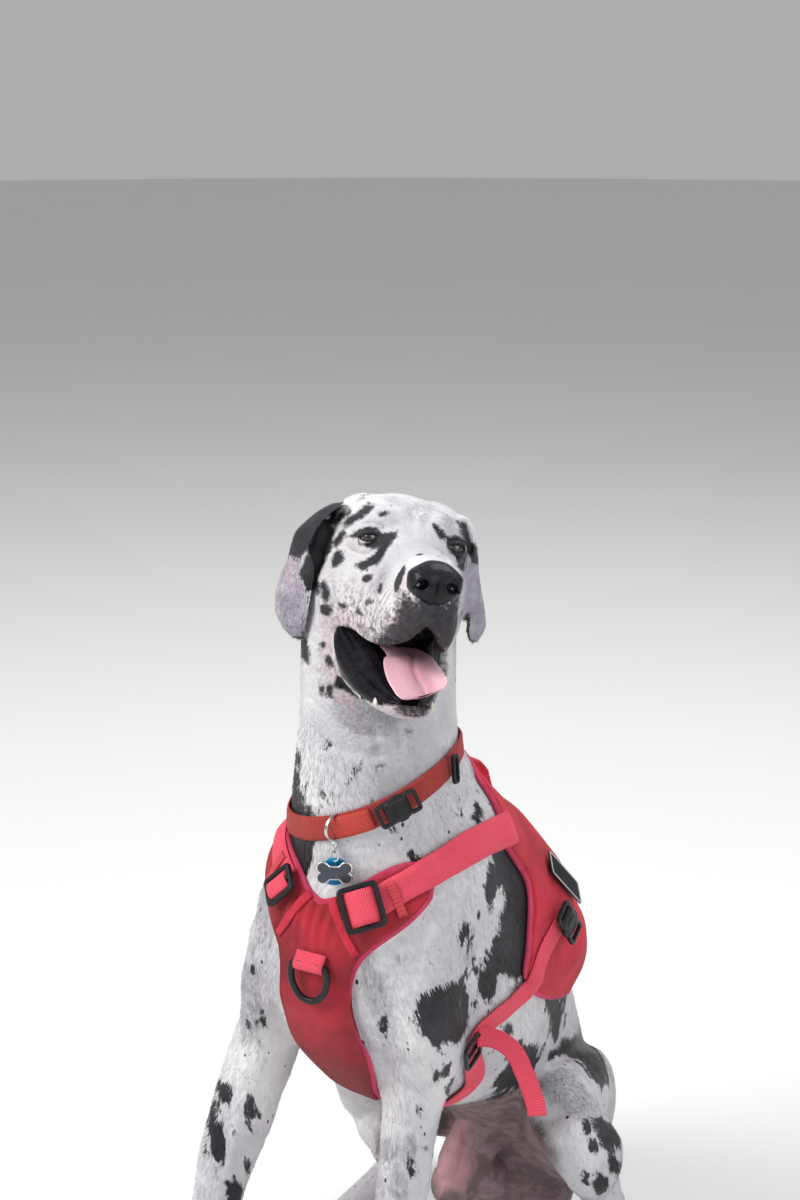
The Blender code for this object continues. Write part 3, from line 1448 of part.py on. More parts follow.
def add_chest_panel(surface):
    """The padded panel in front of the chest, cut symmetric about the middle."""
    half = []
    for spot in CHEST_EDGE:
        point = surface.from_view(spot)
        half.append((max(point.x, 0.010), point.z))
    lowest = 0.412
    outline = [(0.0, half[0][1] - 0.006)] + half + [(0.024, lowest + 0.012), (0.010, lowest)]
    outline = outline + [(-x * (1.0 + 0.14 * min(1.0, x / 0.05)), z) for x, z in outline[:0:-1]]
    points, faces = flat_grid(outline, (0.020, 0.022))
    verts = []
    normals = []
    for x, z in points:
        hit = surface.project((x, -0.6, z), (0.0, 1.0, 0.0))
        co, normal = surface.seat(hit, LIFT)
        verts.append(co)
        normals.append(normal)
    faces = [face if face_turn(face, verts, normals) > 0 else face[::-1] for face in faces]
    thick_sheet("chest_panel", verts, normals, faces, 0.0042, "harness_cloth")


def face_turn(face, verts, normals):
    """Sign of a face against the outward direction of its first corner."""
    a, b, c = (verts[face[k]] for k in range(3))
    return (b - a).cross(c - a).dot(normals[face[0]])


AXIS_AT = Vector((0.0, 0.080, 0.600))
AXIS_RUN = Vector((0.0, 0.640, -0.768)).normalized()
AXIS_UP = Vector((0.0, 0.768, 0.640)).normalized()


def smooth_step(value, low, high):
    """0 below low, 1 above high, an easy rise between."""
    t = min(max((value - low) / (high - low), 0.0), 1.0)
    return t * t * (3.0 - 2.0 * t)


def to_round(point):
    """Angle about the trunk's axis (as an arc) and way along it."""
    rel = point - AXIS_AT
    along = rel.dot(AXIS_RUN)
    out = rel - AXIS_RUN * along
    return math.atan2(out.x, out.dot(AXIS_UP)) * 0.14, along


def from_round(surface, arc, along):
    """Point of the flesh at an arc about the trunk's axis and a way along it."""
    angle = arc / 0.14
    out = Vector((math.sin(angle), 0.0, 0.0)) + AXIS_UP * math.cos(angle)
    return surface.project(AXIS_AT + AXIS_RUN * along + out * 0.5, -out)


def add_back_panel(surface):
    """The saddle-shaped panel on the back with its handle, patch and buckles."""
    half = [to_round(surface.from_view(spot)) for spot in BACK_EDGE]
    first = half[0][1] - 0.030
    last = half[-1][1] + 0.026
    outline = [(0.012, first)] + half + [(half[-1][0] * 0.5, last - 0.006), (0.012, last)]
    outline = outline + [(-a, s) for a, s in outline[::-1]]
    points, faces = flat_grid(outline, (0.028, 0.034))
    verts = []
    normals = []
    padding = []
    for arc, along in points:
        rear = smooth_step((along - first) / (last - first), 0.25, 0.80)
        out = smooth_step(abs(arc), 0.020, 0.085) * (1.0 - 0.75 * smooth_step(abs(arc), 0.120, 0.190))
        puff = PANEL_PUFF * rear * out
        co, normal = surface.seat(from_round(surface, arc, along), LIFT + 0.45 * puff)
        verts.append(co)
        normals.append(normal)
        padding.append(0.0060 + 0.55 * puff)
    faces = [face if face_turn(face, verts, normals) > 0 else face[::-1] for face in faces]
    thick_sheet("back_panel", verts, normals, faces, padding, "harness_cloth")
    puffed = Surface([bpy.data.objects["back_panel"]])
    over = LIFT + 0.0060 + GAP + 0.0008
    spine = [from_round(surface, 0.0, first + 0.012 + (last - first - 0.03) * k / 9.0) for k in range(10)]
    ribbon("spine_strap", surface, spine, 0.040, 0.0026, over, "harness_web", columns=5, layer=puffed)
    base = over + 0.0026 + GAP
    webbing = Surface([bpy.data.objects["spine_strap"]])
    rows = []
    normals = []
    for k in range(13):
        t = k / 12.0
        spot = from_round(surface, 0.0, first + 0.050 + 0.125 * t)
        lift = base + 0.022 * math.sin(math.pi * t) ** 0.8
        co, normal = surface.seat(spot, lift + 0.0006)
        co = clear_of(webbing, co, normal, 0.0010)
        rows.append(co)
        normals.append(normal)
    verts = []
    norms = []
    faces = []
    for k, co in enumerate(rows):
        for j in (-1.0, 0.0, 1.0):
            verts.append(co + Vector((j * 0.013, 0.0, 0.0)))
            norms.append(normals[k])
    for k in range(12):
        for j in range(2):
            face = [k * 3 + j, k * 3 + j + 1, k * 3 + j + 4, k * 3 + j + 3]
            faces.append(face if face_turn(face, verts, norms) > 0 else face[::-1])
    thick_sheet("back_handle", verts, norms, faces, 0.0050, "harness_cloth")
    for name, side in (("left", 1.0), ("right", -1.0)):
        for part, spot, size, rounding in (
            ("back_patch", (564, 878), (0.080, 0.032, 0.0020), 0.004),
            ("side_buckle_" + name, (566, 922), (0.050, 0.028, 0.0085), 0.002),
        ):
            if part == "back_patch" and side < 0:
                continue
            seat, normal = puffed.aimed(spot, 0.0012 if part == "back_patch" else 0.0052)
            if side < 0:
                seat.x = -seat.x
                normal.x = -normal.x
            turn = AXIS_RUN + Vector((side * 0.10, 0.0, -0.1))
            key = "patch" if part == "back_patch" else "black_plastic"
            plate(part, place_frame(seat, normal, turn), size, key, rounding)


def add_straps(surface):
    """Shoulder straps, girth straps, their sliders, the chest ring and the loose end."""
    over = LIFT + 0.0042 + GAP + 0.0010
    panels = Surface([bpy.data.objects["chest_panel"], bpy.data.objects["back_panel"]])
    shoulder = [surface.aimed(spot, over)[0] for spot in SHOULDER_PATH]
    girth = [surface.aimed(spot, over + 0.0024)[0] for spot in GIRTH_PATH]
    girth = girth + [Vector(p) for p in GIRTH_UNDER]
    for name, side in (("left", 1.0), ("right", -1.0)):
        path = shoulder if side > 0 else mirror(shoulder)
        path = resample([surface.seat(p, 0.0)[0] for p in path], 0.018)
        ribbon("shoulder_strap_" + name, surface, path, 0.036, WEB_T, over, "harness_web", layer=panels)
        seat, normal = surface.aimed((364, 907), over + WEB_T + 0.0050)
        if side < 0:
            seat.x = -seat.x
            normal.x = -normal.x
        matrix = place_frame(seat, normal, path[2] - path[0])
        loop_frame("chest_slider_" + name, matrix, 0.038, 0.046, 0.0055, 0.0045, "black_plastic")
        path = girth if side > 0 else mirror(girth)
        path = [surface.seat(p, 0.0)[0] for p in path]
        path[-1].x = side * 0.0025
        path = resample(path, 0.019)
        ribbon("girth_strap_" + name, surface, path, GIRTH_W, WEB_T, over + 0.0024, "harness_web", layer=panels)
        middle = girth[7] if side > 0 else mirror([girth[7]])[0]
        middle = middle + Vector((0.0, 0.0, 0.004))
        near = min(range(len(path)), key=lambda k: (path[k] - middle).length)
        seat, normal = surface.seat(path[near], over + 0.0024 + WEB_T + 0.0036)
        matrix = place_frame(seat, normal, path[near + 1] - path[near - 1])
        loop_frame("girth_slider_" + name, matrix, 0.028, 0.034, 0.0045, 0.0040, "black_plastic")
    middle, normal = surface.seat(surface.project((0.0, -0.6, 0.632), (0, 1, 0)), over + 0.0012)
    matrix = place_frame(middle, normal, (1, 0, 0))
    plate("chest_ring_loop", matrix, (0.036, 0.013, 0.0030), "harness_web", 0.0015)
    lift = Matrix.Translation((0.0, 0.0, 0.0030 + 0.0030))
    right_half = [(0.021, 0.004), (0.0235, -0.006), (0.0225, -0.020), (0.0170, -0.034), (0.0065, -0.043)]
    d_shape = [right_half[0]] + [(-x, y) for x, y in right_half] + right_half[:0:-1]
    wire("chest_ring", matrix @ lift, d_shape, 0.0024, "black_plastic")
    eye = surface.eye
    start = (surface.from_view(LOOSE_PATH[0]) - eye).length - 0.014
    path = []
    for k, spot in enumerate(LOOSE_PATH):
        far = (surface.from_view(spot) - eye).length - 0.014
        reach = min(far, start + 0.004 * k)
        path.append(eye + surface.ray(spot) * reach)
    path = resample(path, 0.015)
    verts = []
    norms = []
    for k, point in enumerate(path):
        run = (path[min(k + 1, len(path) - 1)] - path[max(k - 1, 0)]).normalized()
        normal = (eye - point).normalized()
        normal = (normal - run * normal.dot(run)).normalized()
        across = run.cross(normal).normalized()
        for j in (-1.0, 0.0, 1.0):
            verts.append(point + across * 0.0105 * j)
            norms.append(normal)
    faces = []
    for k in range(len(path) - 1):
        for j in range(2):
            face = [k * 3 + j, k * 3 + j + 1, k * 3 + j + 4, k * 3 + j + 3]
            faces.append(face if face_turn(face, verts, norms) > 0 else face[::-1])
    thick_sheet("strap_end", verts, norms, faces, WEB_T, "harness_web")


def touching(first, second):
    """True if the surfaces of two objects cross."""
    trees = []
    for obj in (first, second):
        faces = [list(face.vertices) for face in obj.data.polygons]
        trees.append(BVHTree.FromPolygons([vert.co.copy() for vert in obj.data.vertices], faces))
    return len(trees[0].overlap(trees[1])) > 0


# Gear pieces that lie close above others: each is shaved by what is under it
LAYERS = [
    ("collar_band", ("neck",)),
    ("chest_panel", ("neck", "torso", "foreleg_left", "foreleg_right")),
    ("back_panel", ("torso", "neck")),
    ("shoulder_strap_left", ("neck", "torso", "chest_panel", "back_panel")),
    ("shoulder_strap_right", ("neck", "torso", "chest_panel", "back_panel")),
    ("girth_strap_left", ("torso", "chest_panel", "back_panel")),
    ("girth_strap_right", ("torso", "chest_panel", "back_panel")),
    ("spine_strap", ("back_panel",)),
    ("back_handle", ("spine_strap", "back_panel")),
    ("chest_slider_left", ("shoulder_strap_left", "chest_panel")),
    ("chest_slider_right", ("shoulder_strap_right", "chest_panel")),
    ("girth_slider_left", ("girth_strap_left",)),
    ("girth_slider_right", ("girth_strap_right",)),
    ("side_buckle_left", ("girth_strap_left", "back_panel")),
    ("side_buckle_right", ("girth_strap_right", "back_panel")),
    ("back_patch", ("back_panel", "side_buckle_left", "girth_strap_left")),
    ("strap_end", ("girth_strap_left", "girth_slider_left", "torso")),
]


def lay_gear():
    """Leave a small gap between every piece of gear and what it lies on."""
    for name, under in LAYERS:
        for key in under:
            piece = bpy.data.objects[name]
            lower = swell([bpy.data.objects[key]], GAP)
            if touching(piece, lower):
                combine(piece, lower, "DIFFERENCE")
                keep_largest(piece)
            else:
                bpy.data.objects.remove(lower, do_unlink=True)


def settle():
    """Shift everything so that the box of the model stands on its bottom centre."""
    low = Vector((1e9, 1e9, 1e9))
    top = Vector((-1e9, -1e9, -1e9))
    for obj in bpy.data.objects:
        for vert in obj.data.vertices:
            for axis in range(3):
                low[axis] = min(low[axis], vert.co[axis])
                top[axis] = max(top[axis], vert.co[axis])
    shift = Vector((-(low.x + top.x) * 0.5, -(low.y + top.y) * 0.5, -low.z))
    for obj in bpy.data.objects:
        for vert in obj.data.vertices:
            vert.co += shift
        obj.data.update()
    print("shift", [round(c, 6) for c in shift], "size", [round(c, 4) for c in top - low])


def main():
    """Build the whole model."""
    for obj in list(bpy.data.objects):
        bpy.data.objects.remove(obj, do_unlink=True)
    body = build_flesh()
    flesh = cut_flesh(body)
    add_teeth(flesh)
    add_claws(flesh)
    add_tail(flesh)
    for side in (-1.0, 1.0):
        add_ear(side, flesh)
        add_eye(side)
    add_nose(flesh)
    add_tongue(flesh)
    surface = Surface(list(flesh.values()))
    add_collar(surface)
    add_chest_panel(surface)
    add_back_panel(surface)
    add_straps(surface)
    lay_gear()
    settle()
    total = 0
    for obj in bpy.data.objects:
        bm = bmesh.new()
        bm.from_mesh(obj.data)
        bad = sum(1 for edge in bm.edges if len(edge.link_faces) != 2)
        tris = sum(len(face.verts) - 2 for face in bm.faces)
        total += tris
        print("part", obj.name, tris, "open edges", bad, "cm3", round(bm.calc_volume() * 1e6, 1))
        bm.free()
    print("total", total)


main()
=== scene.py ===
"""Seated great dane with collar and walking harness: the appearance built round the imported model.

All lengths are metres. The dog faces -Y, its left side is +X, the floor is z = 0.
"""

from __future__ import annotations

import logging
import math
from dataclasses import dataclass, field
from enum import Enum
from typing import Callable, Iterable, Sequence

import bmesh
import bpy
import numpy as np
from mathutils import Matrix, Vector
from mathutils.bvhtree import BVHTree

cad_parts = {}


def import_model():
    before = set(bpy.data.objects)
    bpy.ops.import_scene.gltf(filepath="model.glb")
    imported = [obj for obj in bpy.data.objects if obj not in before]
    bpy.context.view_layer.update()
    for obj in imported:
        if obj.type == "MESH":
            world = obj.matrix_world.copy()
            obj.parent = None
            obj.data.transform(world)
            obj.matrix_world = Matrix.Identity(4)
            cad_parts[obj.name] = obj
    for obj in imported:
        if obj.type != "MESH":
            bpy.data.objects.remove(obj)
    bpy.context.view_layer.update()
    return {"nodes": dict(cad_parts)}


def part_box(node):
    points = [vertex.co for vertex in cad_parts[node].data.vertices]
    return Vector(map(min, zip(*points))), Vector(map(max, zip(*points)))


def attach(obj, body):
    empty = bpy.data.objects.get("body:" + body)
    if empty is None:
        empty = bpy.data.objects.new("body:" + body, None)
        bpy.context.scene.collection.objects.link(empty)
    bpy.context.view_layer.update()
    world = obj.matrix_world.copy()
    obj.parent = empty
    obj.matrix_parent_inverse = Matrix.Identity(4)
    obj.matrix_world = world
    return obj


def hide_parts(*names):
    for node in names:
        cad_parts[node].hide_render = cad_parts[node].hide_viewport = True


LOG = logging.getLogger("dog")
Array = np.ndarray
ROOT = "root"

FLESH_NODES = (
    "head", "lower_jaw", "neck", "torso", "foreleg_left", "foreleg_right", "forepaw_left",
    "forepaw_right", "thigh_left", "thigh_right", "shank_left", "shank_right", "hindpaw_left",
    "hindpaw_right", "ear_left", "ear_right", "tail",
)


def smooth_step(value: Array, low: float, high: float) -> Array:
    """Ease from 0 at low to 1 at high: 3t squared minus 2t cubed.

    Args:
        value: numbers to ease.
        low: where the rise starts.
        high: where the rise ends.

    Returns:
        Numbers from 0 to 1.
    """
    t = np.clip((np.asarray(value, float) - low) / (high - low), 0.0, 1.0)
    return t * t * (3.0 - 2.0 * t)


def unit(vectors: Array) -> Array:
    """Vectors scaled to length one along the last axis."""
    return vectors / np.maximum(np.linalg.norm(vectors, axis=-1, keepdims=True), 1e-12)


def turn_about(axis: str, degrees: float) -> Array:
    """Rotation matrix about one axis.

    Args:
        axis: "x", "y" or "z".
        degrees: angle by the right-hand rule.

    Returns:
        A 3 by 3 matrix.
    """
    c, s = math.cos(math.radians(degrees)), math.sin(math.radians(degrees))
    rows = {
        "x": [[1, 0, 0], [0, c, -s], [0, s, c]],
        "y": [[c, 0, s], [0, 1, 0], [-s, 0, c]],
        "z": [[c, -s, 0], [s, c, 0], [0, 0, 1]],
    }
    return np.array(rows[axis], float)


def value_noise(points: Array, scale: float, seed: int = 0) -> Array:
    """Smooth lattice noise: random numbers at whole steps, eased between the eight corners.

    Args:
        points: places, n by 3.
        scale: lattice steps per metre.
        seed: picks the lattice.

    Returns:
        n numbers from -1 to 1.
    """
    p = points * scale + seed * 17.13
    cell = np.floor(p).astype(np.int64)
    t = p - cell
    t = t * t * (3.0 - 2.0 * t)
    total = np.zeros(len(points))
    for corner in range(8):
        bits = np.array([corner & 1, (corner >> 1) & 1, (corner >> 2) & 1])
        c = cell + bits
        h = (c[:, 0] * 73856093) ^ (c[:, 1] * 19349663) ^ (c[:, 2] * 83492791)
        h = (h * 2654435761) & 0xFFFFFFFF
        h = ((h >> 13) ^ h) * 1274126177 & 0xFFFFFFFF
        weight = np.prod(np.where(bits == 1, t, 1.0 - t), axis=1)
        total += weight * ((h & 0xFFFF) / 32767.5 - 1.0)
    return total


@dataclass(frozen=True)
class HeadFrame:
    """The head's own axes: x to its left, -y along the muzzle, z up, origin between the eyes."""

    origin: tuple[float, float, float] = (0.052, 0.010, 1.060)
    yaw: float = 39.5
    pitch: float = 13.0
    roll: float = 9.5
    eye_x: float = 0.0445
    eye_y: float = -0.002
    eye_z: float = 0.0030
    eye_radius: float = 0.0125

    def matrix(self) -> Array:
        """Rotation from head axes to the dog's axes: roll, then pitch, then yaw."""
        return turn_about("z", self.yaw) @ turn_about("x", -self.pitch) @ turn_about("y", self.roll)


@dataclass
class Place:
    """Moves between the measured frame, the head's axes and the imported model's frame."""

    head: HeadFrame = field(default_factory=HeadFrame)
    shift: Array = field(default_factory=lambda: np.zeros(3))

    def settle(self) -> None:
        """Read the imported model's shift from where its left eye is."""
        low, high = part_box("eye_left")
        middle = (np.array(low) + np.array(high)) * 0.5
        head = self.head
        self.shift = middle - self.raw_head(np.array([[head.eye_x, head.eye_y, head.eye_z]]))[0]

    def raw_head(self, local: Array) -> Array:
        """Head axes to the measured frame."""
        return local @ self.head.matrix().T + np.array(self.head.origin)

    def on_head(self, local: Array) -> Array:
        """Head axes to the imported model's frame."""
        return self.raw_head(np.atleast_2d(np.asarray(local, float))) + self.shift

    def to_head(self, points: Array) -> Array:
        """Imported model's frame to head axes."""
        return (points - self.shift - np.array(self.head.origin)) @ self.head.matrix()

    def head_turn(self, vectors: Array) -> Array:
        """Directions in head axes to directions in the model."""
        return vectors @ self.head.matrix().T

    def body(self, points: Array) -> Array:
        """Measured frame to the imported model's frame."""
        return np.asarray(points, float) + self.shift


@dataclass
class Viewpoint:
    """The photograph's camera: where it stands and how a spot of its frame is seen."""

    place: Place
    stand: tuple[float, float, float] = (0.8512, -1.3954, 1.5)
    turn: float = 30.0
    down: float = 17.0
    focus: float = 1667.0
    middle: tuple[float, float] = (400.0, 600.0)
    lens: float = 50.0

    def axes(self) -> tuple[Array, Array, Array]:
        """Right, up and ahead of the view."""
        a, d = math.radians(self.turn), math.radians(self.down)
        ahead = np.array([-math.sin(a) * math.cos(d), math.cos(a) * math.cos(d), -math.sin(d)])
        right = np.array([math.cos(a), math.sin(a), 0.0])
        return right, np.cross(right, ahead), ahead

    @property
    def eye(self) -> Array:
        """The camera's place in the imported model's frame."""
        return np.array(self.stand) + self.place.shift

    def ray(self, spot: Sequence[float]) -> Array:
        """Direction through a spot of the frame."""
        right, up, ahead = self.axes()
        across = (spot[0] - self.middle[0]) / self.focus
        below = (spot[1] - self.middle[1]) / self.focus
        return unit(ahead + right * across - up * below)

    def project(self, points: Array) -> tuple[Array, Array]:
        """Where points are seen.

        Args:
            points: places in the model's frame, n by 3.

        Returns:
            The spots, n by 2, and the distances along the view, n.
        """
        right, up, ahead = self.axes()
        rel = points - self.eye
        depth = rel @ ahead
        x = self.middle[0] + self.focus * (rel @ right) / depth
        y = self.middle[1] - self.focus * (rel @ up) / depth
        return np.stack([x, y], axis=1), depth

    def camera(self) -> bpy.types.Object:
        """Make the scene's camera at the photograph's angle."""
        data = bpy.data.cameras.new("photo_view")
        data.lens = self.lens
        data.sensor_width = 36.0
        data.sensor_fit = "AUTO"
        data.clip_end = 60.0
        camera = bpy.data.objects.new("photo_view", data)
        right, up, ahead = self.axes()
        camera.location = self.eye.tolist()
        camera.rotation_euler = (math.radians(90.0 - self.down), 0.0, math.radians(self.turn))
        bpy.context.scene.collection.objects.link(camera)
        bpy.context.scene.camera = camera
        return camera


class Coat(Enum):
    """Names of the marking fields kept on the skin and on the coat."""

    BLACK = "black"
    GREY = "grey"
    PINK = "pink"
    MOTTLE = "mottle"
    BELLY = "belly"
    MUZZLE = "muzzle"
    MOUTH = "mouth"
    LILAC = "lilac"
    SHEATH = "sheath"
    HEAD = "head_share"


def mesh_object(name: str, verts: Array, faces: Array | list, smooth: bool = True) -> bpy.types.Object:
    """Put vertices and faces into a new object.

    Args:
        name: the object's name.
        verts: places, n by 3.
        faces: corner numbers; an array of quads or triangles, or a list of lists.
        smooth: shade the faces smooth.

    Returns:
        The object, linked to the scene.
    """
    mesh = bpy.data.meshes.new(name)
    verts = np.ascontiguousarray(verts, dtype=np.float64)
    if isinstance(faces, np.ndarray):
        corners = faces.shape[1]
        mesh.vertices.add(len(verts))
        mesh.vertices.foreach_set("co", verts.ravel())
        mesh.loops.add(faces.size)
        mesh.loops.foreach_set("vertex_index", faces.ravel().astype(np.int32))
        mesh.polygons.add(len(faces))
        mesh.polygons.foreach_set("loop_start", np.arange(0, faces.size, corners, dtype=np.int32))
        mesh.update(calc_edges=True)
        mesh.validate()
    else:
        mesh.from_pydata(verts.tolist(), [], faces)
    mesh.polygons.foreach_set("use_smooth", np.full(len(mesh.polygons), smooth))
    obj = bpy.data.objects.new(name, mesh)
    bpy.context.scene.collection.objects.link(obj)
    return obj


def read_points(obj: bpy.types.Object) -> Array:
    """An object's vertices as an n by 3 array."""
    out = np.zeros(len(obj.data.vertices) * 3)
    obj.data.vertices.foreach_get("co", out)
    return out.reshape(-1, 3)


def read_normals(obj: bpy.types.Object) -> Array:
    """An object's vertex normals as an n by 3 array."""
    out = np.zeros(len(obj.data.vertices) * 3, np.float32)
    obj.data.vertex_normals.foreach_get("vector", out)
    return out.reshape(-1, 3).astype(float)


def write_points(obj: bpy.types.Object, points: Array) -> None:
    """Set an object's vertices."""
    obj.data.vertices.foreach_set("co", points.ravel())
    obj.data.update()


def put_field(obj: bpy.types.Object, name: str, values: Array) -> None:
    """Keep one number per vertex under a name."""
    layer = obj.data.attributes.get(name) or obj.data.attributes.new(name, "FLOAT", "POINT")
    layer.data.foreach_set("value", np.asarray(values, np.float32))


def settle_modifiers(obj: bpy.types.Object) -> None:
    """Turn an object's modifiers into its mesh."""
    graph = bpy.context.evaluated_depsgraph_get()
    mesh = bpy.data.meshes.new_from_object(obj.evaluated_get(graph), depsgraph=graph)
    old = obj.data
    obj.modifiers.clear()
    obj.data = mesh
    bpy.data.meshes.remove(old)
    mesh.name = obj.name


def tree_of(obj: bpy.types.Object) -> BVHTree:
    """A search tree over an object's faces."""
    return BVHTree.FromObject(obj, bpy.context.evaluated_depsgraph_get())


def edge_pairs(obj: bpy.types.Object) -> Array:
    """Vertex pairs of an object's edges, m by 2."""
    out = np.zeros(len(obj.data.edges) * 2, np.int32)
    obj.data.edges.foreach_get("vertices", out)
    return out.reshape(-1, 2)


def relax(points: Array, edges: Array, share: Array, rounds: int, hold: bool = True) -> Array:
    """Ease points towards the mean of their neighbours, with a counter-step that keeps volume.

    Args:
        points: places, n by 3.
        edges: vertex pairs.
        share: how far each point may move, 0 to 1.
        rounds: how many times.
        hold: take the counter-step.

    Returns:
        The eased places.
    """
    count = np.bincount(edges.ravel(), minlength=len(points)).astype(float)
    steps = (0.55, -0.56) if hold else (0.55,)
    for _ in range(rounds):
        for step in steps:
            total = np.zeros_like(points)
            for axis in range(3):
                total[:, axis] = np.bincount(edges[:, 0], points[edges[:, 1], axis], len(points))
                total[:, axis] += np.bincount(edges[:, 1], points[edges[:, 0], axis], len(points))
            mean = total / np.maximum(count, 1.0)[:, None]
            points = points + (mean - points) * (step * share)[:, None]
    return points


def line_distance(points: Array, line: Sequence[Sequence[float]]) -> tuple[Array, Array]:
    """Distance to a polyline and the way along it.

    Args:
        points: places, n by 2 or 3.
        line: the polyline's corners.

    Returns:
        Distances, and shares of the way from 0 to 1.
    """
    corners = np.asarray(line, float)
    best = np.full(len(points), 1e9)
    along = np.zeros(len(points))
    for k in range(len(corners) - 1):
        a, b = corners[k], corners[k + 1]
        run = b - a
        t = np.clip(((points - a) @ run) / max(run @ run, 1e-12), 0.0, 1.0)
        gap = np.linalg.norm(points - (a + t[:, None] * run), axis=1)
        nearer = gap < best
        best = np.where(nearer, gap, best)
        along = np.where(nearer, (k + t) / (len(corners) - 1), along)
    return best, along


def inside_distance(points: Array, polygon: Sequence[Sequence[float]]) -> Array:
    """Signed distance to a closed outline in the plane, positive inside.

    Args:
        points: spots, n by 2.
        polygon: the outline's corners.

    Returns:
        n distances.
    """
    corners = np.asarray(polygon, float)
    loop = np.vstack([corners, corners[:1]])
    gap, _ = line_distance(points, loop)
    inside = np.zeros(len(points), bool)
    for a, b in zip(loop[:-1], loop[1:]):
        cross = (a[1] > points[:, 1]) != (b[1] > points[:, 1])
        rise = b[1] - a[1] if abs(b[1] - a[1]) > 1e-9 else 1e-9
        inside ^= cross & (points[:, 0] < (b[0] - a[0]) * (points[:, 1] - a[1]) / rise + a[0])
    return np.where(inside, gap, -gap)


@dataclass
class Skin:
    """The dog's one skin: the flesh nodes fused, eased and shaped with folds and muscles."""

    place: Place
    voxel: float = 0.0024
    swell: float = 0.0006
    coat_depth: float = 0.0012
    body_faces: int = 88000
    head_rounds: int = 5
    body_rounds: int = 34
    view: Viewpoint | None = None
    obj: bpy.types.Object | None = None
    warps: tuple = (
        (-0.010, (-0.088, 0.085, -0.055), (0.05, 0.075, 0.085)), (-0.008, (0.078, 0.020, -0.045), (0.045, 0.060, 0.065)),
        (-0.015, (0.044, -0.085, -0.130), (0.024, 0.070, 0.040)), (-0.006, (0.048, -0.100, -0.065), (0.030, 0.050, 0.034)),
    )
    fills: tuple = (
        ((-0.084, 0.070, -0.028), (0.016, 0.020, 0.030)), ((-0.080, 0.068, -0.002), (0.014, 0.018, 0.022)),
    )
    seen_fills: tuple = (
        ((384, 1122), 2.325, 0.040), ((394, 1148), 2.325, 0.032), ((478, 1138), 2.315, 0.034),
        ((468, 1160), 2.325, 0.034), ((455, 1184), 2.335, 0.036), ((482, 1178), 2.345, 0.036),
        ((459, 1130), 2.288, 0.014), ((454, 1144), 2.284, 0.016), ((449, 1158), 2.281, 0.0175),
        ((446, 1170), 2.284, 0.017),
    )
    furrows: tuple = (
        (0.0016, 0.0024, ((325, 614), (333, 606), (342, 598), (350, 588), (356, 578))),
        (0.0016, 0.0035, ((333, 612), (326, 626), (326, 644), (331, 664), (339, 682), (350, 698))),
        (0.0012, 0.0020, ((346, 545), (353, 551), (363, 554), (374, 552), (381, 547))),
        (0.0010, 0.0020, ((349, 534), (357, 528), (367, 524), (378, 524), (387, 529))),
        (0.0013, 0.0022, ((442, 552), (447, 560), (455, 566), (463, 567))),
        (0.0024, 0.0110, ((411, 497), (410, 512), (410, 526), (412, 540))),
        (0.0012, 0.0060, ((392, 538), (396, 550), (399, 564), (402, 578))),
        (0.0022, 0.0060, ((300, 690), (316, 706), (336, 722), (360, 734), (384, 738))),
        (0.0020, 0.0070, ((304, 726), (326, 744), (354, 754), (384, 756), (410, 748))),
        (0.0014, 0.0045, ((362, 712), (372, 728), (378, 744), (380, 762))),
        (0.0016, 0.0050, ((392, 716), (398, 734), (399, 752))),
        (0.0040, 0.0100, ((352, 968), (349, 990), (352, 1020), (362, 1046), (378, 1062))),
        (0.0030, 0.0090, ((400, 930), (392, 960), (389, 1000), (392, 1040), (384, 1080))),
        (0.0030, 0.0100, ((472, 930), (474, 970), (472, 1010), (464, 1040), (452, 1066))),
        (0.0035, 0.0080, ((545, 1064), (558, 1056), (574, 1054), (590, 1064), (602, 1080))),
        (0.0024, 0.0060, ((552, 1074), (566, 1068), (580, 1072), (594, 1086))),
        (0.0022, 0.0060, ((240, 960), (262, 985), (282, 1008), (296, 1030))),
        (0.0020, 0.0055, ((404, 1080), (410, 1110), (414, 1140), (416, 1175))),
        (0.0024, 0.0065, ((520, 1150), (512, 1165), (498, 1186))),
        (0.0020, 0.0060, ((236, 1080), (230, 1110), (222, 1150), (214, 1190))),
    )
    swellings: tuple = (
        (0.0022, 0.016, (-0.050, -0.012, 0.022)), (0.0022, 0.016, (0.050, -0.012, 0.022)),
        (0.0020, 0.013, (-0.042, -0.020, -0.018)), (0.0020, 0.013, (0.042, -0.020, -0.018)),
        (0.0030, 0.026, (-0.062, 0.012, -0.040)), (0.0030, 0.026, (0.062, 0.012, -0.040)),
        (0.0022, 0.016, (-0.034, -0.110, -0.062)), (0.0022, 0.016, (0.034, -0.110, -0.062)),
        (0.0016, 0.012, (-0.052, -0.005, -0.078)),
    )
    muscles: tuple = (
        (0.005, (0.05, 0.05, 0.05), (0.125, 0.010, 0.500)), (0.005, (0.05, 0.05, 0.05), (-0.140, -0.010, 0.500)),
        (0.004, (0.03, 0.03, 0.06), (0.100, -0.040, 0.330)), (0.004, (0.03, 0.03, 0.06), (-0.180, -0.070, 0.330)),
        (0.004, (0.06, 0.05, 0.05), (0.155, 0.300, 0.270)), (0.004, (0.06, 0.05, 0.05), (-0.155, 0.300, 0.270)),
    )

    def build(self, nodes: dict[str, bpy.types.Object]) -> None:
        """Fuse, ease, thin and shape the skin."""
        self.fuse(nodes)
        self.ease()
        self.thin()
        self.sink()
        self.shape()

    def sink(self) -> None:
        """Move the skin in by the coat's depth and the swelling."""
        points = read_points(self.obj) - read_normals(self.obj) * (self.swell + self.coat_depth)
        write_points(self.obj, points)

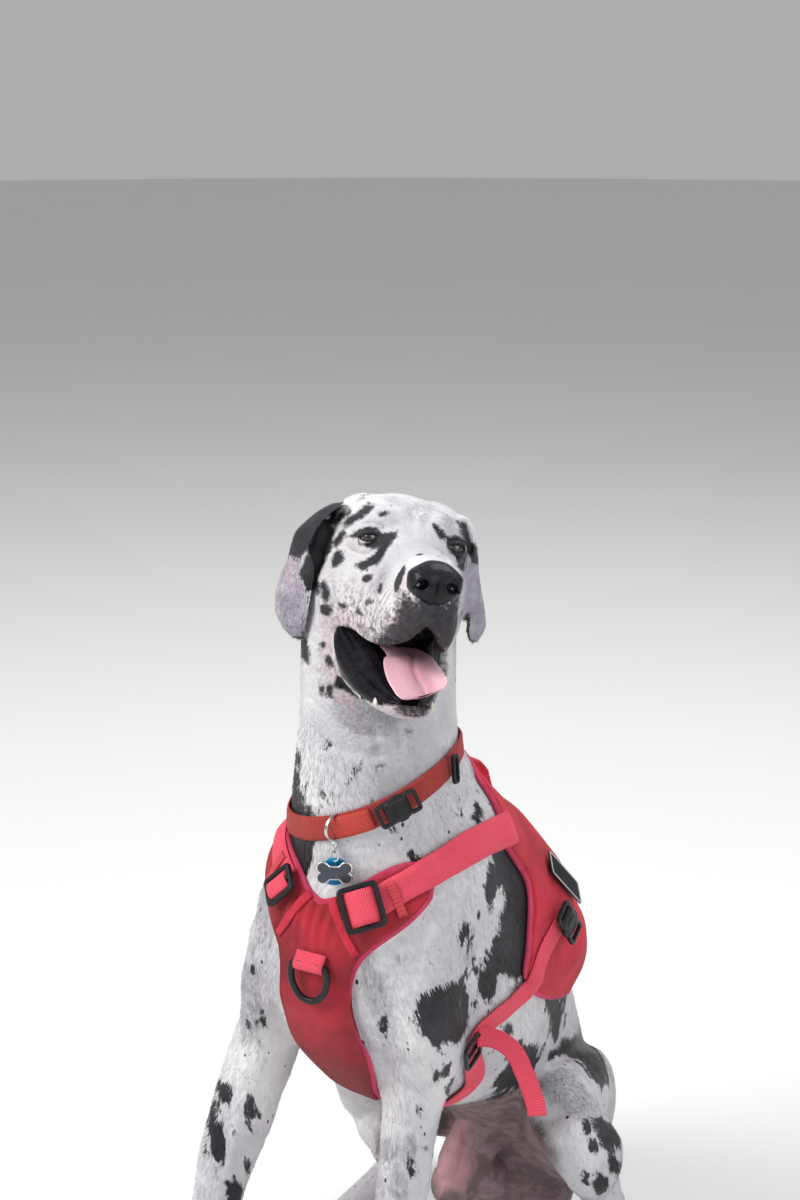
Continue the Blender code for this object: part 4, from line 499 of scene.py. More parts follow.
    def trace(self, tree: BVHTree, spots: Sequence[tuple[float, float]]) -> Array:
        """The line on the skin that is seen through spots of the photograph's frame."""
        dense = resample(np.array(spots, float), 4 * len(spots))
        found = [tree.ray_cast(Vector(self.view.eye), Vector(self.view.ray(s)))[0] for s in dense]
        return np.array([f for f in found if f is not None], float)

    def shape(self) -> None:
        """Warp the skull, fill behind the cheeks, then press folds and raise muscles.

        A furrow moves the skin in by depth times exp(-(distance / width) squared) of a
        traced line, and a swelling moves it out round a point in the same way.
        """
        points = read_points(self.obj)
        local = self.place.to_head(points)
        crown = smooth_step(local[:, 2], 0.022, 0.075) * smooth_step(local[:, 1], -0.09, -0.02)
        local[:, 0] -= 0.0075 * crown
        for move, spot, reach in self.warps:
            gap = np.linalg.norm((local - np.array(spot)) / np.array(reach), axis=1)
            local[:, 0] += move * np.exp(-gap ** 2)
        hung = smooth_step(-local[:, 0], 0.097, 0.106) * smooth_step(-local[:, 2], -0.005, 0.035)
        hung = hung * smooth_step(local[:, 2], -0.16, -0.13)
        local[:, 0] += hung * (0.004 + 0.38 * np.clip(local[:, 0] + 0.137, 0.0, 0.04))
        for x, y in ((0.0275, -0.101), (0.030, -0.079), (0.0335, -0.063)):
            near = np.hypot(np.abs(local[:, 0]) - x, local[:, 1] - y) < 0.0085
            lower = near & (local[:, 2] > -0.150) & (local[:, 2] < -0.112)
            local[:, 2] = np.where(lower, -0.150 + 0.05 * (local[:, 2] + 0.150), local[:, 2])
        points = self.place.on_head(local)
        write_points(self.obj, points)
        normals = read_normals(self.obj)
        tree = tree_of(self.obj)
        push = np.zeros(len(points))
        for depth, width, spots in self.furrows:
            line = self.trace(tree, spots)
            if len(line) > 1:
                gap, along = line_distance(points, line)
                ends = smooth_step(along, 0.0, 0.12) * (1.0 - smooth_step(along, 0.88, 1.0))
                push -= depth * np.exp(-(gap / width) ** 2) * ends
        for lift, reach, spot in self.swellings:
            near = np.linalg.norm((local - np.array(spot)) / reach, axis=1)
            push += lift * np.exp(-near ** 2)
        for lift, reach, spot in self.muscles:
            near = np.linalg.norm((points - self.place.body(spot)) / np.array(reach), axis=1)
            push += lift * np.exp(-near ** 2)
        raw = points - self.place.shift
        gentle = 0.0011 * value_noise(raw * [1.0, 1.0, 0.5], 26.0, 3) + 0.0006 * value_noise(raw, 60.0, 5)
        push += gentle * (1.0 - self.head_share(points)) * smooth_step(raw[:, 2], 0.05, 0.12)
        write_points(self.obj, points + normals * push[:, None])

    def fuse(self, nodes: dict[str, bpy.types.Object]) -> None:
        """Join swollen copies of the flesh nodes and remesh them as one surface."""
        join = bmesh.new()
        for name in FLESH_NODES:
            part = bmesh.new()
            part.from_mesh(nodes[name].data)
            bmesh.ops.remove_doubles(part, verts=part.verts, dist=1e-5)
            part.normal_update()
            mesh = bpy.data.meshes.new("copy")
            part.to_mesh(mesh)
            part.free()
            place = np.zeros(len(mesh.vertices) * 3)
            way = np.zeros(len(mesh.vertices) * 3, np.float32)
            mesh.vertices.foreach_get("co", place)
            mesh.vertex_normals.foreach_get("vector", way)
            mesh.vertices.foreach_set("co", place + way * self.swell)
            join.from_mesh(mesh)
            bpy.data.meshes.remove(mesh)
        for spot, reach in self.fills:
            turn = np.eye(4)
            turn[:3, :3] = self.place.head.matrix() * np.array(reach)
            turn[:3, 3] = self.place.on_head(np.array([spot]))[0]
            bmesh.ops.create_icosphere(join, subdivisions=3, radius=1.0, matrix=Matrix(turn.tolist()))
        for spot, far, size in self.seen_fills:
            middle = Vector(self.view.eye + np.array(self.view.ray(spot)) * far)
            bmesh.ops.create_icosphere(join, subdivisions=3, radius=size, matrix=Matrix.Translation(middle))
        mesh = bpy.data.meshes.new("skin")
        join.to_mesh(mesh)
        join.free()
        self.obj = bpy.data.objects.new("skin", mesh)
        bpy.context.scene.collection.objects.link(self.obj)
        remesh = self.obj.modifiers.new("fuse", "REMESH")
        remesh.mode = "VOXEL"
        remesh.voxel_size = self.voxel
        settle_modifiers(self.obj)
        self.keep_outer()

    def keep_outer(self) -> None:
        """Drop closed scraps: keep the largest connected shell."""
        edges = edge_pairs(self.obj)
        label = np.arange(len(self.obj.data.vertices))
        while True:
            low = np.minimum(label[edges[:, 0]], label[edges[:, 1]])
            new = label.copy()
            np.minimum.at(new, edges[:, 0], low)
            np.minimum.at(new, edges[:, 1], low)
            new = new[new]
            new = new[new]
            if np.array_equal(new, label):
                break
            label = new
        names, counts = np.unique(label, return_counts=True)
        main = names[np.argmax(counts)]
        if len(names) > 1:
            bm = bmesh.new()
            bm.from_mesh(self.obj.data)
            bm.verts.ensure_lookup_table()
            drop = [bm.verts[int(i)] for i in np.nonzero(label != main)[0]]
            bmesh.ops.delete(bm, geom=drop, context="VERTS")
            bm.to_mesh(self.obj.data)
            bm.free()
        LOG.info("skin shells %d, kept %d vertices", len(names), counts.max())

    def head_share(self, points: Array) -> Array:
        """1 on the head and ears, 0 on the body, easing along the upper neck."""
        local = self.place.to_head(points)
        return smooth_step(local[:, 2] - 0.9 * local[:, 1], -0.260, -0.215)

    def mouth_share(self, points: Array) -> Array:
        """1 near the mouth and the lids, where little easing is wanted."""
        local = self.place.to_head(points)
        mouth = smooth_step(-local[:, 1], -0.040, -0.010) * smooth_step(local[:, 2], -0.180, -0.165)
        mouth = mouth * smooth_step(-local[:, 2], 0.060, 0.080)
        return mouth

    def ease(self) -> None:
        """Ease away the facets: much on the body, little on the head."""
        points = read_points(self.obj)
        edges = edge_pairs(self.obj)
        head = self.head_share(points)
        ones = np.ones(len(points))
        points = relax(points, edges, ones, 2, False)
        points = relax(points, edges, ones * (1.0 - 0.6 * self.mouth_share(points)), self.head_rounds)
        points = relax(points, edges, 1.0 - head, self.body_rounds, False)
        write_points(self.obj, points)

    def thin(self) -> None:
        """Thin the body's faces, keep the head's."""
        head = self.head_share(read_points(self.obj))
        group = self.obj.vertex_groups.new(name="body")
        body = np.nonzero(head < 0.5)[0]
        group.add(body.tolist(), 1.0, "REPLACE")
        head_tris = 2 * int((head >= 0.5).sum())
        total = 2 * len(head)
        modifier = self.obj.modifiers.new("thin", "DECIMATE")
        modifier.vertex_group = "body"
        modifier.ratio = min(1.0, (head_tris + self.body_faces) / total)
        settle_modifiers(self.obj)
        self.obj.vertex_groups.clear()
        LOG.info("skin %d vertices, %d faces", len(self.obj.data.vertices), len(self.obj.data.polygons))


class Shader:
    """Small helper that strings shader nodes together."""

    def __init__(self, name: str) -> None:
        """Start a material with a Principled shader."""
        self.material = bpy.data.materials.new(name)
        self.material.use_nodes = True
        self.tree = self.material.node_tree
        self.surface = self.tree.nodes["Principled BSDF"]

    def node(self, kind: str, **settings: object) -> bpy.types.Node:
        """Add a node and set its plain properties."""
        made = self.tree.nodes.new(kind)
        for key, value in settings.items():
            setattr(made, key, value)
        return made

    def link(self, source: bpy.types.NodeSocket, target: bpy.types.NodeSocket) -> None:
        """Join two sockets."""
        self.tree.links.new(source, target)

    def feed(self, socket: bpy.types.NodeSocket, value: object) -> None:
        """Set a socket to a number or colour, or link a socket to it."""
        if isinstance(value, bpy.types.NodeSocket):
            self.link(value, socket)
        elif isinstance(value, (tuple, list)) and len(value) == 3 and socket.type == "RGBA":
            socket.default_value = (*value, 1.0)
        else:
            socket.default_value = value

    def coordinates(self, kind: str = "Object") -> bpy.types.NodeSocket:
        """Coordinates of the object, or of its UV map."""
        return self.node("ShaderNodeTexCoord").outputs[kind]

    def stretch(self, source: bpy.types.NodeSocket, scale: Sequence[float],
                turn: Sequence[float] = (0.0, 0.0, 0.0)) -> bpy.types.NodeSocket:
        """Scale and turn coordinates; angles in degrees."""
        mapping = self.node("ShaderNodeMapping")
        mapping.inputs["Scale"].default_value = scale
        mapping.inputs["Rotation"].default_value = [math.radians(a) for a in turn]
        self.link(source, mapping.inputs["Vector"])
        return mapping.outputs["Vector"]

    def noise(self, source: bpy.types.NodeSocket, scale: float, detail: float = 3.0,
              rough: float = 0.55) -> bpy.types.NodeSocket:
        """Fractal noise from 0 to 1."""
        made = self.node("ShaderNodeTexNoise")
        made.inputs["Scale"].default_value = scale
        made.inputs["Detail"].default_value = detail
        made.inputs["Roughness"].default_value = rough
        self.link(source, made.inputs["Vector"])
        return made.outputs["Fac"]

    def cells(self, source: bpy.types.NodeSocket, scale: float, out: str = "Distance",
              random: float = 1.0) -> bpy.types.NodeSocket:
        """Cellular pattern: distance to the nearest of scattered points, or its colour."""
        made = self.node("ShaderNodeTexVoronoi")
        made.inputs["Scale"].default_value = scale
        made.inputs["Randomness"].default_value = random
        self.link(source, made.inputs["Vector"])
        return made.outputs[out]

    def attribute(self, name: str, out: str = "Fac") -> bpy.types.NodeSocket:
        """A field kept on the mesh."""
        return self.node("ShaderNodeAttribute", attribute_name=name).outputs[out]

    def math(self, how: str, a: object, b: object = 0.0, c: object = 0.0,
             clamp: bool = False) -> bpy.types.NodeSocket:
        """Arithmetic on one to three values."""
        made = self.node("ShaderNodeMath", operation=how, use_clamp=clamp)
        for socket, value in zip(made.inputs, (a, b, c)):
            self.feed(socket, value)
        return made.outputs[0]

    def rise(self, value: object, low: float, high: float, start: float = 0.0,
             end: float = 1.0) -> bpy.types.NodeSocket:
        """Ease a value from start to end as it goes from low to high."""
        made = self.node("ShaderNodeMapRange", interpolation_type="SMOOTHSTEP")
        for socket, item in zip(made.inputs, (value, low, high, start, end)):
            self.feed(socket, item)
        return made.outputs["Result"]

    def mix(self, share: object, a: object, b: object, how: str = "MIX") -> bpy.types.NodeSocket:
        """Blend two colours."""
        made = self.node("ShaderNodeMix", data_type="RGBA", blend_type=how)
        self.feed(made.inputs["Factor"], share)
        colour_a, colour_b = made.inputs[6], made.inputs[7]
        self.feed(colour_a, a)
        self.feed(colour_b, b)
        return made.outputs[2]

    def bump(self, height: bpy.types.NodeSocket, distance: float, strength: float = 1.0,
             under: bpy.types.NodeSocket | None = None) -> bpy.types.NodeSocket:
        """Relief from a height field, on top of another relief if given."""
        made = self.node("ShaderNodeBump")
        made.inputs["Strength"].default_value = strength
        made.inputs["Distance"].default_value = distance
        self.link(height, made.inputs["Height"])
        if under is not None:
            self.link(under, made.inputs["Normal"])
        return made.outputs["Normal"]

    def dress(self, **sockets: object) -> bpy.types.Material:
        """Set the shader's own sockets by name, with _ for a space, and return the material."""
        for key, value in sockets.items():
            self.feed(self.surface.inputs[key.replace("_", " ")], value)
        return self.material


@dataclass
class Studio:
    """Plain pale floor, soft lights and an even pale surround."""

    view: Viewpoint
    floor_tone: tuple[float, float, float] = (0.80, 0.80, 0.79)
    floor_radius: float = 26.0
    surround: float = 0.44

    def floor(self) -> None:
        """A round floor at z = 0."""
        angle = np.linspace(0.0, 2.0 * np.pi, 97)[:-1]
        rim = np.stack([np.cos(angle), np.sin(angle), np.zeros(96)], axis=1) * self.floor_radius
        rim = rim + np.array([-1.5, 2.5, 0.0])
        floor = mesh_object("floor", rim, [list(range(96))], False)
        shade = Shader("floor")
        grain = shade.noise(shade.coordinates(), 2.0, 2.0)
        low = tuple(0.97 * c for c in self.floor_tone)
        tone = shade.mix(grain, low, self.floor_tone)
        floor.data.materials.append(shade.dress(Base_Color=tone, Roughness=0.85))

    def lamp(self, name: str, spot: Sequence[float], aim: Sequence[float], size: float,
             power: float, tint: Sequence[float]) -> None:
        """One square soft light aimed at a point."""
        data = bpy.data.lights.new(name, "AREA")
        data.size = size
        data.energy = power
        data.color = tint
        lamp = bpy.data.objects.new(name, data)
        lamp.location = spot
        way = Vector(aim) - Vector(spot)
        lamp.rotation_euler = way.to_track_quat("-Z", "Y").to_euler()
        bpy.context.scene.collection.objects.link(lamp)

    def build(self) -> None:
        """Floor, lights and surround."""
        self.floor()
        self.lamp("key", (-1.9, -2.6, 3.4), (0.0, -0.1, 0.6), 2.2, 172.0, (1.0, 0.99, 0.97))
        self.lamp("fill", (3.4, -1.6, 2.2), (0.0, 0.0, 0.6), 2.6, 52.0, (0.96, 0.98, 1.0))
        self.lamp("top", (0.6, 1.6, 3.8), (0.0, 0.1, 0.6), 2.4, 78.0, (1.0, 1.0, 1.0))
        world = bpy.data.worlds.new("surround")
        world.use_nodes = True
        sky = world.node_tree.nodes["Background"]
        sky.inputs["Color"].default_value = (0.93, 0.95, 0.97, 1.0)
        sky.inputs["Strength"].default_value = self.surround
        bpy.context.scene.world = world
        bpy.context.scene.view_settings.view_transform = "Standard"
        self.view.camera()


@dataclass(frozen=True)
class Blots:
    """Where the dog's patches are, in spots of the photograph's frame: (x, y, half long, half wide, turn); a few grey
    and black blots are painted shade and shadow.
    """

    black: tuple = (
        (360, 514, 16, 6, -39), (350, 512, 6, 2.8, -40), (340, 517, 8, 2.8, -50), (359.5, 500, 7, 1.8, -35),
        # (322, 532) and (326, 523) darken the gap behind the right ear base: part black patch, part painted shadow.
        (322, 532, 13, 11, 0), (326, 523, 9, 5, 0), (371, 545, 12, 3.2, 6), (383, 514, 6, 3, -25), (439, 531, 8, 2.8, 52), (337, 560, 10, 5.2, -66), (326, 589, 12.5, 5, 78),
        (317, 583, 8, 3.2, 80), (327, 610, 6.5, 5.5, 40), (340, 538, 7, 3.2, -70), (367, 578, 4.5, 3, -30),
        (379.5, 590, 4, 1.9, -75), (370, 602, 3.8, 2.6, -10), (358.7, 612, 4.8, 2.6, 32), (343, 605.5, 3, 2, 10),
        (358, 626, 4, 2.4, 30), (366, 632, 4, 2.2, 40), (374, 629, 4.5, 2.4, 55), (392, 632, 5, 3, 60),
        (323, 644, 6, 4, 80), (329.7, 660, 6, 3, 70), (322, 690, 4, 2.2, 90), (330.5, 690, 3.5, 1.8, 80),
        # (305, 650) and (300, 700) run down the neck's right edge: part black patch, part painted shadow.
        (407.6, 731, 5, 3.6, -20), (403, 735, 4, 2, -40), (305, 650, 16, 5, 88), (300, 700, 40, 2.6, 92),
        (347, 778, 14, 2.2, -48), (327, 744, 4, 3, 0), (380, 763, 3.4, 1.6, -30), (476, 770, 15, 4.5, 42),
        (456, 810, 8.5, 4.2, 80), (476, 813, 7.5, 5, 80), (412, 854, 4, 3, 60), (390, 825, 4, 3, 60),
        (464.6, 932, 8.5, 4, 85), (432, 968, 9.5, 4.2, 80), (382, 999, 6.5, 2.8, 88), (381.6, 1023, 6.5, 3, 88),
        (381, 1082, 5, 2.8, 85), (435, 1074, 5.5, 2, 80), (448.5, 1074, 6.5, 3.2, 85), (447, 1091, 3.4, 3, 0),
        (417.7, 1106, 4.4, 2, 85), (423.5, 1145, 3, 3, 0), (412, 1165, 9, 6, 80), (473, 992, 13, 1.9, 87),
        (579, 1012, 15, 5, 80), (504, 1029, 6, 3.4, 10), (614, 1165, 11, 6, 75), (602, 1187, 17, 9, 65),
        (585, 1174, 6, 4.5, 60), (591, 1146, 6, 3, 60), (234, 1190, 16, 8, 70), (250.5, 1105, 9, 4, 80),
        (247.6, 1121, 5, 3, 80), (247.6, 1168, 5.5, 2.4, 85), (231, 1127, 5, 4, 0), (263.7, 1017, 4.4, 2, 88),
        (262, 1040, 2.4, 2.2, 0), (331, 1086, 15, 3.6, 85), (362, 1146, 11, 8, 60), (345, 1118, 9, 5, 70),
        (216, 1132, 36, 9, 84), (224, 1092, 9, 4, 70), (240, 967, 3, 2, 60), (296, 1000, 4, 2, 70),
    )
    grey: tuple = (
        (417.5, 507, 9, 4, 0), (410, 515.5, 5, 3, 60), (429, 509, 4, 3, 0), (428, 516, 6, 3, -60),
        (422.5, 521.5, 5, 2.4, 70), (448, 520, 8, 5, 70), (393.5, 501.6, 5, 1.8, 20), (382, 578, 10, 3.2, -62),
        (384, 617.6, 4, 3, 0), (283, 603, 12, 7, 80), (293, 628, 11, 7, 10), (476, 613, 7, 6, 0),
        # The blots at (364, 722) and (368, 712) are painted shade under the chin, not grey hair.
        (468, 640, 14, 4, -5), (339.6, 712, 7, 3.4, 80), (376.6, 747, 8, 5, -40), (364, 722, 26, 12, 10), (368, 712, 34, 18, 12),
        (438, 812, 4, 2.6, 80), (400, 957, 4, 3, 0), (372, 957, 6, 3.4, 80), (401.5, 1062, 5, 3.4, 80),
        (398, 1180, 18, 7, 85), (394, 1150, 16, 11, 0), (411, 1146, 10, 9, 0), (394, 1148, 9, 5, 10), (376, 985, 26, 10, 80), (268, 900, 40, 14, 80), (490, 1100, 30, 12, -20),
        (570, 1095, 40, 16, 40), (262, 1150, 40, 10, 85), (250, 1000, 50, 12, 85), (470, 960, 7, 3, 80),
    )
    pink: tuple = (
        (353, 545, 8, 4, 20), (404, 584, 5, 9, 10), (398, 626, 16, 12, 0), (330, 640, 24, 8, 80),
        (350, 622, 26, 8, 18), (343, 690, 26, 7, 62), (290, 570, 16, 6, 80), (410, 714, 26, 9, -4), (405, 706, 24, 6, -4),
    )
    black_shapes: tuple = (
        ((357, 530), (366, 525.6), (376, 525.6), (384, 531), (398.4, 529.7), (399.3, 536.4), (395, 542),
         (387.7, 550.5), (382, 559.6), (374.4, 567), (362.8, 570.4), (356, 565.4), (366, 559.6),
         (374.4, 554.6), (380, 547), (374, 544), (366, 542.3), (358, 539), (348, 537.2)),
        ((447, 538), (459, 536.4), (466.5, 543), (467.3, 559.6), (462.3, 569.5), (457.3, 563), (452, 555),
         (447.4, 548)),
        ((326, 531), (333, 535), (331, 551), (324, 558), (320.5, 573), (316, 573), (315, 563), (315, 550),
         (319, 541)),
        ((343, 500), (333, 500), (321, 502), (302, 515), (289, 541), (286, 555), (301.5, 560), (305, 553),
         (314.7, 535), (326.3, 528), (333, 521.5), (339.6, 511.5)),
        # This outline behind the right ear base is part black patch, part painted shadow.
        ((314, 536), (326, 532), (326, 560), (318, 575), (316, 590), (306, 590), (300, 575), (302, 560)),
        ((290, 738), (301, 738), (302, 769), (304, 799), (306, 824), (280, 824), (280, 769)),
        ((285, 795), (270, 834), (272, 848), (288.7, 868), (301, 886), (309, 864), (316, 844), (321, 829),
         (300.4, 822)),
        ((463, 972), (466, 992), (469, 1015.6), (461.6, 1033), (447, 1045), (439.6, 1058), (432.3, 1051),
         (423.5, 1039), (410.3, 1030), (409, 1018.6), (417.7, 1012.7), (417.7, 998), (429.4, 989), (444, 980)),
        ((495.4, 850), (504, 846), (519, 863), (527.7, 878), (532, 904), (532, 945), (526, 975), (513, 995),
         (511.5, 983), (511.5, 974.6), (499.8, 971.6), (491, 998), (485, 998), (479, 980.5), (485, 957),
         (494, 933.5), (498, 916), (506, 900), (500, 885), (494, 905), (486, 913), (483.7, 892.5), (488, 872)),
        ((545, 996), (566, 990), (563, 1021.5), (555.5, 1045), (546.7, 1027.4)),
        ((514.5, 1039), (540.9, 1045), (535, 1065.5), (526, 1086), (511.5, 1092), (491, 1098), (494, 1080),
         (502.7, 1065.5), (505.7, 1051)),
        ((548, 1051), (561.4, 1037), (583, 1036), (597, 1048), (606, 1065), (612, 1090), (594, 1080),
         (576, 1062), (561.4, 1056), (546.7, 1060)),
        ((595, 1118), (614, 1120), (622, 1133), (616, 1150.6), (604, 1159), (599.5, 1139)),
        ((457, 520), (466, 522), (480, 560), (480, 566), (472, 562), (464, 545)),
    )
    muzzle_shape: tuple = (
        (405, 596), (413, 606), (426, 611), (444, 609), (456, 600), (458, 629), (455, 650), (446, 658),
        (438, 646), (436, 629), (429, 624), (419, 634), (409, 644), (399, 648), (384, 650), (378, 643),
        (392, 632), (400, 616),
    )
    sheath_shape: tuple = ((452, 1122), (468, 1124), (466, 1150), (470, 1168), (462, 1188), (440, 1190), (432, 1174), (444, 1148))
    ear_shapes: tuple = (
        ((290, 552), (303, 556), (305, 580), (304, 640), (270, 642), (268, 600), (278, 570)),
        ((461, 558), (478, 556), (492, 600), (492, 645), (462, 648), (460, 600)),
    )
    mouth_shape: tuple = (
        (334, 634), (341, 629), (353, 629), (366, 640), (377, 649), (386, 649), (399, 647.5), (409, 644),
        (419, 634), (429, 624), (436, 629), (438, 646), (443, 656), (443.5, 667), (443, 699), (434, 700),
        (424, 704), (406, 706), (376, 704), (366, 696), (353, 689), (341, 676), (336, 659),
    )
    groin_shape: tuple = (
        (444, 1112), (480, 1116), (525, 1110), (543, 1121), (556, 1150), (566, 1215), (540, 1260), (400, 1260),
        (429, 1165),
    )


@dataclass
class Markings:
    """Works out the fields of black, grey and pink over the skin from the blots and seeded patches."""

    place: Place
    view: Viewpoint
    blots: Blots = field(default_factory=Blots)
    wrap: float = 0.030
    far_patches: int = 74
    limit: float = 0.03
    tree: BVHTree | None = None
    far: list = field(default_factory=list)
    far_grey: list = field(default_factory=list)

    def depth_at(self, spot: Sequence[float]) -> float:
        """How far along the view the skin is at a spot of the frame; 0 where there is none."""
        ahead = self.view.axes()[2]
        hit = self.tree.ray_cast(Vector(self.view.eye), Vector(self.view.ray(spot)))
        return float((np.array(hit[0]) - self.view.eye) @ ahead) if hit[0] is not None else 0.0

    def gather(self, spots: Array, depth: Array, items: Iterable[tuple], wrap: float) -> Array:
        """Signed distance, in metres and positive inside, to the nearest of the blots.

        A blot is an ellipse seen from the photograph's place; it ends where the skin goes
        further than wrap behind or before the spot it was seen at.

        Args:
            spots: where the points are seen.
            depth: their distances along the view.
            items: (x, y, half long, half wide, turn in degrees).
            wrap: reach along the view, metres.

        Returns:
            One distance per point.
        """
        best = np.full(len(spots), -self.limit)
        for x, y, long, wide, turn in items:
            at = self.depth_at((x, y))
            if at == 0.0:
                continue
            a = math.radians(turn)
            rel = spots - np.array([x, y])
            u = rel @ np.array([math.cos(a), math.sin(a)])
            v = rel @ np.array([-math.sin(a), math.cos(a)])
            ring = 1.0 - np.hypot(u / long, v / wide)
            gap = ring * min(long, wide) * at / self.view.focus
            reach = max(wrap, 1.4 * long * at / self.view.focus)
            best = np.maximum(best, np.minimum(gap, reach - np.abs(depth - at)))
        return best

    def shapes(self, spots: Array, depth: Array, items: Iterable[tuple]) -> Array:
        """Signed distance in metres to the nearest of the drawn outlines."""
        best = np.full(len(spots), -self.limit)
        for shape in items:
            corners = np.array(shape, float)
            found = [self.depth_at(c) for c in np.vstack([corners, corners.mean(axis=0)[None]])]
            found = [d for d in found if d > 0.0]
            if not found:
                continue
            low, high = min(found), max(found)
            at = float(np.median(found))
            if high - low > 0.30:
                low, high = at - 0.12, at + 0.12
            gap = inside_distance(spots, shape) * at / self.view.focus
            reach = np.minimum(depth - low, high - depth) + self.wrap
            best = np.maximum(best, np.minimum(gap, reach))
        return best

    def scatter(self, points: Array, odds: Array, seed: int, count: int,
                sizes: tuple[float, float]) -> tuple[Array, Array, Array]:
        """Seeded torn patches for the side the photograph does not show.

        Each is three overlapping ellipsoids round a vertex, longer along the dog's back.

        Args:
            points: places of the skin.
            odds: 1 where a patch may start, else 0.
            seed: picks the patches.
            count: how many.
            sizes: smallest and largest half width, metres.

        Returns:
            Middles, half axes and sizes of the ellipsoids.
        """
        rng = np.random.default_rng(seed)
        taken = np.full(len(points), 1e9)
        middles, halves, widths = [], [], []
        for _ in range(count):
            weight = odds * np.clip(taken - sizes[0], 0.0, 0.16) ** 2
            pick = points[int(rng.choice(len(points), p=weight / weight.sum()))]
            taken = np.minimum(taken, np.linalg.norm(points - pick, axis=1))
            size = sizes[0] + (sizes[1] - sizes[0]) * rng.random() ** 1.8
            for _ in range(3):
                middles.append(pick + rng.normal(0.0, 0.55 * size, 3))
                halves.append(size * rng.uniform(0.6, 1.15) * np.array([1.0, 1.0, rng.uniform(1.1, 1.8)]))
                widths.append(size)
        return np.array(middles), np.array(halves), np.array(widths)

    def prepare(self, obj: bpy.types.Object) -> None:
        """Settle the unseen side's patches on the skin, once."""
        self.tree = tree_of(obj)
        points, normals = read_points(obj), read_normals(obj)
        hidden = self.unseen(points, normals, self.view.project(points)[0]) > 0.75
        high = (points[:, 2] - self.place.shift[2]) > 0.20
        self.far = [self.scatter(points, (hidden & high).astype(float), 11, self.far_patches, (0.010, 0.040)),
                    self.scatter(points, (hidden & ~high).astype(float), 23, 30, (0.005, 0.018))]
        self.far_grey = [self.scatter(points, hidden.astype(float), 41, 40, (0.012, 0.045))]

    def patches(self, points: Array, sets: Sequence[tuple[Array, Array, Array]]) -> Array:
        """Signed distance in metres to the nearest of the seeded ellipsoids."""
        best = np.full(len(points), -self.limit)
        for middles, halves, widths in sets:
            for middle, half, width in zip(middles, halves, widths):
                gap = (1.0 - np.linalg.norm((points - middle) / half, axis=1)) * width
                best = np.maximum(best, gap)
        return best

    def unseen(self, points: Array, normals: Array, spots: Array) -> Array:
        """1 where the photograph does not show the skin: it faces away or is outside the frame."""
        facing = np.sum(normals * unit(self.view.eye - points), axis=1)
        away = smooth_step(-facing, -0.10, 0.12)
        below = smooth_step(spots[:, 1], 1190.0, 1215.0)
        return np.maximum(away, below)

    def fields(self, points: Array, normals: Array) -> dict[Coat, Array]:
        """The fields at some points of the skin."""
        spots, depth = self.view.project(points)
        blots = self.blots
        hidden = self.unseen(points, normals, spots)
        raw = points - self.place.shift
        local = self.place.to_head(points)
        # The black blots include painted shadow behind the right ear base and down the neck's right edge.
        black = np.maximum(self.gather(spots, depth, blots.black, self.wrap),
                           self.shapes(spots, depth, blots.black_shapes))
        far = self.patches(points, self.far)
        black = np.maximum(black, np.where(hidden > 0.0, far - 0.03 * (1.0 - hidden), -self.limit))
        # The grey blots include painted shade under the chin.
        grey = self.gather(spots, depth, blots.grey, self.wrap)
        far = self.patches(points, self.far_grey)
        grey = np.maximum(grey, np.where(hidden > 0.0, far, -self.limit))
        pink = self.gather(spots, depth, blots.pink, 0.05)
        belly = np.minimum(self.shapes(spots, depth, (blots.groin_shape,)), self.limit)
        under = np.minimum(0.115 - np.abs(raw[:, 0]), 0.34 - raw[:, 2])
        under = np.minimum(under, np.minimum(raw[:, 1] - 0.10, 0.42 - raw[:, 1]))
        belly = np.maximum(belly, np.minimum(under, self.limit))
        muzzle = self.shapes(spots, depth, (blots.muzzle_shape,))
        muzzle = np.minimum(muzzle, -0.050 - local[:, 1])
        lips = np.minimum(0.012 - np.abs(local[:, 0]), np.minimum(-0.128 - local[:, 1], -0.045 - local[:, 2]))
        muzzle = np.maximum(muzzle, lips)
        mottle = smooth_step(-local[:, 1], -0.07, 0.025) * smooth_step(-local[:, 2], 0.015, 0.07)
        mottle = mottle * smooth_step(local[:, 2], -0.164, -0.138)
        mouth = self.shapes(spots, depth, (blots.mouth_shape,))
        other = self.place.on_head(local * np.array([-1.0, 1.0, 1.0]))
        mirrored, far_depth = self.view.project(other)
        mouth = np.maximum(mouth, self.shapes(mirrored, far_depth, (blots.mouth_shape,)))
        snout = smooth_step(-local[:, 1], -0.030, -0.022) * smooth_step(-local[:, 2], 0.070, 0.078)
        mouth = smooth_step(mouth, -0.0012, 0.0012) * snout
        cheek = smooth_step(local[:, 0], 0.024, 0.031) * smooth_step(-local[:, 2], 0.094, 0.102)
        mouth = mouth * (1.0 - cheek)
        inside = (0.036 - np.abs(local[:, 0]) > 0) & (local[:, 1] > -0.135) & (local[:, 1] < 0.03)
        depth_in = np.minimum(-0.082 - local[:, 2], local[:, 2] + 0.146)
        mouth = np.maximum(mouth, inside * smooth_step(depth_in, 0.0, 0.004))
        return {
            Coat.MOUTH: mouth,
            Coat.SHEATH: np.clip(self.shapes(spots, depth, (blots.sheath_shape,)), -self.limit, self.limit),
            Coat.LILAC: np.clip(self.shapes(spots, depth, blots.ear_shapes), -self.limit, self.limit),
            Coat.BLACK: np.clip(black, -self.limit, self.limit),
            Coat.GREY: np.clip(grey, -self.limit, self.limit),
            Coat.PINK: np.clip(pink, -self.limit, self.limit),
            Coat.BELLY: np.clip(belly, -self.limit, self.limit),
            Coat.MUZZLE: np.clip(muzzle, -self.limit, self.limit),
            Coat.MOTTLE: mottle,
        }


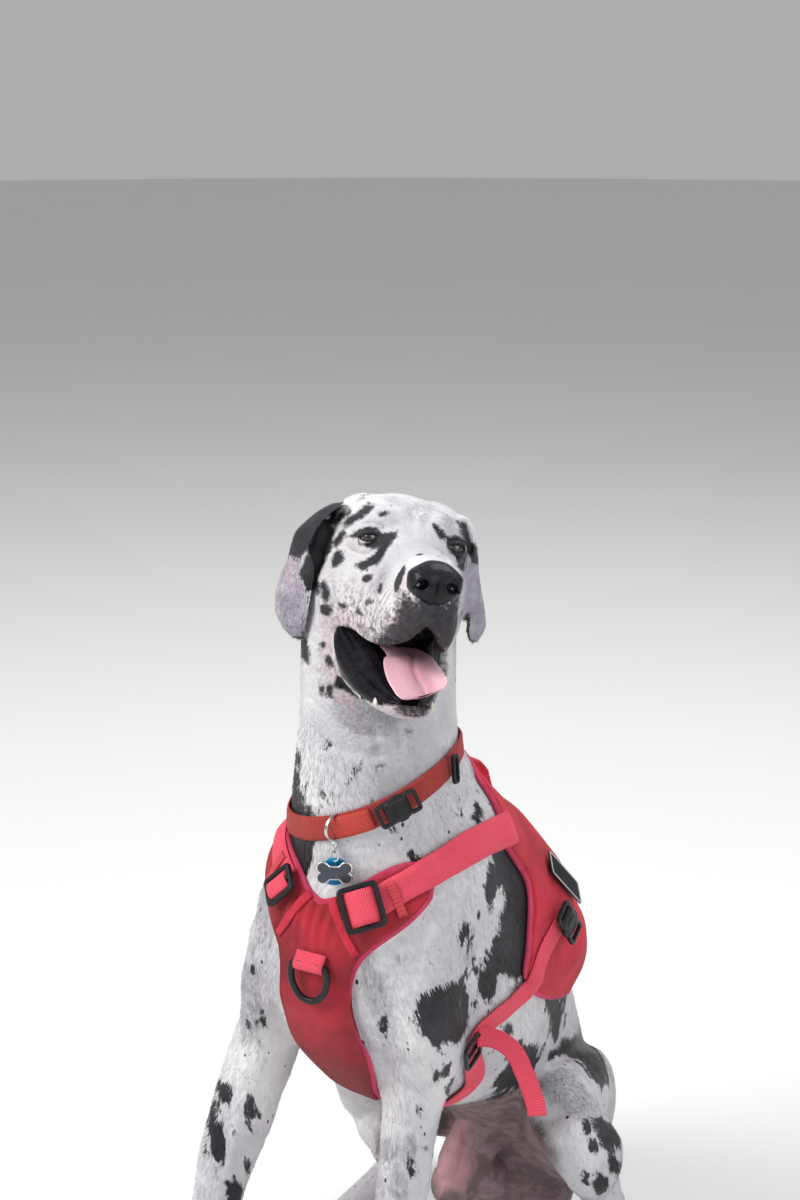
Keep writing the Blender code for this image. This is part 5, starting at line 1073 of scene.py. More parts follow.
@dataclass(frozen=True)
class CoatFinish:
    """Short harlequin coat: white hair, torn black patches, grey ticking and bare pink-brown skin."""

    white: tuple[float, float, float] = (0.70, 0.685, 0.70)
    shade: tuple[float, float, float] = (0.50, 0.485, 0.52)
    black: tuple[float, float, float] = (0.020, 0.019, 0.023)
    worn_black: tuple[float, float, float] = (0.060, 0.055, 0.065)
    grey: tuple[float, float, float] = (0.165, 0.155, 0.185)
    pink: tuple[float, float, float] = (0.52, 0.34, 0.37)
    brown: tuple[float, float, float] = (0.115, 0.070, 0.072)
    lilac: tuple[float, float, float] = (0.255, 0.225, 0.290)

    def material(self, head: HeadFrame, hair: bool) -> bpy.types.Material:
        """The coat's material, for the skin or for its tufts.

        Each marking is its field, a signed distance in metres, plus noise in metres, eased
        to a share; the noise is stretched along the hair, down the body and along the muzzle.

        Args:
            head: the head's axes.
            hair: leave out the relief, for tufts.

        Returns:
            The material.
        """
        sh = Shader("coat_tufts" if hair else "coat_skin")
        where = sh.coordinates()
        on_head = sh.attribute(Coat.HEAD.value)
        turn = Matrix(head.matrix().T.tolist()).to_euler()
        in_head = sh.stretch(where, (1, 1, 1), [math.degrees(a) for a in turn])

        def flowing(scale: float, along: float, detail: float = 3.0, rough: float = 0.6):
            """Noise stretched along the hair on the body and on the head."""
            body = sh.noise(sh.stretch(where, (1.0, 1.0, along)), scale, detail, rough)
            face = sh.noise(sh.stretch(in_head, (1.0, along, 1.0)), scale, detail, rough)
            made = sh.node("ShaderNodeMix", data_type="FLOAT")
            for socket, value in zip(made.inputs[:1] + made.inputs[2:4], (on_head, body, face)):
                sh.feed(socket, value)
            return sh.math("SUBTRACT", made.outputs[0], 0.5)

        torn = sh.math("MULTIPLY", flowing(42.0, 0.55, 2.0), 0.030)
        ragged = sh.math("MULTIPLY", flowing(260.0, 0.28, 3.0, 0.7), 0.0135)
        calm = sh.math("SUBTRACT", 1.0, sh.math("MULTIPLY", on_head, 0.62))
        edge = sh.math("MULTIPLY", sh.math("ADD", torn, ragged), calm)

        def share(name: Coat, soft: float, gain: float = 1.0, lift: float = 0.0):
            """A marking's share: its field plus noise, eased over soft metres."""
            held = sh.math("ADD", sh.attribute(name.value), sh.math("MULTIPLY_ADD", edge, gain, lift))
            return sh.rise(held, -soft, soft)

        def coarse_spots():
            """Blotches a centimetre or two wide."""
            return sh.noise(where, 62.0, 4.0, 0.62)

        coarse = sh.math("ADD", sh.noise(where, 9.0, 3.0), -0.5)
        fine = flowing(900.0, 0.12, 2.0, 0.75)
        tone = sh.rise(coarse, -0.22, 0.25)
        white = sh.mix(tone, self.shade, self.white)
        white = sh.mix(sh.rise(fine, -0.05, 0.28, 0.0, 0.22), white, self.shade)
        grit = sh.cells(sh.stretch(where, (1, 1, 0.6)), 330.0)
        freckle_noise = sh.noise(where, 55.0, 3.0)
        sparse = sh.math("MULTIPLY", sh.rise(freckle_noise, 0.52, 0.66), 1.0)
        ticks = sh.math("MULTIPLY", sh.rise(grit, 0.34, 0.20), sparse)
        white = sh.mix(sh.math("MULTIPLY", ticks, 0.50), white, self.grey)
        # The grey share also lays painted shade under the chin.
        grey_share = sh.math("MULTIPLY", share(Coat.GREY, 0.0045, 1.0), 0.62)
        speckle = sh.rise(flowing(300.0, 0.25, 3.0, 0.7), -0.12, 0.12)
        grey_share = sh.math("MULTIPLY", grey_share, sh.math("MULTIPLY_ADD", speckle, 0.55, 0.45))
        colour = sh.mix(grey_share, white, self.grey)
        lilac = sh.math("MULTIPLY", share(Coat.LILAC, 0.008, 1.2), sh.rise(coarse_spots(), 0.35, 0.62, 0.55, 1.0))
        colour = sh.mix(sh.math("MULTIPLY", lilac, 0.80), colour, self.lilac)
        colour = sh.mix(sh.math("MULTIPLY", share(Coat.PINK, 0.007, 1.2), 0.40), colour, self.pink)
        mottle = sh.attribute(Coat.MOTTLE.value)
        patchy = sh.rise(sh.noise(where, 130.0, 3.0, 0.65), 0.44, 0.62)
        colour = sh.mix(sh.math("MULTIPLY", sh.math("MULTIPLY", mottle, patchy), 0.78), colour,
                        (0.20, 0.155, 0.18))
        pores = sh.rise(sh.cells(where, 190.0), 0.30, 0.16)
        colour = sh.mix(sh.math("MULTIPLY", sh.math("MULTIPLY", mottle, pores), 0.75), colour,
                        (0.05, 0.042, 0.05))
        muzzle = sh.rise(sh.math("ADD", sh.attribute(Coat.MUZZLE.value),
                                 sh.math("MULTIPLY_ADD", sh.math("SUBTRACT", speckle, 0.5), 0.006, 0.003)), -0.007, 0.004)
        colour = sh.mix(sh.math("MULTIPLY", muzzle, 0.96), colour, (0.026, 0.021, 0.027))
        belly = share(Coat.BELLY, 0.010, 0.5)
        blotch = sh.rise(sh.noise(where, 30.0, 4.0, 0.65), 0.42, 0.60)
        bare = sh.mix(sh.math("MULTIPLY", blotch, 0.30), self.brown, self.pink)
        bare = sh.mix(share(Coat.SHEATH, 0.010, 0.8), bare, (0.52, 0.26, 0.28))
        colour = sh.mix(sh.math("MULTIPLY", belly, 0.92), colour, bare)
        flecks = sh.math("MULTIPLY", self.fleck_share(sh, where, in_head, on_head),
                         sh.math("SUBTRACT", 1.0, belly))
        # The black share also lays painted shadow behind the right ear base and down the neck's right edge.
        ink = sh.math("MAXIMUM", share(Coat.BLACK, 0.0016), flecks)
        faded = sh.rise(coarse, -0.1, 0.3)
        dark = sh.mix(faded, self.black, self.worn_black)
        dark = sh.mix(sh.rise(fine, 0.02, 0.3, 0.0, 0.5), dark, self.worn_black)
        colour = sh.mix(ink, colour, dark)
        mouth = sh.attribute(Coat.MOUTH.value)
        fleshy = sh.rise(sh.noise(where, 75.0, 3.0), 0.56, 0.70)
        wet = sh.mix(sh.math("MULTIPLY", fleshy, 0.35), (0.0035, 0.003, 0.004), (0.16, 0.05, 0.065))
        colour = sh.mix(mouth, colour, wet)
        rough = sh.math("MULTIPLY_ADD", ink, -0.14, 0.66)
        rough = sh.math("MULTIPLY_ADD", mouth, -0.34, rough)
        rough = sh.math("MULTIPLY_ADD", belly, -0.12, rough)
        sh.dress(Base_Color=colour, Roughness=rough, Sheen_Weight=0.02, Sheen_Roughness=0.45)
        sh.surface.inputs["Specular IOR Level"].default_value = 0.22
        if not hair:
            strands = flowing(1500.0, 0.06, 2.0, 0.8)
            clumps = flowing(230.0, 0.16, 3.0, 0.6)
            height = sh.math("ADD", sh.math("MULTIPLY", strands, 0.6), sh.math("MULTIPLY", clumps, 0.9))
            folds = sh.math("MULTIPLY", sh.noise(sh.stretch(in_head, (1.0, 1.0, 0.45)), 95.0, 3.0, 0.5), mouth)
            relief = sh.bump(height, 0.0009, 0.55, sh.bump(folds, 0.006, 0.8))
            sh.link(relief, sh.surface.inputs["Normal"])
        return sh.material

    def fleck_share(self, sh: Shader, where: bpy.types.NodeSocket, in_head: bpy.types.NodeSocket,
                    on_head: bpy.types.NodeSocket) -> bpy.types.NodeSocket:
        """Small scattered black flecks: some cells of a cellular pattern hold a spot of their own size."""
        out = None
        for scale, few, seat in ((26.0, 0.80, 0.0), (62.0, 0.86, 3.7), (120.0, 0.90, 7.1)):
            at = sh.stretch(where, (1.0, 1.0, 0.62))
            shifted = sh.node("ShaderNodeVectorMath", operation="ADD")
            shifted.inputs[1].default_value = (seat, seat * 0.7, seat * 1.3)
            sh.link(at, shifted.inputs[0])
            cell = sh.node("ShaderNodeTexVoronoi")
            cell.inputs["Scale"].default_value = scale
            sh.link(shifted.outputs[0], cell.inputs["Vector"])
            pick = sh.node("ShaderNodeSeparateColor")
            sh.link(cell.outputs["Color"], pick.inputs[0])
            wobble = sh.math("MULTIPLY", sh.math("SUBTRACT", sh.noise(where, scale * 9.0, 2.0), 0.5), 0.22)
            radius = sh.rise(pick.outputs[0], few, 1.0, 0.0, 0.26)
            gap = sh.math("SUBTRACT", sh.math("ADD", radius, wobble), cell.outputs["Distance"])
            has = sh.math("GREATER_THAN", pick.outputs[0], few)
            spot = sh.math("MULTIPLY", sh.rise(gap, -0.03, 0.05), has)
            out = spot if out is None else sh.math("MAXIMUM", out, spot)
        return out


@dataclass
class SkinDress:
    """Gives the skin and the pieces that match it their fields and the coat material."""

    skin: Skin
    view: Viewpoint
    finish: CoatFinish = field(default_factory=CoatFinish)
    marks: Markings | None = None
    material: bpy.types.Material | None = None

    def build(self) -> None:
        obj, place = self.skin.obj, self.skin.place
        self.marks = Markings(place, self.view)
        self.marks.prepare(obj)
        self.material = self.finish.material(place.head, False)
        self.paint(obj)
        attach(obj, ROOT)
        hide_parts(*FLESH_NODES)
        LOG.info("skin dressed")

    def paint(self, obj: bpy.types.Object, rim: bool = False) -> None:
        """Put the coat's fields and material on an object; a rim field blackens the lids' edges."""
        points, normals = read_points(obj), read_normals(obj)
        fields = self.marks.fields(points, normals)
        if rim:
            edge = np.zeros(len(points))
            obj.data.attributes["rim"].data.foreach_get("value", edge)
            fields[Coat.BLACK] = np.maximum(fields[Coat.BLACK], 0.034 * edge - 0.014)
            fields[Coat.MOUTH] = np.where(edge > 0.5, 1.0, 0.0) * 0.8
        for name, values in fields.items():
            put_field(obj, name.value, values)
        put_field(obj, Coat.HEAD.value, self.skin.head_share(points))
        obj.data.materials.clear()
        obj.data.materials.append(self.material)


def cast(tree: BVHTree, starts: Array, ways: Array, reach: float = 1.0) -> tuple[Array, Array, Array]:
    """Shoot a ray from each start; one search in the tree per ray.

    Args:
        tree: faces to hit.
        starts: n by 3.
        ways: one direction, or n by 3.
        reach: longest hit.

    Returns:
        Hit places, normals, and which rays hit.
    """
    ways = np.broadcast_to(ways, starts.shape)
    found = [tree.ray_cast(Vector(a), Vector(b), reach) for a, b in zip(starts, ways)]
    hit = np.array([f[0] is not None for f in found])
    places = np.array([f[0] if f[0] is not None else (0, 0, 0) for f in found], float)
    normals = np.array([f[1] if f[1] is not None else (0, 0, 1) for f in found], float)
    return places, normals, hit


def nearest(tree: BVHTree, points: Array) -> tuple[Array, Array]:
    """Nearest places of a surface and their normals, one search per point."""
    found = [tree.find_nearest(Vector(p)) for p in points]
    return np.array([f[0] for f in found], float), np.array([f[1] for f in found], float)


def grid_faces(rows: int, columns: int, wrap_rows: bool = False, wrap_columns: bool = False,
               flip: bool = False) -> Array:
    """Quads of a grid of vertices.

    Args:
        rows: vertex rows.
        columns: vertices per row.
        wrap_rows: join the last row to the first.
        wrap_columns: join the last column to the first.
        flip: turn the faces round.

    Returns:
        Corner numbers, n by 4.
    """
    i, j = np.meshgrid(np.arange(rows if wrap_rows else rows - 1),
                       np.arange(columns if wrap_columns else columns - 1), indexing="ij")
    i, j = i.ravel(), j.ravel()
    i2, j2 = (i + 1) % rows, (j + 1) % columns
    quads = np.stack([i * columns + j, i * columns + j2, i2 * columns + j2, i2 * columns + j], axis=1)
    return quads[:, ::-1] if flip else quads


def put_uv(obj: bpy.types.Object, per_vertex: Array, name: str = "UVMap") -> None:
    """Give an object a UV map from one pair per vertex."""
    layer = obj.data.uv_layers.new(name=name)
    corner = np.zeros(len(obj.data.loops), np.int32)
    obj.data.loops.foreach_get("vertex_index", corner)
    layer.data.foreach_set("uv", per_vertex[corner].astype(np.float32).ravel())


def close_tube(name: str, rings: Array, caps: bool = True) -> bpy.types.Object:
    """A closed skin over rings of points, with a fan at each end.

    Args:
        name: the object's name.
        rings: sections by corners by 3.
        caps: close the ends at their means.

    Returns:
        The object, its normals outwards.
    """
    count, sides = rings.shape[:2]
    verts = rings.reshape(-1, 3)
    faces = grid_faces(count, sides, wrap_columns=True).tolist()
    if caps:
        ends = np.stack([rings[0].mean(axis=0), rings[-1].mean(axis=0)])
        verts = np.vstack([verts, ends])
        first, last = count * sides, count * sides + 1
        turn = np.arange(sides)
        after = (turn + 1) % sides
        faces += np.stack([after, turn, np.full(sides, first)], axis=1).tolist()
        base = (count - 1) * sides
        faces += np.stack([base + turn, base + after, np.full(sides, last)], axis=1).tolist()
    obj = mesh_object(name, verts, faces)
    face_out(obj)
    return obj


def face_out(obj: bpy.types.Object) -> None:
    """Turn all faces outwards."""
    bm = bmesh.new()
    bm.from_mesh(obj.data)
    bmesh.ops.recalc_face_normals(bm, faces=bm.faces)
    bm.to_mesh(obj.data)
    bm.free()


def join_meshes(name: str, parts: Sequence[bpy.types.Object]) -> bpy.types.Object:
    """Make one object of several; materials, fields and UV maps are kept by name."""
    for obj in bpy.context.selected_objects:
        obj.select_set(False)
    for obj in parts:
        obj.select_set(True)
    bpy.context.view_layer.objects.active = parts[0]
    bpy.ops.object.join()
    parts[0].name = name
    parts[0].data.name = name
    parts[0].select_set(False)
    return parts[0]


def resample(line: Array, count: int) -> Array:
    """Points at even steps on a smooth curve through the given ones.

    The curve is a Catmull-Rom spline: each piece is the cubic that leaves a point
    along the chord of its two neighbours.

    Args:
        line: n by 2 or 3.
        count: how many points come back.

    Returns:
        count points.
    """
    p = np.asarray(line, float)
    p = np.vstack([2 * p[0] - p[1], p, 2 * p[-1] - p[-2]])
    t = np.linspace(0.0, 1.0, 13)[:-1, None]
    parts = []
    for k in range(1, len(p) - 2):
        a, b, c, d = p[k - 1], p[k], p[k + 1], p[k + 2]
        parts.append(0.5 * (2 * b + (c - a) * t + (2 * a - 5 * b + 4 * c - d) * t ** 2
                            + (3 * b - a - 3 * c + d) * t ** 3))
    dense = np.vstack([*parts, p[-2:-1]])
    run = np.concatenate([[0.0], np.cumsum(np.linalg.norm(np.diff(dense, axis=0), axis=1))])
    want = np.linspace(0.0, run[-1], count)
    return np.stack([np.interp(want, run, dense[:, k]) for k in range(dense.shape[1])], axis=1)


@dataclass(frozen=True)
class EyeFinish:
    """Wet eyeball: pupil, grey-brown iris with fibres, dark limbus and off-white sclera."""

    pupil: tuple[float, float, float] = (0.004, 0.004, 0.005)
    iris: tuple[float, float, float] = (0.015, 0.013, 0.012)
    iris_pale: tuple[float, float, float] = (0.050, 0.045, 0.042)
    white: tuple[float, float, float] = (0.20, 0.17, 0.165)

    def material(self) -> bpy.types.Material:
        """Colour from the angle off the eye's axis, kept as a field."""
        sh = Shader("eye_wet")
        ring = sh.attribute("off_axis")
        fibre = sh.noise(sh.stretch(sh.coordinates("UV"), (60.0, 2.0, 1.0)), 1.0, 3.0)
        iris = sh.mix(sh.rise(fibre, 0.35, 0.7), self.iris, self.iris_pale)
        colour = sh.mix(sh.rise(ring, 0.185, 0.215), self.pupil, iris)
        colour = sh.mix(sh.rise(ring, 0.43, 0.50), colour, (0.012, 0.010, 0.010))
        colour = sh.mix(sh.rise(ring, 0.52, 0.62), colour, self.white)
        sh.surface.inputs["Coat Weight"].default_value = 1.0
        sh.surface.inputs["Coat Roughness"].default_value = 0.03
        return sh.dress(Base_Color=colour, Roughness=0.22)


@dataclass(frozen=True)
class FleshFinish:
    """Wet bare flesh: black lip, tongue, gum, nose leather, tooth or claw."""

    name: str
    deep: tuple[float, float, float]
    light: tuple[float, float, float]
    scale: float
    rough: float
    relief: float
    wet: float = 0.0
    pebbled: bool = False
    shine: float = 0.30

    def material(self) -> bpy.types.Material:
        """Two tones mixed by noise, a fine relief, and a wet coat."""
        sh = Shader(self.name)
        where = sh.coordinates()
        patch = sh.rise(sh.noise(where, self.scale, 4.0, 0.6), 0.38, 0.64)
        colour = sh.mix(patch, self.deep, self.light)
        if self.pebbled:
            cell = sh.cells(where, 620.0)
            # Painted shade: the grooves between the pebbles are darkened to the deep tone.
            colour = sh.mix(sh.rise(cell, 0.25, 0.75), colour, self.deep)
            height = sh.rise(cell, 0.62, 0.10)
        else:
            height = sh.noise(where, 1400.0, 3.0, 0.6)
        relief = sh.bump(height, self.relief, 0.6)
        lumps = sh.bump(sh.noise(where, 170.0, 3.0), self.relief * 2.2, 0.5, relief)
        rough = sh.math("MULTIPLY_ADD", sh.noise(where, 240.0, 3.0), 0.22, self.rough - 0.11)
        sh.surface.inputs["Coat Weight"].default_value = self.wet
        sh.surface.inputs["Coat Roughness"].default_value = 0.06
        sh.surface.inputs["Specular IOR Level"].default_value = self.shine
        return sh.dress(Base_Color=colour, Roughness=rough, Normal=lumps)


NOSE_LEATHER = FleshFinish("nose_leather", (0.006, 0.006, 0.009), (0.017, 0.018, 0.026), 60.0, 0.40, 0.00035,
                           0.14, True, 0.16)
BLACK_LIP = FleshFinish("black_lip", (0.003, 0.003, 0.005), (0.012, 0.009, 0.013), 110.0, 0.17, 0.0008, 0.14, False, 0.06)
GUM = FleshFinish("gum", (0.020, 0.012, 0.015), (0.20, 0.075, 0.095), 120.0, 0.28, 0.0003, 0.7)
TOOTH = FleshFinish("tooth", (0.55, 0.50, 0.40), (0.74, 0.71, 0.64), 140.0, 0.25, 0.0001, 0.4)
CLAW = FleshFinish("claw", (0.030, 0.026, 0.026), (0.11, 0.095, 0.085), 160.0, 0.38, 0.00015, 0.1)


@dataclass
class Eyes:
    """Two eyeballs and their lids with a dark wet rim."""

    skin: Skin
    half_open: float = 0.70
    upper: float = 0.235
    lower: float = 0.27
    ring: tuple[float, float] = (0.0205, 0.0150)
    tilt: tuple[float, float] = (11.0, 4.0)

    def axes(self, side: int) -> tuple[Array, Array, Array, Array]:
        """Centre, axis, right and up of one eye in head axes; side is -1 or 1."""
        head = self.skin.place.head
        centre = np.array([side * (head.eye_x - 0.0020), head.eye_y, head.eye_z + 0.0028])
        axis = unit(np.array([side * 0.22, -0.97, 0.02]))
        a = math.radians(self.tilt[0 if side < 0 else 1] * side)
        right = unit(np.cross(axis, [0.0, 0.0, 1.0])) * -1.0
        up = np.cross(axis, right)
        up = up if up[2] > 0 else -up
        right, up = (right * math.cos(a) - up * math.sin(a), up * math.cos(a) + right * math.sin(a))
        return centre, axis, right, up

    def ball(self, side: int) -> bpy.types.Object:
        """A sphere on (angle, angle off the axis), with a slight corneal swell."""
        centre, axis, right, up = self.axes(side)
        gaze = unit(axis + right * 0.06 * 1.0 + up * 0.02)
        turn = np.linspace(0, 2 * np.pi, 49)[:-1]
        off = np.linspace(0.0, 1.0, 40)
        o, t = np.meshgrid(off, turn, indexing="ij")
        angle = o * np.pi
        swell = 0.0007 * np.exp(-(angle / 0.42) ** 2)
        radius = self.skin.place.head.eye_radius - 0.0002 + swell
        r2 = unit(np.cross(gaze, up))
        u2 = np.cross(r2, gaze)
        spot = (gaze * np.cos(angle)[..., None] + r2 * (np.sin(angle) * np.cos(t))[..., None]
                + u2 * (np.sin(angle) * np.sin(t))[..., None]) * radius[..., None] + centre
        verts = self.skin.place.on_head(spot.reshape(-1, 3))
        obj = mesh_object("eyeball", verts, grid_faces(40, 48, wrap_columns=True))
        bm = bmesh.new()
        bm.from_mesh(obj.data)
        bmesh.ops.remove_doubles(bm, verts=bm.verts, dist=1e-6)
        bmesh.ops.recalc_face_normals(bm, faces=bm.faces)
        bm.to_mesh(obj.data)
        bm.free()
        rel = self.skin.place.to_head(read_points(obj)) - centre
        angle = np.arccos(np.clip(unit(rel) @ gaze, -1, 1))
        put_field(obj, "off_axis", angle)
        put_uv(obj, np.stack([np.arctan2(rel @ u2, rel @ r2) / (2 * np.pi), angle], axis=1))
        return obj

    def lid(self, side: int, tree: BVHTree) -> bpy.types.Object:
        """The lids on (angle round the opening, way out to the skin).

        The height above the eye's plane is the larger of a shell over the eyeball and
        the skin, eased into the skin at the outer ring, with a fold above the upper lid.
        """
        place = self.skin.place
        centre, axis, right, up = self.axes(side)
        radius = place.head.eye_radius
        turns, steps = 72, 22
        t = np.linspace(0, 2 * np.pi, turns + 1)[:-1]
        v = np.linspace(0.0, 1.0, steps)
        vv, tt = np.meshgrid(v, t, indexing="ij")
        open_a = self.half_open * np.cos(tt) * radius
        span = np.where(np.sin(tt) > 0, self.upper, self.lower)
        open_b = np.sin(tt) * span * radius * (1.0 - 0.30 * np.cos(tt) ** 2)
        ring_a, ring_b = self.ring[0] * np.cos(tt), self.ring[1] * np.sin(tt)
        w = np.clip((vv - 0.10) / 0.90, 0, 1)
        a = open_a + (ring_a - open_a) * w
        b = open_b + (ring_b - open_b) * w
        flat = centre + right * a.ravel()[:, None] + up * b.ravel()[:, None]
        starts = place.on_head(flat + axis * 0.05)
        way = place.head_turn((-axis)[None])[0]
        hit, _, found = cast(tree, starts, way, 0.10)
        height = np.where(found, (place.to_head(hit) - flat) @ axis, -0.01).reshape(a.shape)
        thick = 0.0016 * smooth_step(vv, 0.0, 0.16) + 0.0001
        reach = np.maximum((radius + thick) ** 2 - a ** 2 - b ** 2, 0.0)
        shell = np.sqrt(reach) - 0.004 * smooth_step(w, 0.45, 1.0)
        blend = 0.0022
        gap = np.clip((height - shell) / blend, -1.0, 1.0)
        both = np.where(gap > 0, height, shell) + blend * 0.25 * (1.0 - np.abs(gap)) ** 2
        settle = smooth_step(w, 0.60, 1.0)
        out = both * (1.0 - settle) + (height - 0.0012) * settle
        fold = np.where(np.sin(tt) > 0, 1.0, 0.55) * np.abs(np.sin(tt))
        out += 0.0011 * fold * np.exp(-((w - 0.22) / 0.10) ** 2) - 0.0013 * fold * np.exp(-((w - 0.44) / 0.07) ** 2)
        out += 0.0007 * fold * np.exp(-((w - 0.60) / 0.08) ** 2)
        spot = flat + axis * out.ravel()[:, None]
        tuck = flat[:turns] + axis * (out[0][:, None] - 0.0030)
        verts = place.on_head(np.vstack([tuck, spot]))
        obj = mesh_object("lid", verts, grid_faces(steps + 1, turns, wrap_columns=True))
        normals = read_normals(obj)
        outward = place.head_turn(axis[None])[0]
        if float((normals[turns * 6:turns * 8] @ outward).mean()) < 0:
            obj.data.flip_normals()
        put_field(obj, "rim", np.concatenate([np.ones(turns), 1.0 - smooth_step(w.ravel(), 0.02, 0.17)]))
        return obj

    def build(self, dress: "SkinDress") -> None:
        """Both eyeballs and both pairs of lids."""
        tree = tree_of(self.skin.obj)
        balls = join_meshes("eyeballs", [self.ball(-1), self.ball(1)])
        balls.data.materials.append(EyeFinish().material())
        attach(balls, ROOT)
        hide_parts("eye_left", "eye_right")
        lids = join_meshes("eyelids", [self.lid(-1, tree), self.lid(1, tree)])
        dress.paint(lids, rim=True)
        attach(lids, ROOT)
        LOG.info("eyeballs and eyelids")


@dataclass
class Nose:
    """Nose leather: a rounded pad with wings, comma-shaped nostrils and a middle groove."""

    place: Place
    centre: tuple[float, float, float] = (0.0005, -0.1490, -0.0250)
    half_width: float = 0.0258
    rise: float = 0.0190
    drop: float = 0.0245
    front: float = 0.0200
    back: float = 0.0170
    nostril: tuple[float, float] = (0.0136, -0.0290)

    def build(self) -> None:
        """The pad on (angle round, angle off the front).

        A point is an ellipsoid's, squared a little; its half width follows its height.
        Each nostril is a pit with a slit drawn out to the side.
        """
        turns, steps = 176, 110
        off = np.linspace(0.0, 1.0, steps) ** 0.85 * np.pi
        turn = np.linspace(0, 2 * np.pi, turns + 1)[:-1]
        o, t = np.meshgrid(off, turn, indexing="ij")
        dx, dz, dy = np.sin(o) * np.cos(t), np.sin(o) * np.sin(t), -np.cos(o)
        square = (np.abs(dx) ** 2.6 + np.abs(dy) ** 2.6 + np.abs(dz) ** 2.6) ** (-1 / 2.6)
        dx, dy, dz = dx * square, dy * square, dz * square
        z = np.where(dz > 0, dz * self.rise, dz * self.drop)
        narrow = 1.0 - 0.30 * smooth_step(z, 0.004, 0.019) - 0.48 * smooth_step(-z, 0.008, 0.026)
        x = dx * self.half_width * narrow
        y = np.where(dy < 0, dy * self.front, dy * self.back)
        y = y + 0.26 * np.maximum(-z - 0.004, 0.0) + 0.18 * np.maximum(z - 0.006, 0.0)
        facing = smooth_step(-dy, 0.15, 0.55)
        for side in (-1.0, 1.0):
            nx, nz = side * self.nostril[0], self.nostril[1] - self.centre[2]
            a = math.radians(-24.0 * side)
            u = (x - nx) * math.cos(a) + (z - nz) * math.sin(a)
            w = -(x - nx) * math.sin(a) + (z - nz) * math.cos(a)
            rim = np.exp(-((np.hypot(u / 0.0066, w / 0.0056) - 1.25) / 0.42) ** 2)
            pit = 1.0 - smooth_step(np.hypot(u / 0.0060, w / 0.0047), 0.55, 1.10)
            along = np.clip((x * side - abs(nx)) / 0.010, 0.0, 1.0)
            line = nz - 0.0052 * along ** 1.5
            slit = np.exp(-((z - line) / (0.0014 * (1.3 - along))) ** 2) * smooth_step(along, 0.0, 0.2)
            slit = slit * (1.0 - smooth_step(along, 0.80, 1.0))
            y = y - 0.0011 * rim * facing + (0.0100 * pit + 0.0042 * slit) * facing
            wing = np.exp(-(((x - side * 0.0195) / 0.006) ** 2 + ((z - nz - 0.002) / 0.008) ** 2))
            y = y - 0.0012 * wing * facing
        groove = np.exp(-(x / 0.0013) ** 2) * smooth_step(-z, -0.004, 0.006)
        y = y + 0.0019 * groove * facing
        lobe = np.exp(-(((np.abs(x) - 0.0075) / 0.006) ** 2 + ((z - 0.006) / 0.010) ** 2))
        y = y - 0.0009 * lobe * facing
        local = np.stack([x, y, z], axis=-1).reshape(-1, 3) + np.array(self.centre)
        obj = mesh_object("nose_pad", self.place.on_head(local), grid_faces(steps, turns, wrap_columns=True))
        bm = bmesh.new()
        bm.from_mesh(obj.data)
        bmesh.ops.remove_doubles(bm, verts=bm.verts, dist=1e-6)
        bmesh.ops.recalc_face_normals(bm, faces=bm.faces)
        bm.to_mesh(obj.data)
        bm.free()
        obj.data.materials.append(NOSE_LEATHER.material())
        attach(obj, ROOT)
        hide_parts("nose")
        LOG.info("nose pad, %d faces", len(obj.data.polygons))


@dataclass(frozen=True)
class TongueFinish:
    """Moist pink tongue, paler at its edges, with fine papillae, and painted shade towards its root inside the mouth.
    """

    deep: tuple[float, float, float] = (0.52, 0.17, 0.22)
    light: tuple[float, float, float] = (0.78, 0.44, 0.52)

    def material(self) -> bpy.types.Material:
        """Tone from the way across, papillae as a cellular relief."""
        sh = Shader("tongue_moist")
        where = sh.coordinates()
        across = sh.attribute("across")
        soft = sh.noise(where, 60.0, 3.0)
        tone = sh.math("ADD", sh.rise(across, 0.05, 0.85), sh.math("MULTIPLY_ADD", soft, 0.5, -0.25))
        colour = sh.mix(sh.rise(tone, 0.0, 0.8), (0.66, 0.32, 0.39), self.light)
        # Painted shade: towards the root, inside the mouth, the colour turns to the deep tone.
        colour = sh.mix(sh.rise(sh.attribute("inner"), 0.0, 1.0), self.deep, colour)
        cell = sh.cells(where, 900.0)
        colour = sh.mix(sh.rise(cell, 0.5, 0.1, 0.0, 0.22), colour, (0.86, 0.60, 0.64))
        relief = sh.bump(sh.rise(cell, 0.6, 0.1), 0.00025, 0.5)
        relief = sh.bump(sh.noise(where, 150.0, 3.0), 0.0008, 0.4, relief)
        sh.surface.inputs["Coat Weight"].default_value = 0.35
        sh.surface.inputs["Coat Roughness"].default_value = 0.22
        sh.surface.inputs["Subsurface Weight"].default_value = 0.15
        sh.surface.inputs["Subsurface Radius"].default_value = (0.006, 0.002, 0.0015)
        return sh.dress(Base_Color=colour, Roughness=0.36, Normal=relief)


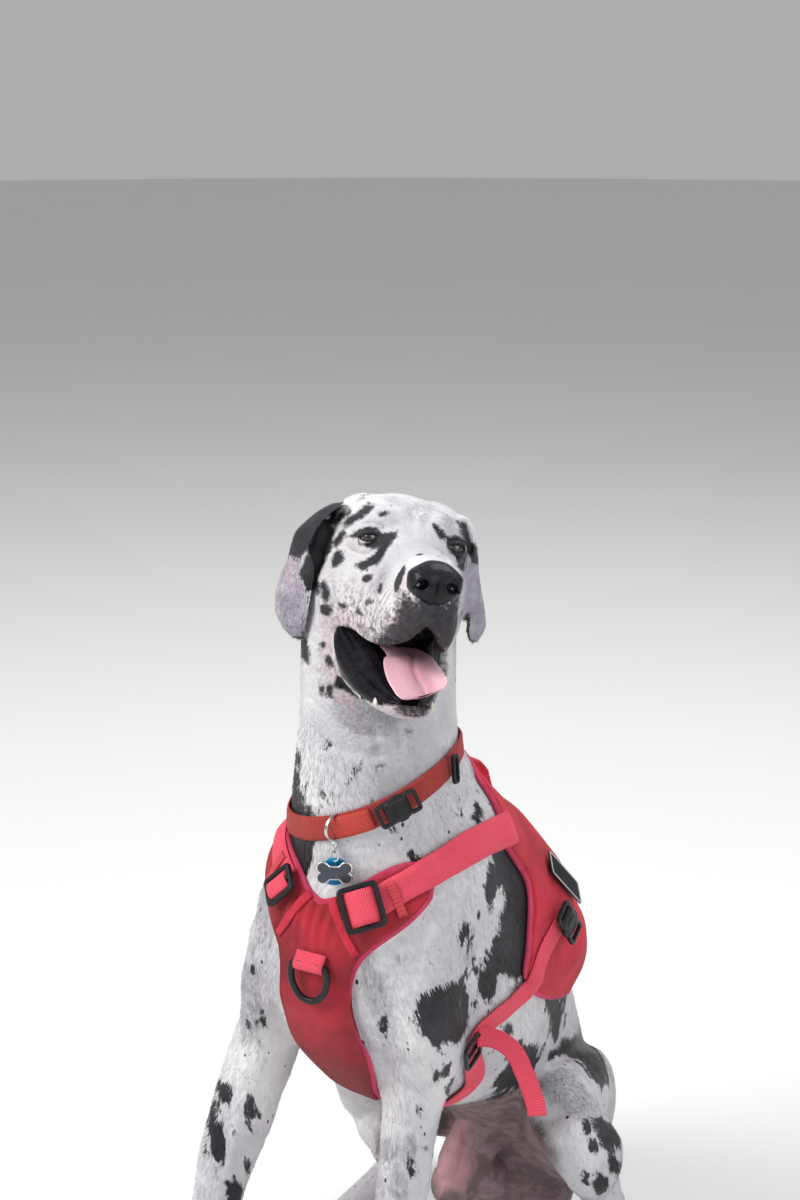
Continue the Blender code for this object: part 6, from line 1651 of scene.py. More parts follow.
@dataclass
class Mouth:
    """Glossy black lip folds, tongue and teeth."""

    place: Place
    tongue_rows: tuple = (
        (0.000, 0.002, -0.104, 0.0190, 0.0), (0.000, -0.020, -0.103, 0.0210, 0.001),
        (0.001, -0.050, -0.1035, 0.0225, 0.002), (0.001, -0.078, -0.1050, 0.0240, 0.003),
        (-0.001, -0.096, -0.1075, 0.0270, 0.003), (-0.002, -0.108, -0.1115, 0.0285, 0.003),
        (-0.001, -0.118, -0.1175, 0.0285, 0.002), (0.002, -0.1250, -0.1235, 0.0275, 0.0),
        (0.005, -0.1290, -0.1280, 0.0265, -0.002), (0.0070, -0.1312, -0.1308, 0.0240, -0.003),
        (0.0080, -0.1322, -0.1328, 0.0155, -0.003),
    )
    teeth: tuple = (
        (0.0300, -0.092, 0.0034, 0.009), (0.0320, -0.076, 0.0034, 0.008), (0.0335, -0.063, 0.0038, 0.012),
        (0.0360, -0.046, 0.0040, 0.012), (0.0150, -0.116, 0.0024, 0.0055), (0.0085, -0.119, 0.0024, 0.0055),
        (0.0028, -0.120, 0.0023, 0.0052),
    )
    lip_outer: tuple = (
        (-0.0610, 0.022, -0.089), (-0.0640, 0.012, -0.100), (-0.0620, 0.000, -0.114), (-0.0570, -0.018, -0.127),
        (-0.0500, -0.042, -0.1385), (-0.0425, -0.064, -0.1455), (-0.0340, -0.082, -0.1490),
        (-0.0230, -0.102, -0.1500), (-0.0100, -0.119, -0.1485),
    )
    lip_inner: tuple = (
        (-0.0560, 0.020, -0.086), (-0.0440, 0.004, -0.091), (-0.0350, -0.016, -0.097), (-0.0290, -0.036, -0.104),
        (-0.0245, -0.055, -0.113), (-0.0215, -0.072, -0.1215), (-0.0200, -0.086, -0.1285),
        (-0.0170, -0.102, -0.1345), (-0.0100, -0.116, -0.1400),
    )

    def fold(self, side: float) -> bpy.types.Object:
        """One glossy lip: elliptical sections strung between its outer and inner edges.

        Each section is a closed oval whose thickness swells and creases along the lip.
        """
        count, around = 84, 56
        mirror = np.array([-side * (0.70 if side > 0 else 1.0), 1.0, 1.0])
        outer = resample(np.array(self.lip_outer), count) * mirror
        inner = resample(np.array(self.lip_inner), count) * mirror
        middle, half = (outer + inner) / 2, (outer - inner) / 2
        tangent = unit(np.gradient(middle, axis=0))
        normal = unit(np.cross(tangent, unit(half)))
        front = np.array([-0.25 * -side, -0.95, 0.15])
        normal = normal * np.sign(normal @ front)[:, None]
        u = np.linspace(0.0, 1.0, count)[:, None]
        turn = np.linspace(0, 2 * np.pi, around + 1)[None, :-1]
        swell = 0.0088 * np.sin(np.pi * np.clip(u * 0.96 + 0.02, 0, 1)) ** 0.6
        across = np.cos(turn)
        crease = 0.30 * np.exp(-((across - 0.25 + 0.5 * u) / 0.16) ** 2)
        crease = crease + 0.22 * np.exp(-((across + 0.45 - 0.35 * u) / 0.13) ** 2)
        ripple = 0.10 * np.sin(34.0 * u + 3.0 * across) * smooth_step(u, 0.55, 0.9)
        height = np.sin(turn) * swell * np.where(np.sin(turn) > 0, 1.0 - crease + ripple, 0.75)
        rings = (middle[:, None] + half[:, None] * (across * 1.02)[..., None] + normal[:, None] * height[..., None])
        return close_tube("lip", self.place.on_head(rings.reshape(-1, 3)).reshape(count, around, 3))

    def tongue(self) -> bpy.types.Object:
        """Sections on (way out, angle round): flat ovals with a middle groove and lifted edges."""
        rows = resample(np.array(self.tongue_rows), 90)
        turn = np.linspace(0, 2 * np.pi, 73)[:-1]
        x, y, z, half, bow = rows.T
        path = np.stack([x, y, z], axis=1)
        tangent = unit(np.gradient(path, axis=0))
        across = np.tile([1.0, 0.0, 0.0], (len(rows), 1))
        across = unit(across - tangent * np.sum(across * tangent, axis=1, keepdims=True))
        up = unit(np.cross(across, tangent))
        up = up * np.sign(up[:, 2:3] - up[:, 1:2] * 0.2)
        c, s = np.cos(turn)[None], np.sin(turn)[None]
        thick = (0.0050 + 0.10 * half)[:, None] * np.where(s > 0, 0.62, 0.9)
        level = s * thick * np.sqrt(np.maximum(1.0 - 0.55 * c ** 2, 0.05))
        top = smooth_step(s, 0.0, 0.4)
        level = level - 0.0021 * top * np.exp(-(c / 0.085) ** 2)
        level = level + (0.0040 * np.abs(c) ** 2.2 - bow[:, None] * c ** 2)
        u = np.linspace(0, 1, len(rows))[:, None]
        level = level + 0.0016 * np.sin(15.0 * u + 2.4 * c) * np.abs(c) ** 2 * smooth_step(u, 0.3, 0.8)
        spot = path[:, None] + across[:, None] * (half[:, None] * c)[..., None] + up[:, None] * level[..., None]
        obj = close_tube("tongue_body", self.place.on_head(spot.reshape(-1, 3)).reshape(90, 72, 3))
        ends = [1.0, 1.0]
        put_field(obj, "across", np.concatenate([np.broadcast_to(np.abs(c), (90, 72)).ravel(), ends]))
        # inner is 0 at the root inside the mouth, where the finish paints shade, and 1 towards the tip.
        inner = np.broadcast_to(smooth_step(u, 0.05, 0.40), (90, 72)).ravel()
        put_field(obj, "inner", np.concatenate([inner, ends]))
        obj.data.materials.append(TongueFinish().material())
        return obj

    def tooth_set(self) -> bpy.types.Object:
        """Curved pointed teeth on both sides: round sections that shrink along a bowed line."""
        parts = []
        turn = np.linspace(0, 2 * np.pi, 17)[:-1]
        way = np.linspace(0.0, 1.0, 12)
        for x, y, radius, tall in self.teeth:
            for side in (-1.0, 1.0):
                size = radius * np.maximum(1.0 - way ** 2.1, 0.03)
                lean = np.stack([side * 0.10 * way ** 2 * tall, 0.16 * way ** 2 * tall, way * tall], axis=1)
                spot = np.array([side * x * (0.78 if side > 0 else 1.0), y, -0.1505]) + lean
                ring = np.stack([np.cos(turn), 1.25 * np.sin(turn), np.zeros(16)], axis=1)
                rings = spot[:, None] + ring[None] * size[:, None, None]
                parts.append(close_tube("tooth", self.place.on_head(rings.reshape(-1, 3)).reshape(12, 16, 3)))
        obj = join_meshes("teeth", parts)
        obj.data.materials.append(TOOTH.material())
        return obj

    def build(self) -> None:
        """All pieces of the mouth."""
        lips = join_meshes("lip_folds", [self.fold(-1.0), self.fold(1.0)])
        lips.data.materials.append(BLACK_LIP.material())
        tongue = self.tongue()
        teeth = self.tooth_set()
        for obj, slot in ((lips, "nose_leather"), (tongue, "tongue"), (teeth, "coat")):
            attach(obj, ROOT)
        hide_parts("tongue")
        LOG.info("lips, tongue and teeth")


def blur(grid: Array, rounds: int, wrap: bool = False) -> Array:
    """Ease a grid of values: each becomes half itself and half its four neighbours' mean."""
    for _ in range(rounds):
        mode = "wrap" if wrap else "edge"
        pad = np.pad(grid, [(1, 1), (0, 0)] + [(0, 0)] * (grid.ndim - 2), mode=mode)
        side = np.pad(grid, [(0, 0), (1, 1)] + [(0, 0)] * (grid.ndim - 2), mode="edge")
        grid = 0.5 * grid + 0.125 * (pad[:-2] + pad[2:] + side[:, :-2] + side[:, 2:])
    return grid


def slab(name: str, low: Array, normal: Array, thick: Array, wrap: bool = False,
         uv: Array | None = None) -> bpy.types.Object:
    """A closed sheet: a grid, its copy raised along the normals, and walls round the rim.

    Args:
        name: the object's name.
        low: under side, rows by columns by 3.
        normal: way out at each point.
        thick: thickness at each point, metres.
        wrap: join the last row to the first.
        uv: a pair per point, metres.

    Returns:
        The object.
    """
    rows, cols = low.shape[:2]
    verts = np.vstack([(low + normal * thick[..., None]).reshape(-1, 3), low.reshape(-1, 3)])
    total = rows * cols
    index = np.arange(total).reshape(rows, cols)
    loops = [index[:, 0], index[::-1, -1]]
    if wrap:
        walls = [np.stack([a, np.roll(a, -1), np.roll(a, -1) + total, a + total], axis=1) for a in loops]
    else:
        ring = np.concatenate([index[0, :-1], index[:-1, -1], index[-1, :0:-1], index[:0:-1, 0]])
        after = np.roll(ring, -1)
        walls = [np.stack([ring, after, after + total, ring + total], axis=1)]
    faces = np.vstack([grid_faces(rows, cols, wrap_rows=wrap),
                       grid_faces(rows, cols, wrap_rows=wrap, flip=True) + total, *walls])
    obj = mesh_object(name, verts, faces)
    face_out(obj)
    if uv is not None:
        put_uv(obj, np.vstack([uv.reshape(-1, 2)] * 2))
    return obj


@dataclass(frozen=True)
class WebFinish:
    """Ribbed nylon webbing: ribs across its run, plain selvedges, with painted shade: the troughs between the ribs
    darker, the crests lighter.
    """

    name: str
    deep: tuple[float, float, float]
    light: tuple[float, float, float]
    pitch: float = 0.0024

    def material(self) -> bpy.types.Material:
        """Ribs are a sine of the way along; fibres are noise stretched along the run."""
        sh = Shader(self.name)
        flat = sh.coordinates("UV")
        split = sh.node("ShaderNodeSeparateXYZ")
        sh.link(flat, split.inputs[0])
        along, across = split.outputs[0], split.outputs[1]
        rib = sh.math("SINE", sh.math("MULTIPLY", along, 2.0 * math.pi / self.pitch))
        thread = sh.math("SINE", sh.math("MULTIPLY", across, 2.0 * math.pi / 0.0011))
        weave = sh.math("MULTIPLY_ADD", thread, 0.30, sh.math("MULTIPLY", rib, 0.7))
        worn = sh.noise(sh.coordinates(), 24.0, 4.0, 0.6)
        fuzz = sh.noise(sh.stretch(flat, (1.0, 4.0, 1.0)), 900.0, 3.0, 0.7)
        # The weave's height also tints the colour: painted shade in the rib troughs, lighter crests.
        tone = sh.math("ADD", sh.math("MULTIPLY", weave, 0.20), sh.math("MULTIPLY_ADD", fuzz, 0.55, 0.22))
        colour = sh.mix(sh.rise(tone, 0.1, 0.9), self.deep, self.light)
        dirty = tuple(0.62 * c for c in self.deep)
        colour = sh.mix(sh.rise(worn, 0.60, 0.85, 0.0, 0.45), colour, dirty)
        colour = sh.mix(sh.rise(worn, 0.42, 0.22, 0.0, 0.25), colour, tuple(min(1.0, c * 1.12 + 0.04) for c in self.light))
        height = sh.math("ADD", weave, sh.math("MULTIPLY", fuzz, 0.6))
        return sh.dress(Base_Color=colour, Roughness=0.72, Normal=sh.bump(height, 0.00045, 0.8),
                        Sheen_Weight=0.02)


@dataclass(frozen=True)
class PanelFinish:
    """Woven nylon over padding, dusty and rubbed."""

    name: str
    deep: tuple[float, float, float]
    light: tuple[float, float, float]
    stitched: bool = False
    shaded_low_end: bool = False

    def material(self) -> bpy.types.Material:
        """A plain weave of two sines, cloudy wear, painted shade at the low end and stitches on the binding."""
        sh = Shader(self.name)
        split = sh.node("ShaderNodeSeparateXYZ")
        flat = sh.coordinates("UV")
        sh.link(flat, split.inputs[0])
        warp = sh.math("SINE", sh.math("MULTIPLY", split.outputs[0], 2.0 * math.pi / 0.0014))
        weft = sh.math("SINE", sh.math("MULTIPLY", split.outputs[1], 2.0 * math.pi / 0.0014))
        weave = sh.math("MULTIPLY", warp, weft)
        where = sh.coordinates()
        cloud = sh.noise(where, 17.0, 4.0, 0.6)
        fine = sh.noise(where, 700.0, 3.0, 0.7)
        tone = sh.math("ADD", sh.math("MULTIPLY", cloud, 1.3), sh.math("MULTIPLY_ADD", fine, 0.5, -0.42))
        tone = sh.math("MULTIPLY_ADD", weave, 0.08, tone)
        colour = sh.mix(sh.rise(tone, 0.15, 0.85), self.deep, self.light)
        rub = sh.rise(sh.noise(sh.stretch(where, (1.0, 1.0, 0.35)), 95.0, 4.0, 0.65), 0.56, 0.74, 0.0, 0.30)
        colour = sh.mix(rub, colour, tuple(0.55 * c for c in self.deep))
        # Painted shade: the cloth darkens towards its lower end.
        if self.shaded_low_end:
            high = sh.node("ShaderNodeSeparateXYZ")
            sh.link(where, high.inputs[0])
            low = sh.rise(sh.math("MULTIPLY_ADD", cloud, 0.06, high.outputs[2]), 0.66, 0.48, 0.0, 0.62)
            colour = sh.mix(low, colour, tuple(0.50 * c for c in self.deep))
        height = sh.math("MULTIPLY_ADD", fine, 0.8, weave)
        if self.stitched:
            dash = sh.math("SINE", sh.math("MULTIPLY", split.outputs[0], 2.0 * math.pi / 0.0034))
            row = sh.rise(sh.math("ABSOLUTE", sh.math("SUBTRACT", split.outputs[1], 0.33)), 0.05, 0.02)
            stitch = sh.math("MULTIPLY", sh.rise(dash, -0.1, 0.3), row)
            colour = sh.mix(sh.math("MULTIPLY", stitch, 0.5), colour, tuple(0.45 * c for c in self.deep))
            height = sh.math("MULTIPLY_ADD", stitch, 1.6, height)
        wrinkle = sh.bump(sh.noise(where, 60.0, 4.0, 0.6), 0.0016, 0.5)
        return sh.dress(Base_Color=colour, Roughness=0.80, Normal=sh.bump(height, 0.0003, 0.7, wrinkle),
                        Sheen_Weight=0.02)


@dataclass(frozen=True)
class HardFinish:
    """Moulded plastic or metal, with scuffs."""

    name: str
    base: tuple[float, float, float]
    scuff: tuple[float, float, float]
    rough: float
    metal: float = 0.0
    brushed: bool = False

    def material(self) -> bpy.types.Material:
        """Fine grain, cloudy roughness and thin scuffs."""
        sh = Shader(self.name)
        where = sh.coordinates()
        thin = sh.noise(sh.stretch(where, (1.0, 0.12, 0.6)), 420.0, 3.0, 0.7)
        colour = sh.mix(sh.rise(thin, 0.56, 0.80, 0.0, 0.55), self.base, self.scuff)
        grain = sh.noise(sh.stretch(where, (0.06, 1.0, 1.0)) if self.brushed else where, 1500.0, 2.0)
        rough = sh.math("MULTIPLY_ADD", sh.noise(where, 130.0, 3.0), 0.24, self.rough - 0.12)
        sh.surface.inputs["Metallic"].default_value = self.metal
        sh.surface.inputs["Specular IOR Level"].default_value = 0.5 if self.metal else 0.28
        return sh.dress(Base_Color=colour, Roughness=rough, Normal=sh.bump(grain, 0.00008, 0.5))


COLLAR_WEB = WebFinish("collar_web", (0.23, 0.012, 0.010), (0.44, 0.038, 0.027))
# Painted light: a lighter copy of the collar webbing, for the collar's fold.
HIGHLIT_COLLAR_FOLD = WebFinish("highlit_collar_fold", (0.34, 0.020, 0.014), (0.62, 0.062, 0.040))
STRAP_WEB = WebFinish("strap_web", (0.60, 0.030, 0.058), (0.92, 0.092, 0.158))
# Painted shade: a darker copy of the strap webbing, for the strap's turned-back fold.
SHADED_FOLD_WEB = WebFinish("shaded_fold_web", (0.44, 0.020, 0.030), (0.66, 0.060, 0.080), 0.0050)
# The chest panel's cloth, with painted shade towards its lower end.
PANEL_CLOTH = PanelFinish("panel_cloth", (0.22, 0.005, 0.012), (0.52, 0.014, 0.034), False, True)
BACK_CLOTH = PanelFinish("back_cloth", (0.38, 0.008, 0.021), (0.66, 0.022, 0.054))
BINDING = PanelFinish("edge_binding", (0.52, 0.020, 0.070), (0.80, 0.068, 0.168), True)
PLASTIC = HardFinish("black_plastic", (0.011, 0.011, 0.013), (0.060, 0.060, 0.065), 0.38)
STEEL = HardFinish("steel", (0.60, 0.60, 0.58), (0.42, 0.41, 0.40), 0.24, 1.0)
TAG_DARK = HardFinish("tag_dark", (0.060, 0.064, 0.080), (0.16, 0.165, 0.18), 0.36, 0.4, True)
TAG_EDGE = HardFinish("tag_edge", (0.68, 0.68, 0.69), (0.45, 0.45, 0.46), 0.26, 1.0)
TAG_BLUE = HardFinish("tag_blue", (0.006, 0.22, 0.48), (0.03, 0.40, 0.66), 0.30, 0.2)
PATCH_RIM = HardFinish("patch_rim", (0.40, 0.40, 0.41), (0.25, 0.25, 0.26), 0.8)
PATCH_CLOTH = HardFinish("patch_cloth", (0.014, 0.014, 0.016), (0.10, 0.10, 0.105), 0.85)


@dataclass
class Bed:
    """What the gear lies on: the skin, and each layer laid before."""

    place: Place
    view: Viewpoint
    skin: bpy.types.Object
    trees: list = field(default_factory=list)
    laid: list = field(default_factory=list)
    axis_at: tuple[float, float, float] = (0.0, 0.080, 0.600)
    around: float = 0.14

    def start(self) -> None:
        """Make the skin the first layer."""
        self.trees = [tree_of(self.skin)]
        self.run = unit(np.array([0.0, 0.640, -0.768]))
        self.up = unit(np.array([0.0, 0.768, 0.640]))

    def seen(self, spots: Sequence[Sequence[float]], over: bool = False) -> Array:
        """Places of the skin, or with over of whatever lies on it, seen at spots of the frame."""
        out = []
        for x, y in spots:
            for _ in range(70):
                hit = self.trees[0].ray_cast(Vector(self.view.eye), Vector(self.view.ray((x, y))))[0]
                if hit is not None:
                    break
                x += 1.0 if x < 400.0 else -1.0
            for tree in self.trees[1:] if over else ():
                near = tree.ray_cast(Vector(self.view.eye), Vector(self.view.ray((x, y))))[0]
                if near is not None and (near - Vector(self.view.eye)).length < (hit - Vector(self.view.eye)).length:
                    hit = near
            out.append(hit)
        return np.array(out, float)

    def seen_on(self, tree: BVHTree, spot: Sequence[float]) -> Array:
        """The place of a laid piece nearest to what is seen at a spot of the frame."""
        ray = np.array(self.view.ray(spot))
        guess = self.view.eye + ray * (np.linalg.norm(self.seen((spot,))[0] - self.view.eye))
        for _ in range(4):
            found = np.array(tree.find_nearest(Vector(guess))[0])
            guess = self.view.eye + ray * ((found - self.view.eye) @ ray)
        return found

    def seat(self, grid: Array, eased: int = 4, wrap: bool = False) -> tuple[Array, Array]:
        """Nearest places of the skin to a grid, with eased normals."""
        spots, normals = nearest(self.trees[0], grid.reshape(-1, 3))
        normals = unit(blur(normals.reshape(grid.shape), eased, wrap))
        return spots.reshape(grid.shape), normals

    def rise(self, spots: Array, normals: Array, lift: float, gap: float = 0.0012) -> Array:
        """Height over the skin that clears every layer laid before."""
        flat, way = spots.reshape(-1, 3), normals.reshape(-1, 3)
        best = np.full(len(flat), lift)
        for tree in self.trees[1:]:
            hits, _, found = cast(tree, flat + way * 0.045, -way, 0.075)
            over = np.sum((hits - flat) * way, axis=1) + gap
            best = np.where(found, np.maximum(best, over), best)
        return best.reshape(spots.shape[:2])

    def add(self, obj: bpy.types.Object) -> None:
        """Count an object as laid."""
        self.trees.append(tree_of(obj))
        self.laid.append(obj)

    def to_round(self, points: Array) -> Array:
        """Arc about the trunk's axis and way along it."""
        rel = points - self.place.shift - np.array(self.axis_at)
        along = rel @ self.run
        return np.stack([np.arctan2(rel[:, 0], rel @ self.up) * self.around, along], axis=1)

    def from_round(self, arcs: Array) -> Array:
        """Places of the skin at arcs about the trunk's axis and ways along it."""
        angle = arcs[:, 0] / self.around
        out = np.sin(angle)[:, None] * np.array([1.0, 0.0, 0.0]) + np.cos(angle)[:, None] * self.up
        axis = self.place.body(np.array(self.axis_at)) + arcs[:, 1:2] * self.run
        hits, _, _ = cast(self.trees[0], axis + out * 0.5, -out)
        return hits


def weld(obj: bpy.types.Object) -> None:
    """Merge the points that meet at poles and face everything outwards."""
    bm = bmesh.new()
    bm.from_mesh(obj.data)
    bmesh.ops.remove_doubles(bm, verts=bm.verts, dist=1e-6)
    bmesh.ops.dissolve_degenerate(bm, dist=1e-6, edges=bm.edges)
    bmesh.ops.recalc_face_normals(bm, faces=bm.faces)
    bm.to_mesh(obj.data)
    bm.free()
    obj.data.polygons.foreach_set("use_smooth", np.full(len(obj.data.polygons), True))


@dataclass
class Stand:
    """Axes a small part is built in: its middle, two ways in its plane, its way out."""

    middle: Array
    u: Array
    v: Array
    n: Array
    half: Array

    def set(self, shape: tuple[Array, Array]) -> tuple[Array, Array]:
        """Carry local vertices to the room."""
        return self.middle + shape[0] @ np.stack([self.u, self.v, self.n], axis=0), shape[1]

    def moved(self, middle: Array, n: Array, u: Array) -> Stand:
        """The same at another place, facing n with u as near as can be to a way."""
        n = unit(n)
        u = unit(u - n * np.dot(u, n))
        return Stand(middle + n * 0.0026, u, np.cross(n, u), n, self.half)

    def turned(self) -> Stand:
        """The same with its ways in the plane swapped, so that u is the short one."""
        return Stand(self.middle, self.v, -self.u, self.n, self.half[[1, 0, 2]])


def join_parts(parts: Sequence[tuple[Array, Array]]) -> tuple[Array, Array]:
    """Several sets of vertices and four-sided faces as one."""
    start = np.cumsum([0] + [len(p[0]) for p in parts[:-1]])
    return np.vstack([p[0] for p in parts]), np.vstack([p[1] + s for p, s in zip(parts, start)])


def rope(line: Array, wide: float, deep: float, loop: bool) -> tuple[Array, Array]:
    """A rounded bar along a line in the plane z = const: half widths in and out of the plane."""
    run = np.roll(line, -1, axis=0) - np.roll(line, 1, axis=0) if loop else np.gradient(line, axis=0)
    run = unit(run)
    side = np.stack([run[:, 1], -run[:, 0], np.zeros(len(line))], axis=1)
    a = np.linspace(0, 2 * np.pi, 17)[:-1]
    c, s = np.cos(a), np.sin(a)
    flat, up = np.sign(c) * np.abs(c) ** 0.6 * wide, np.sign(s) * np.abs(s) ** 0.6 * deep
    verts = line[:, None] + side[:, None] * flat[None, :, None] + np.array([0.0, 0.0, 1.0]) * up[None, :, None]
    count = len(line)
    faces = grid_faces(count, 16, wrap_rows=loop, wrap_columns=True)
    verts = verts.reshape(-1, 3)
    if not loop:
        caps = []
        for row in (0, count - 1):
            ring = row * 16 + np.arange(16)
            caps.append(np.stack([ring[0:7], ring[1:8], ring[14:7:-1], ring[[15, 14, 13, 12, 11, 10, 9]]], axis=1))
        faces = np.vstack([faces, *caps])
    return verts, faces


def pillow(hu: float, hv: float, hn: float, power: float, at: Sequence[float] = (0.0, 0.0, 0.0)) -> tuple[Array, Array]:
    """A block with rounded edges: a sphere's directions pushed out to a superellipsoid."""
    lat = np.linspace(-np.pi / 2, np.pi / 2, 26)[:, None]
    lon = np.linspace(0, 2 * np.pi, 49)[None, :-1]
    way = np.stack([np.cos(lat) * np.cos(lon), np.cos(lat) * np.sin(lon), np.sin(lat) * np.ones((1, 48))], axis=-1)
    reach = np.sum(np.abs(way / np.array([hu, hv, hn])) ** power, axis=-1) ** (-1.0 / power)
    verts = (way * reach[..., None]).reshape(-1, 3) + np.array(at)
    return verts, grid_faces(26, 48, wrap_columns=True)


def layers(rows: Sequence[tuple[Array, float]], half: float) -> tuple[Array, Array]:
    """A flat tag, the same on both sides: outlines, each raised by its height times half."""
    both = list(rows) + [(outline, -height) for outline, height in rows[::-1]]
    rings = [np.column_stack([outline, np.full(len(outline), height * half)]) for outline, height in both]
    return np.vstack(rings), grid_faces(len(both), len(rows[0][0]), wrap_columns=True)


def bone(hu: float, hv: float, inset: float) -> Array:
    """A bone's outline: the farthest of four circles and a bar in each direction, all drawn in by inset."""
    a = np.linspace(0, 2 * np.pi, 145)[:-1]
    way = np.stack([np.cos(a), np.sin(a)], axis=1)
    r = 0.56 * hv
    reach = np.minimum(0.72 * hu / np.maximum(np.abs(way[:, 0]), 1e-6),
                       (0.62 * hv - inset) / np.maximum(np.abs(way[:, 1]), 1e-6))
    for sx in (-1, 1):
        for sy in (-1, 1):
            spot = np.array([sx * (hu - r), sy * (hv - r)])
            along = way @ spot
            gap = (r - inset) ** 2 - (np.sum(spot ** 2) - along ** 2)
            far = along + np.sqrt(np.maximum(gap, 0.0))
            reach = np.where((gap > 0) & (along > 0), np.maximum(reach, far), reach)
    return way * reach[:, None]


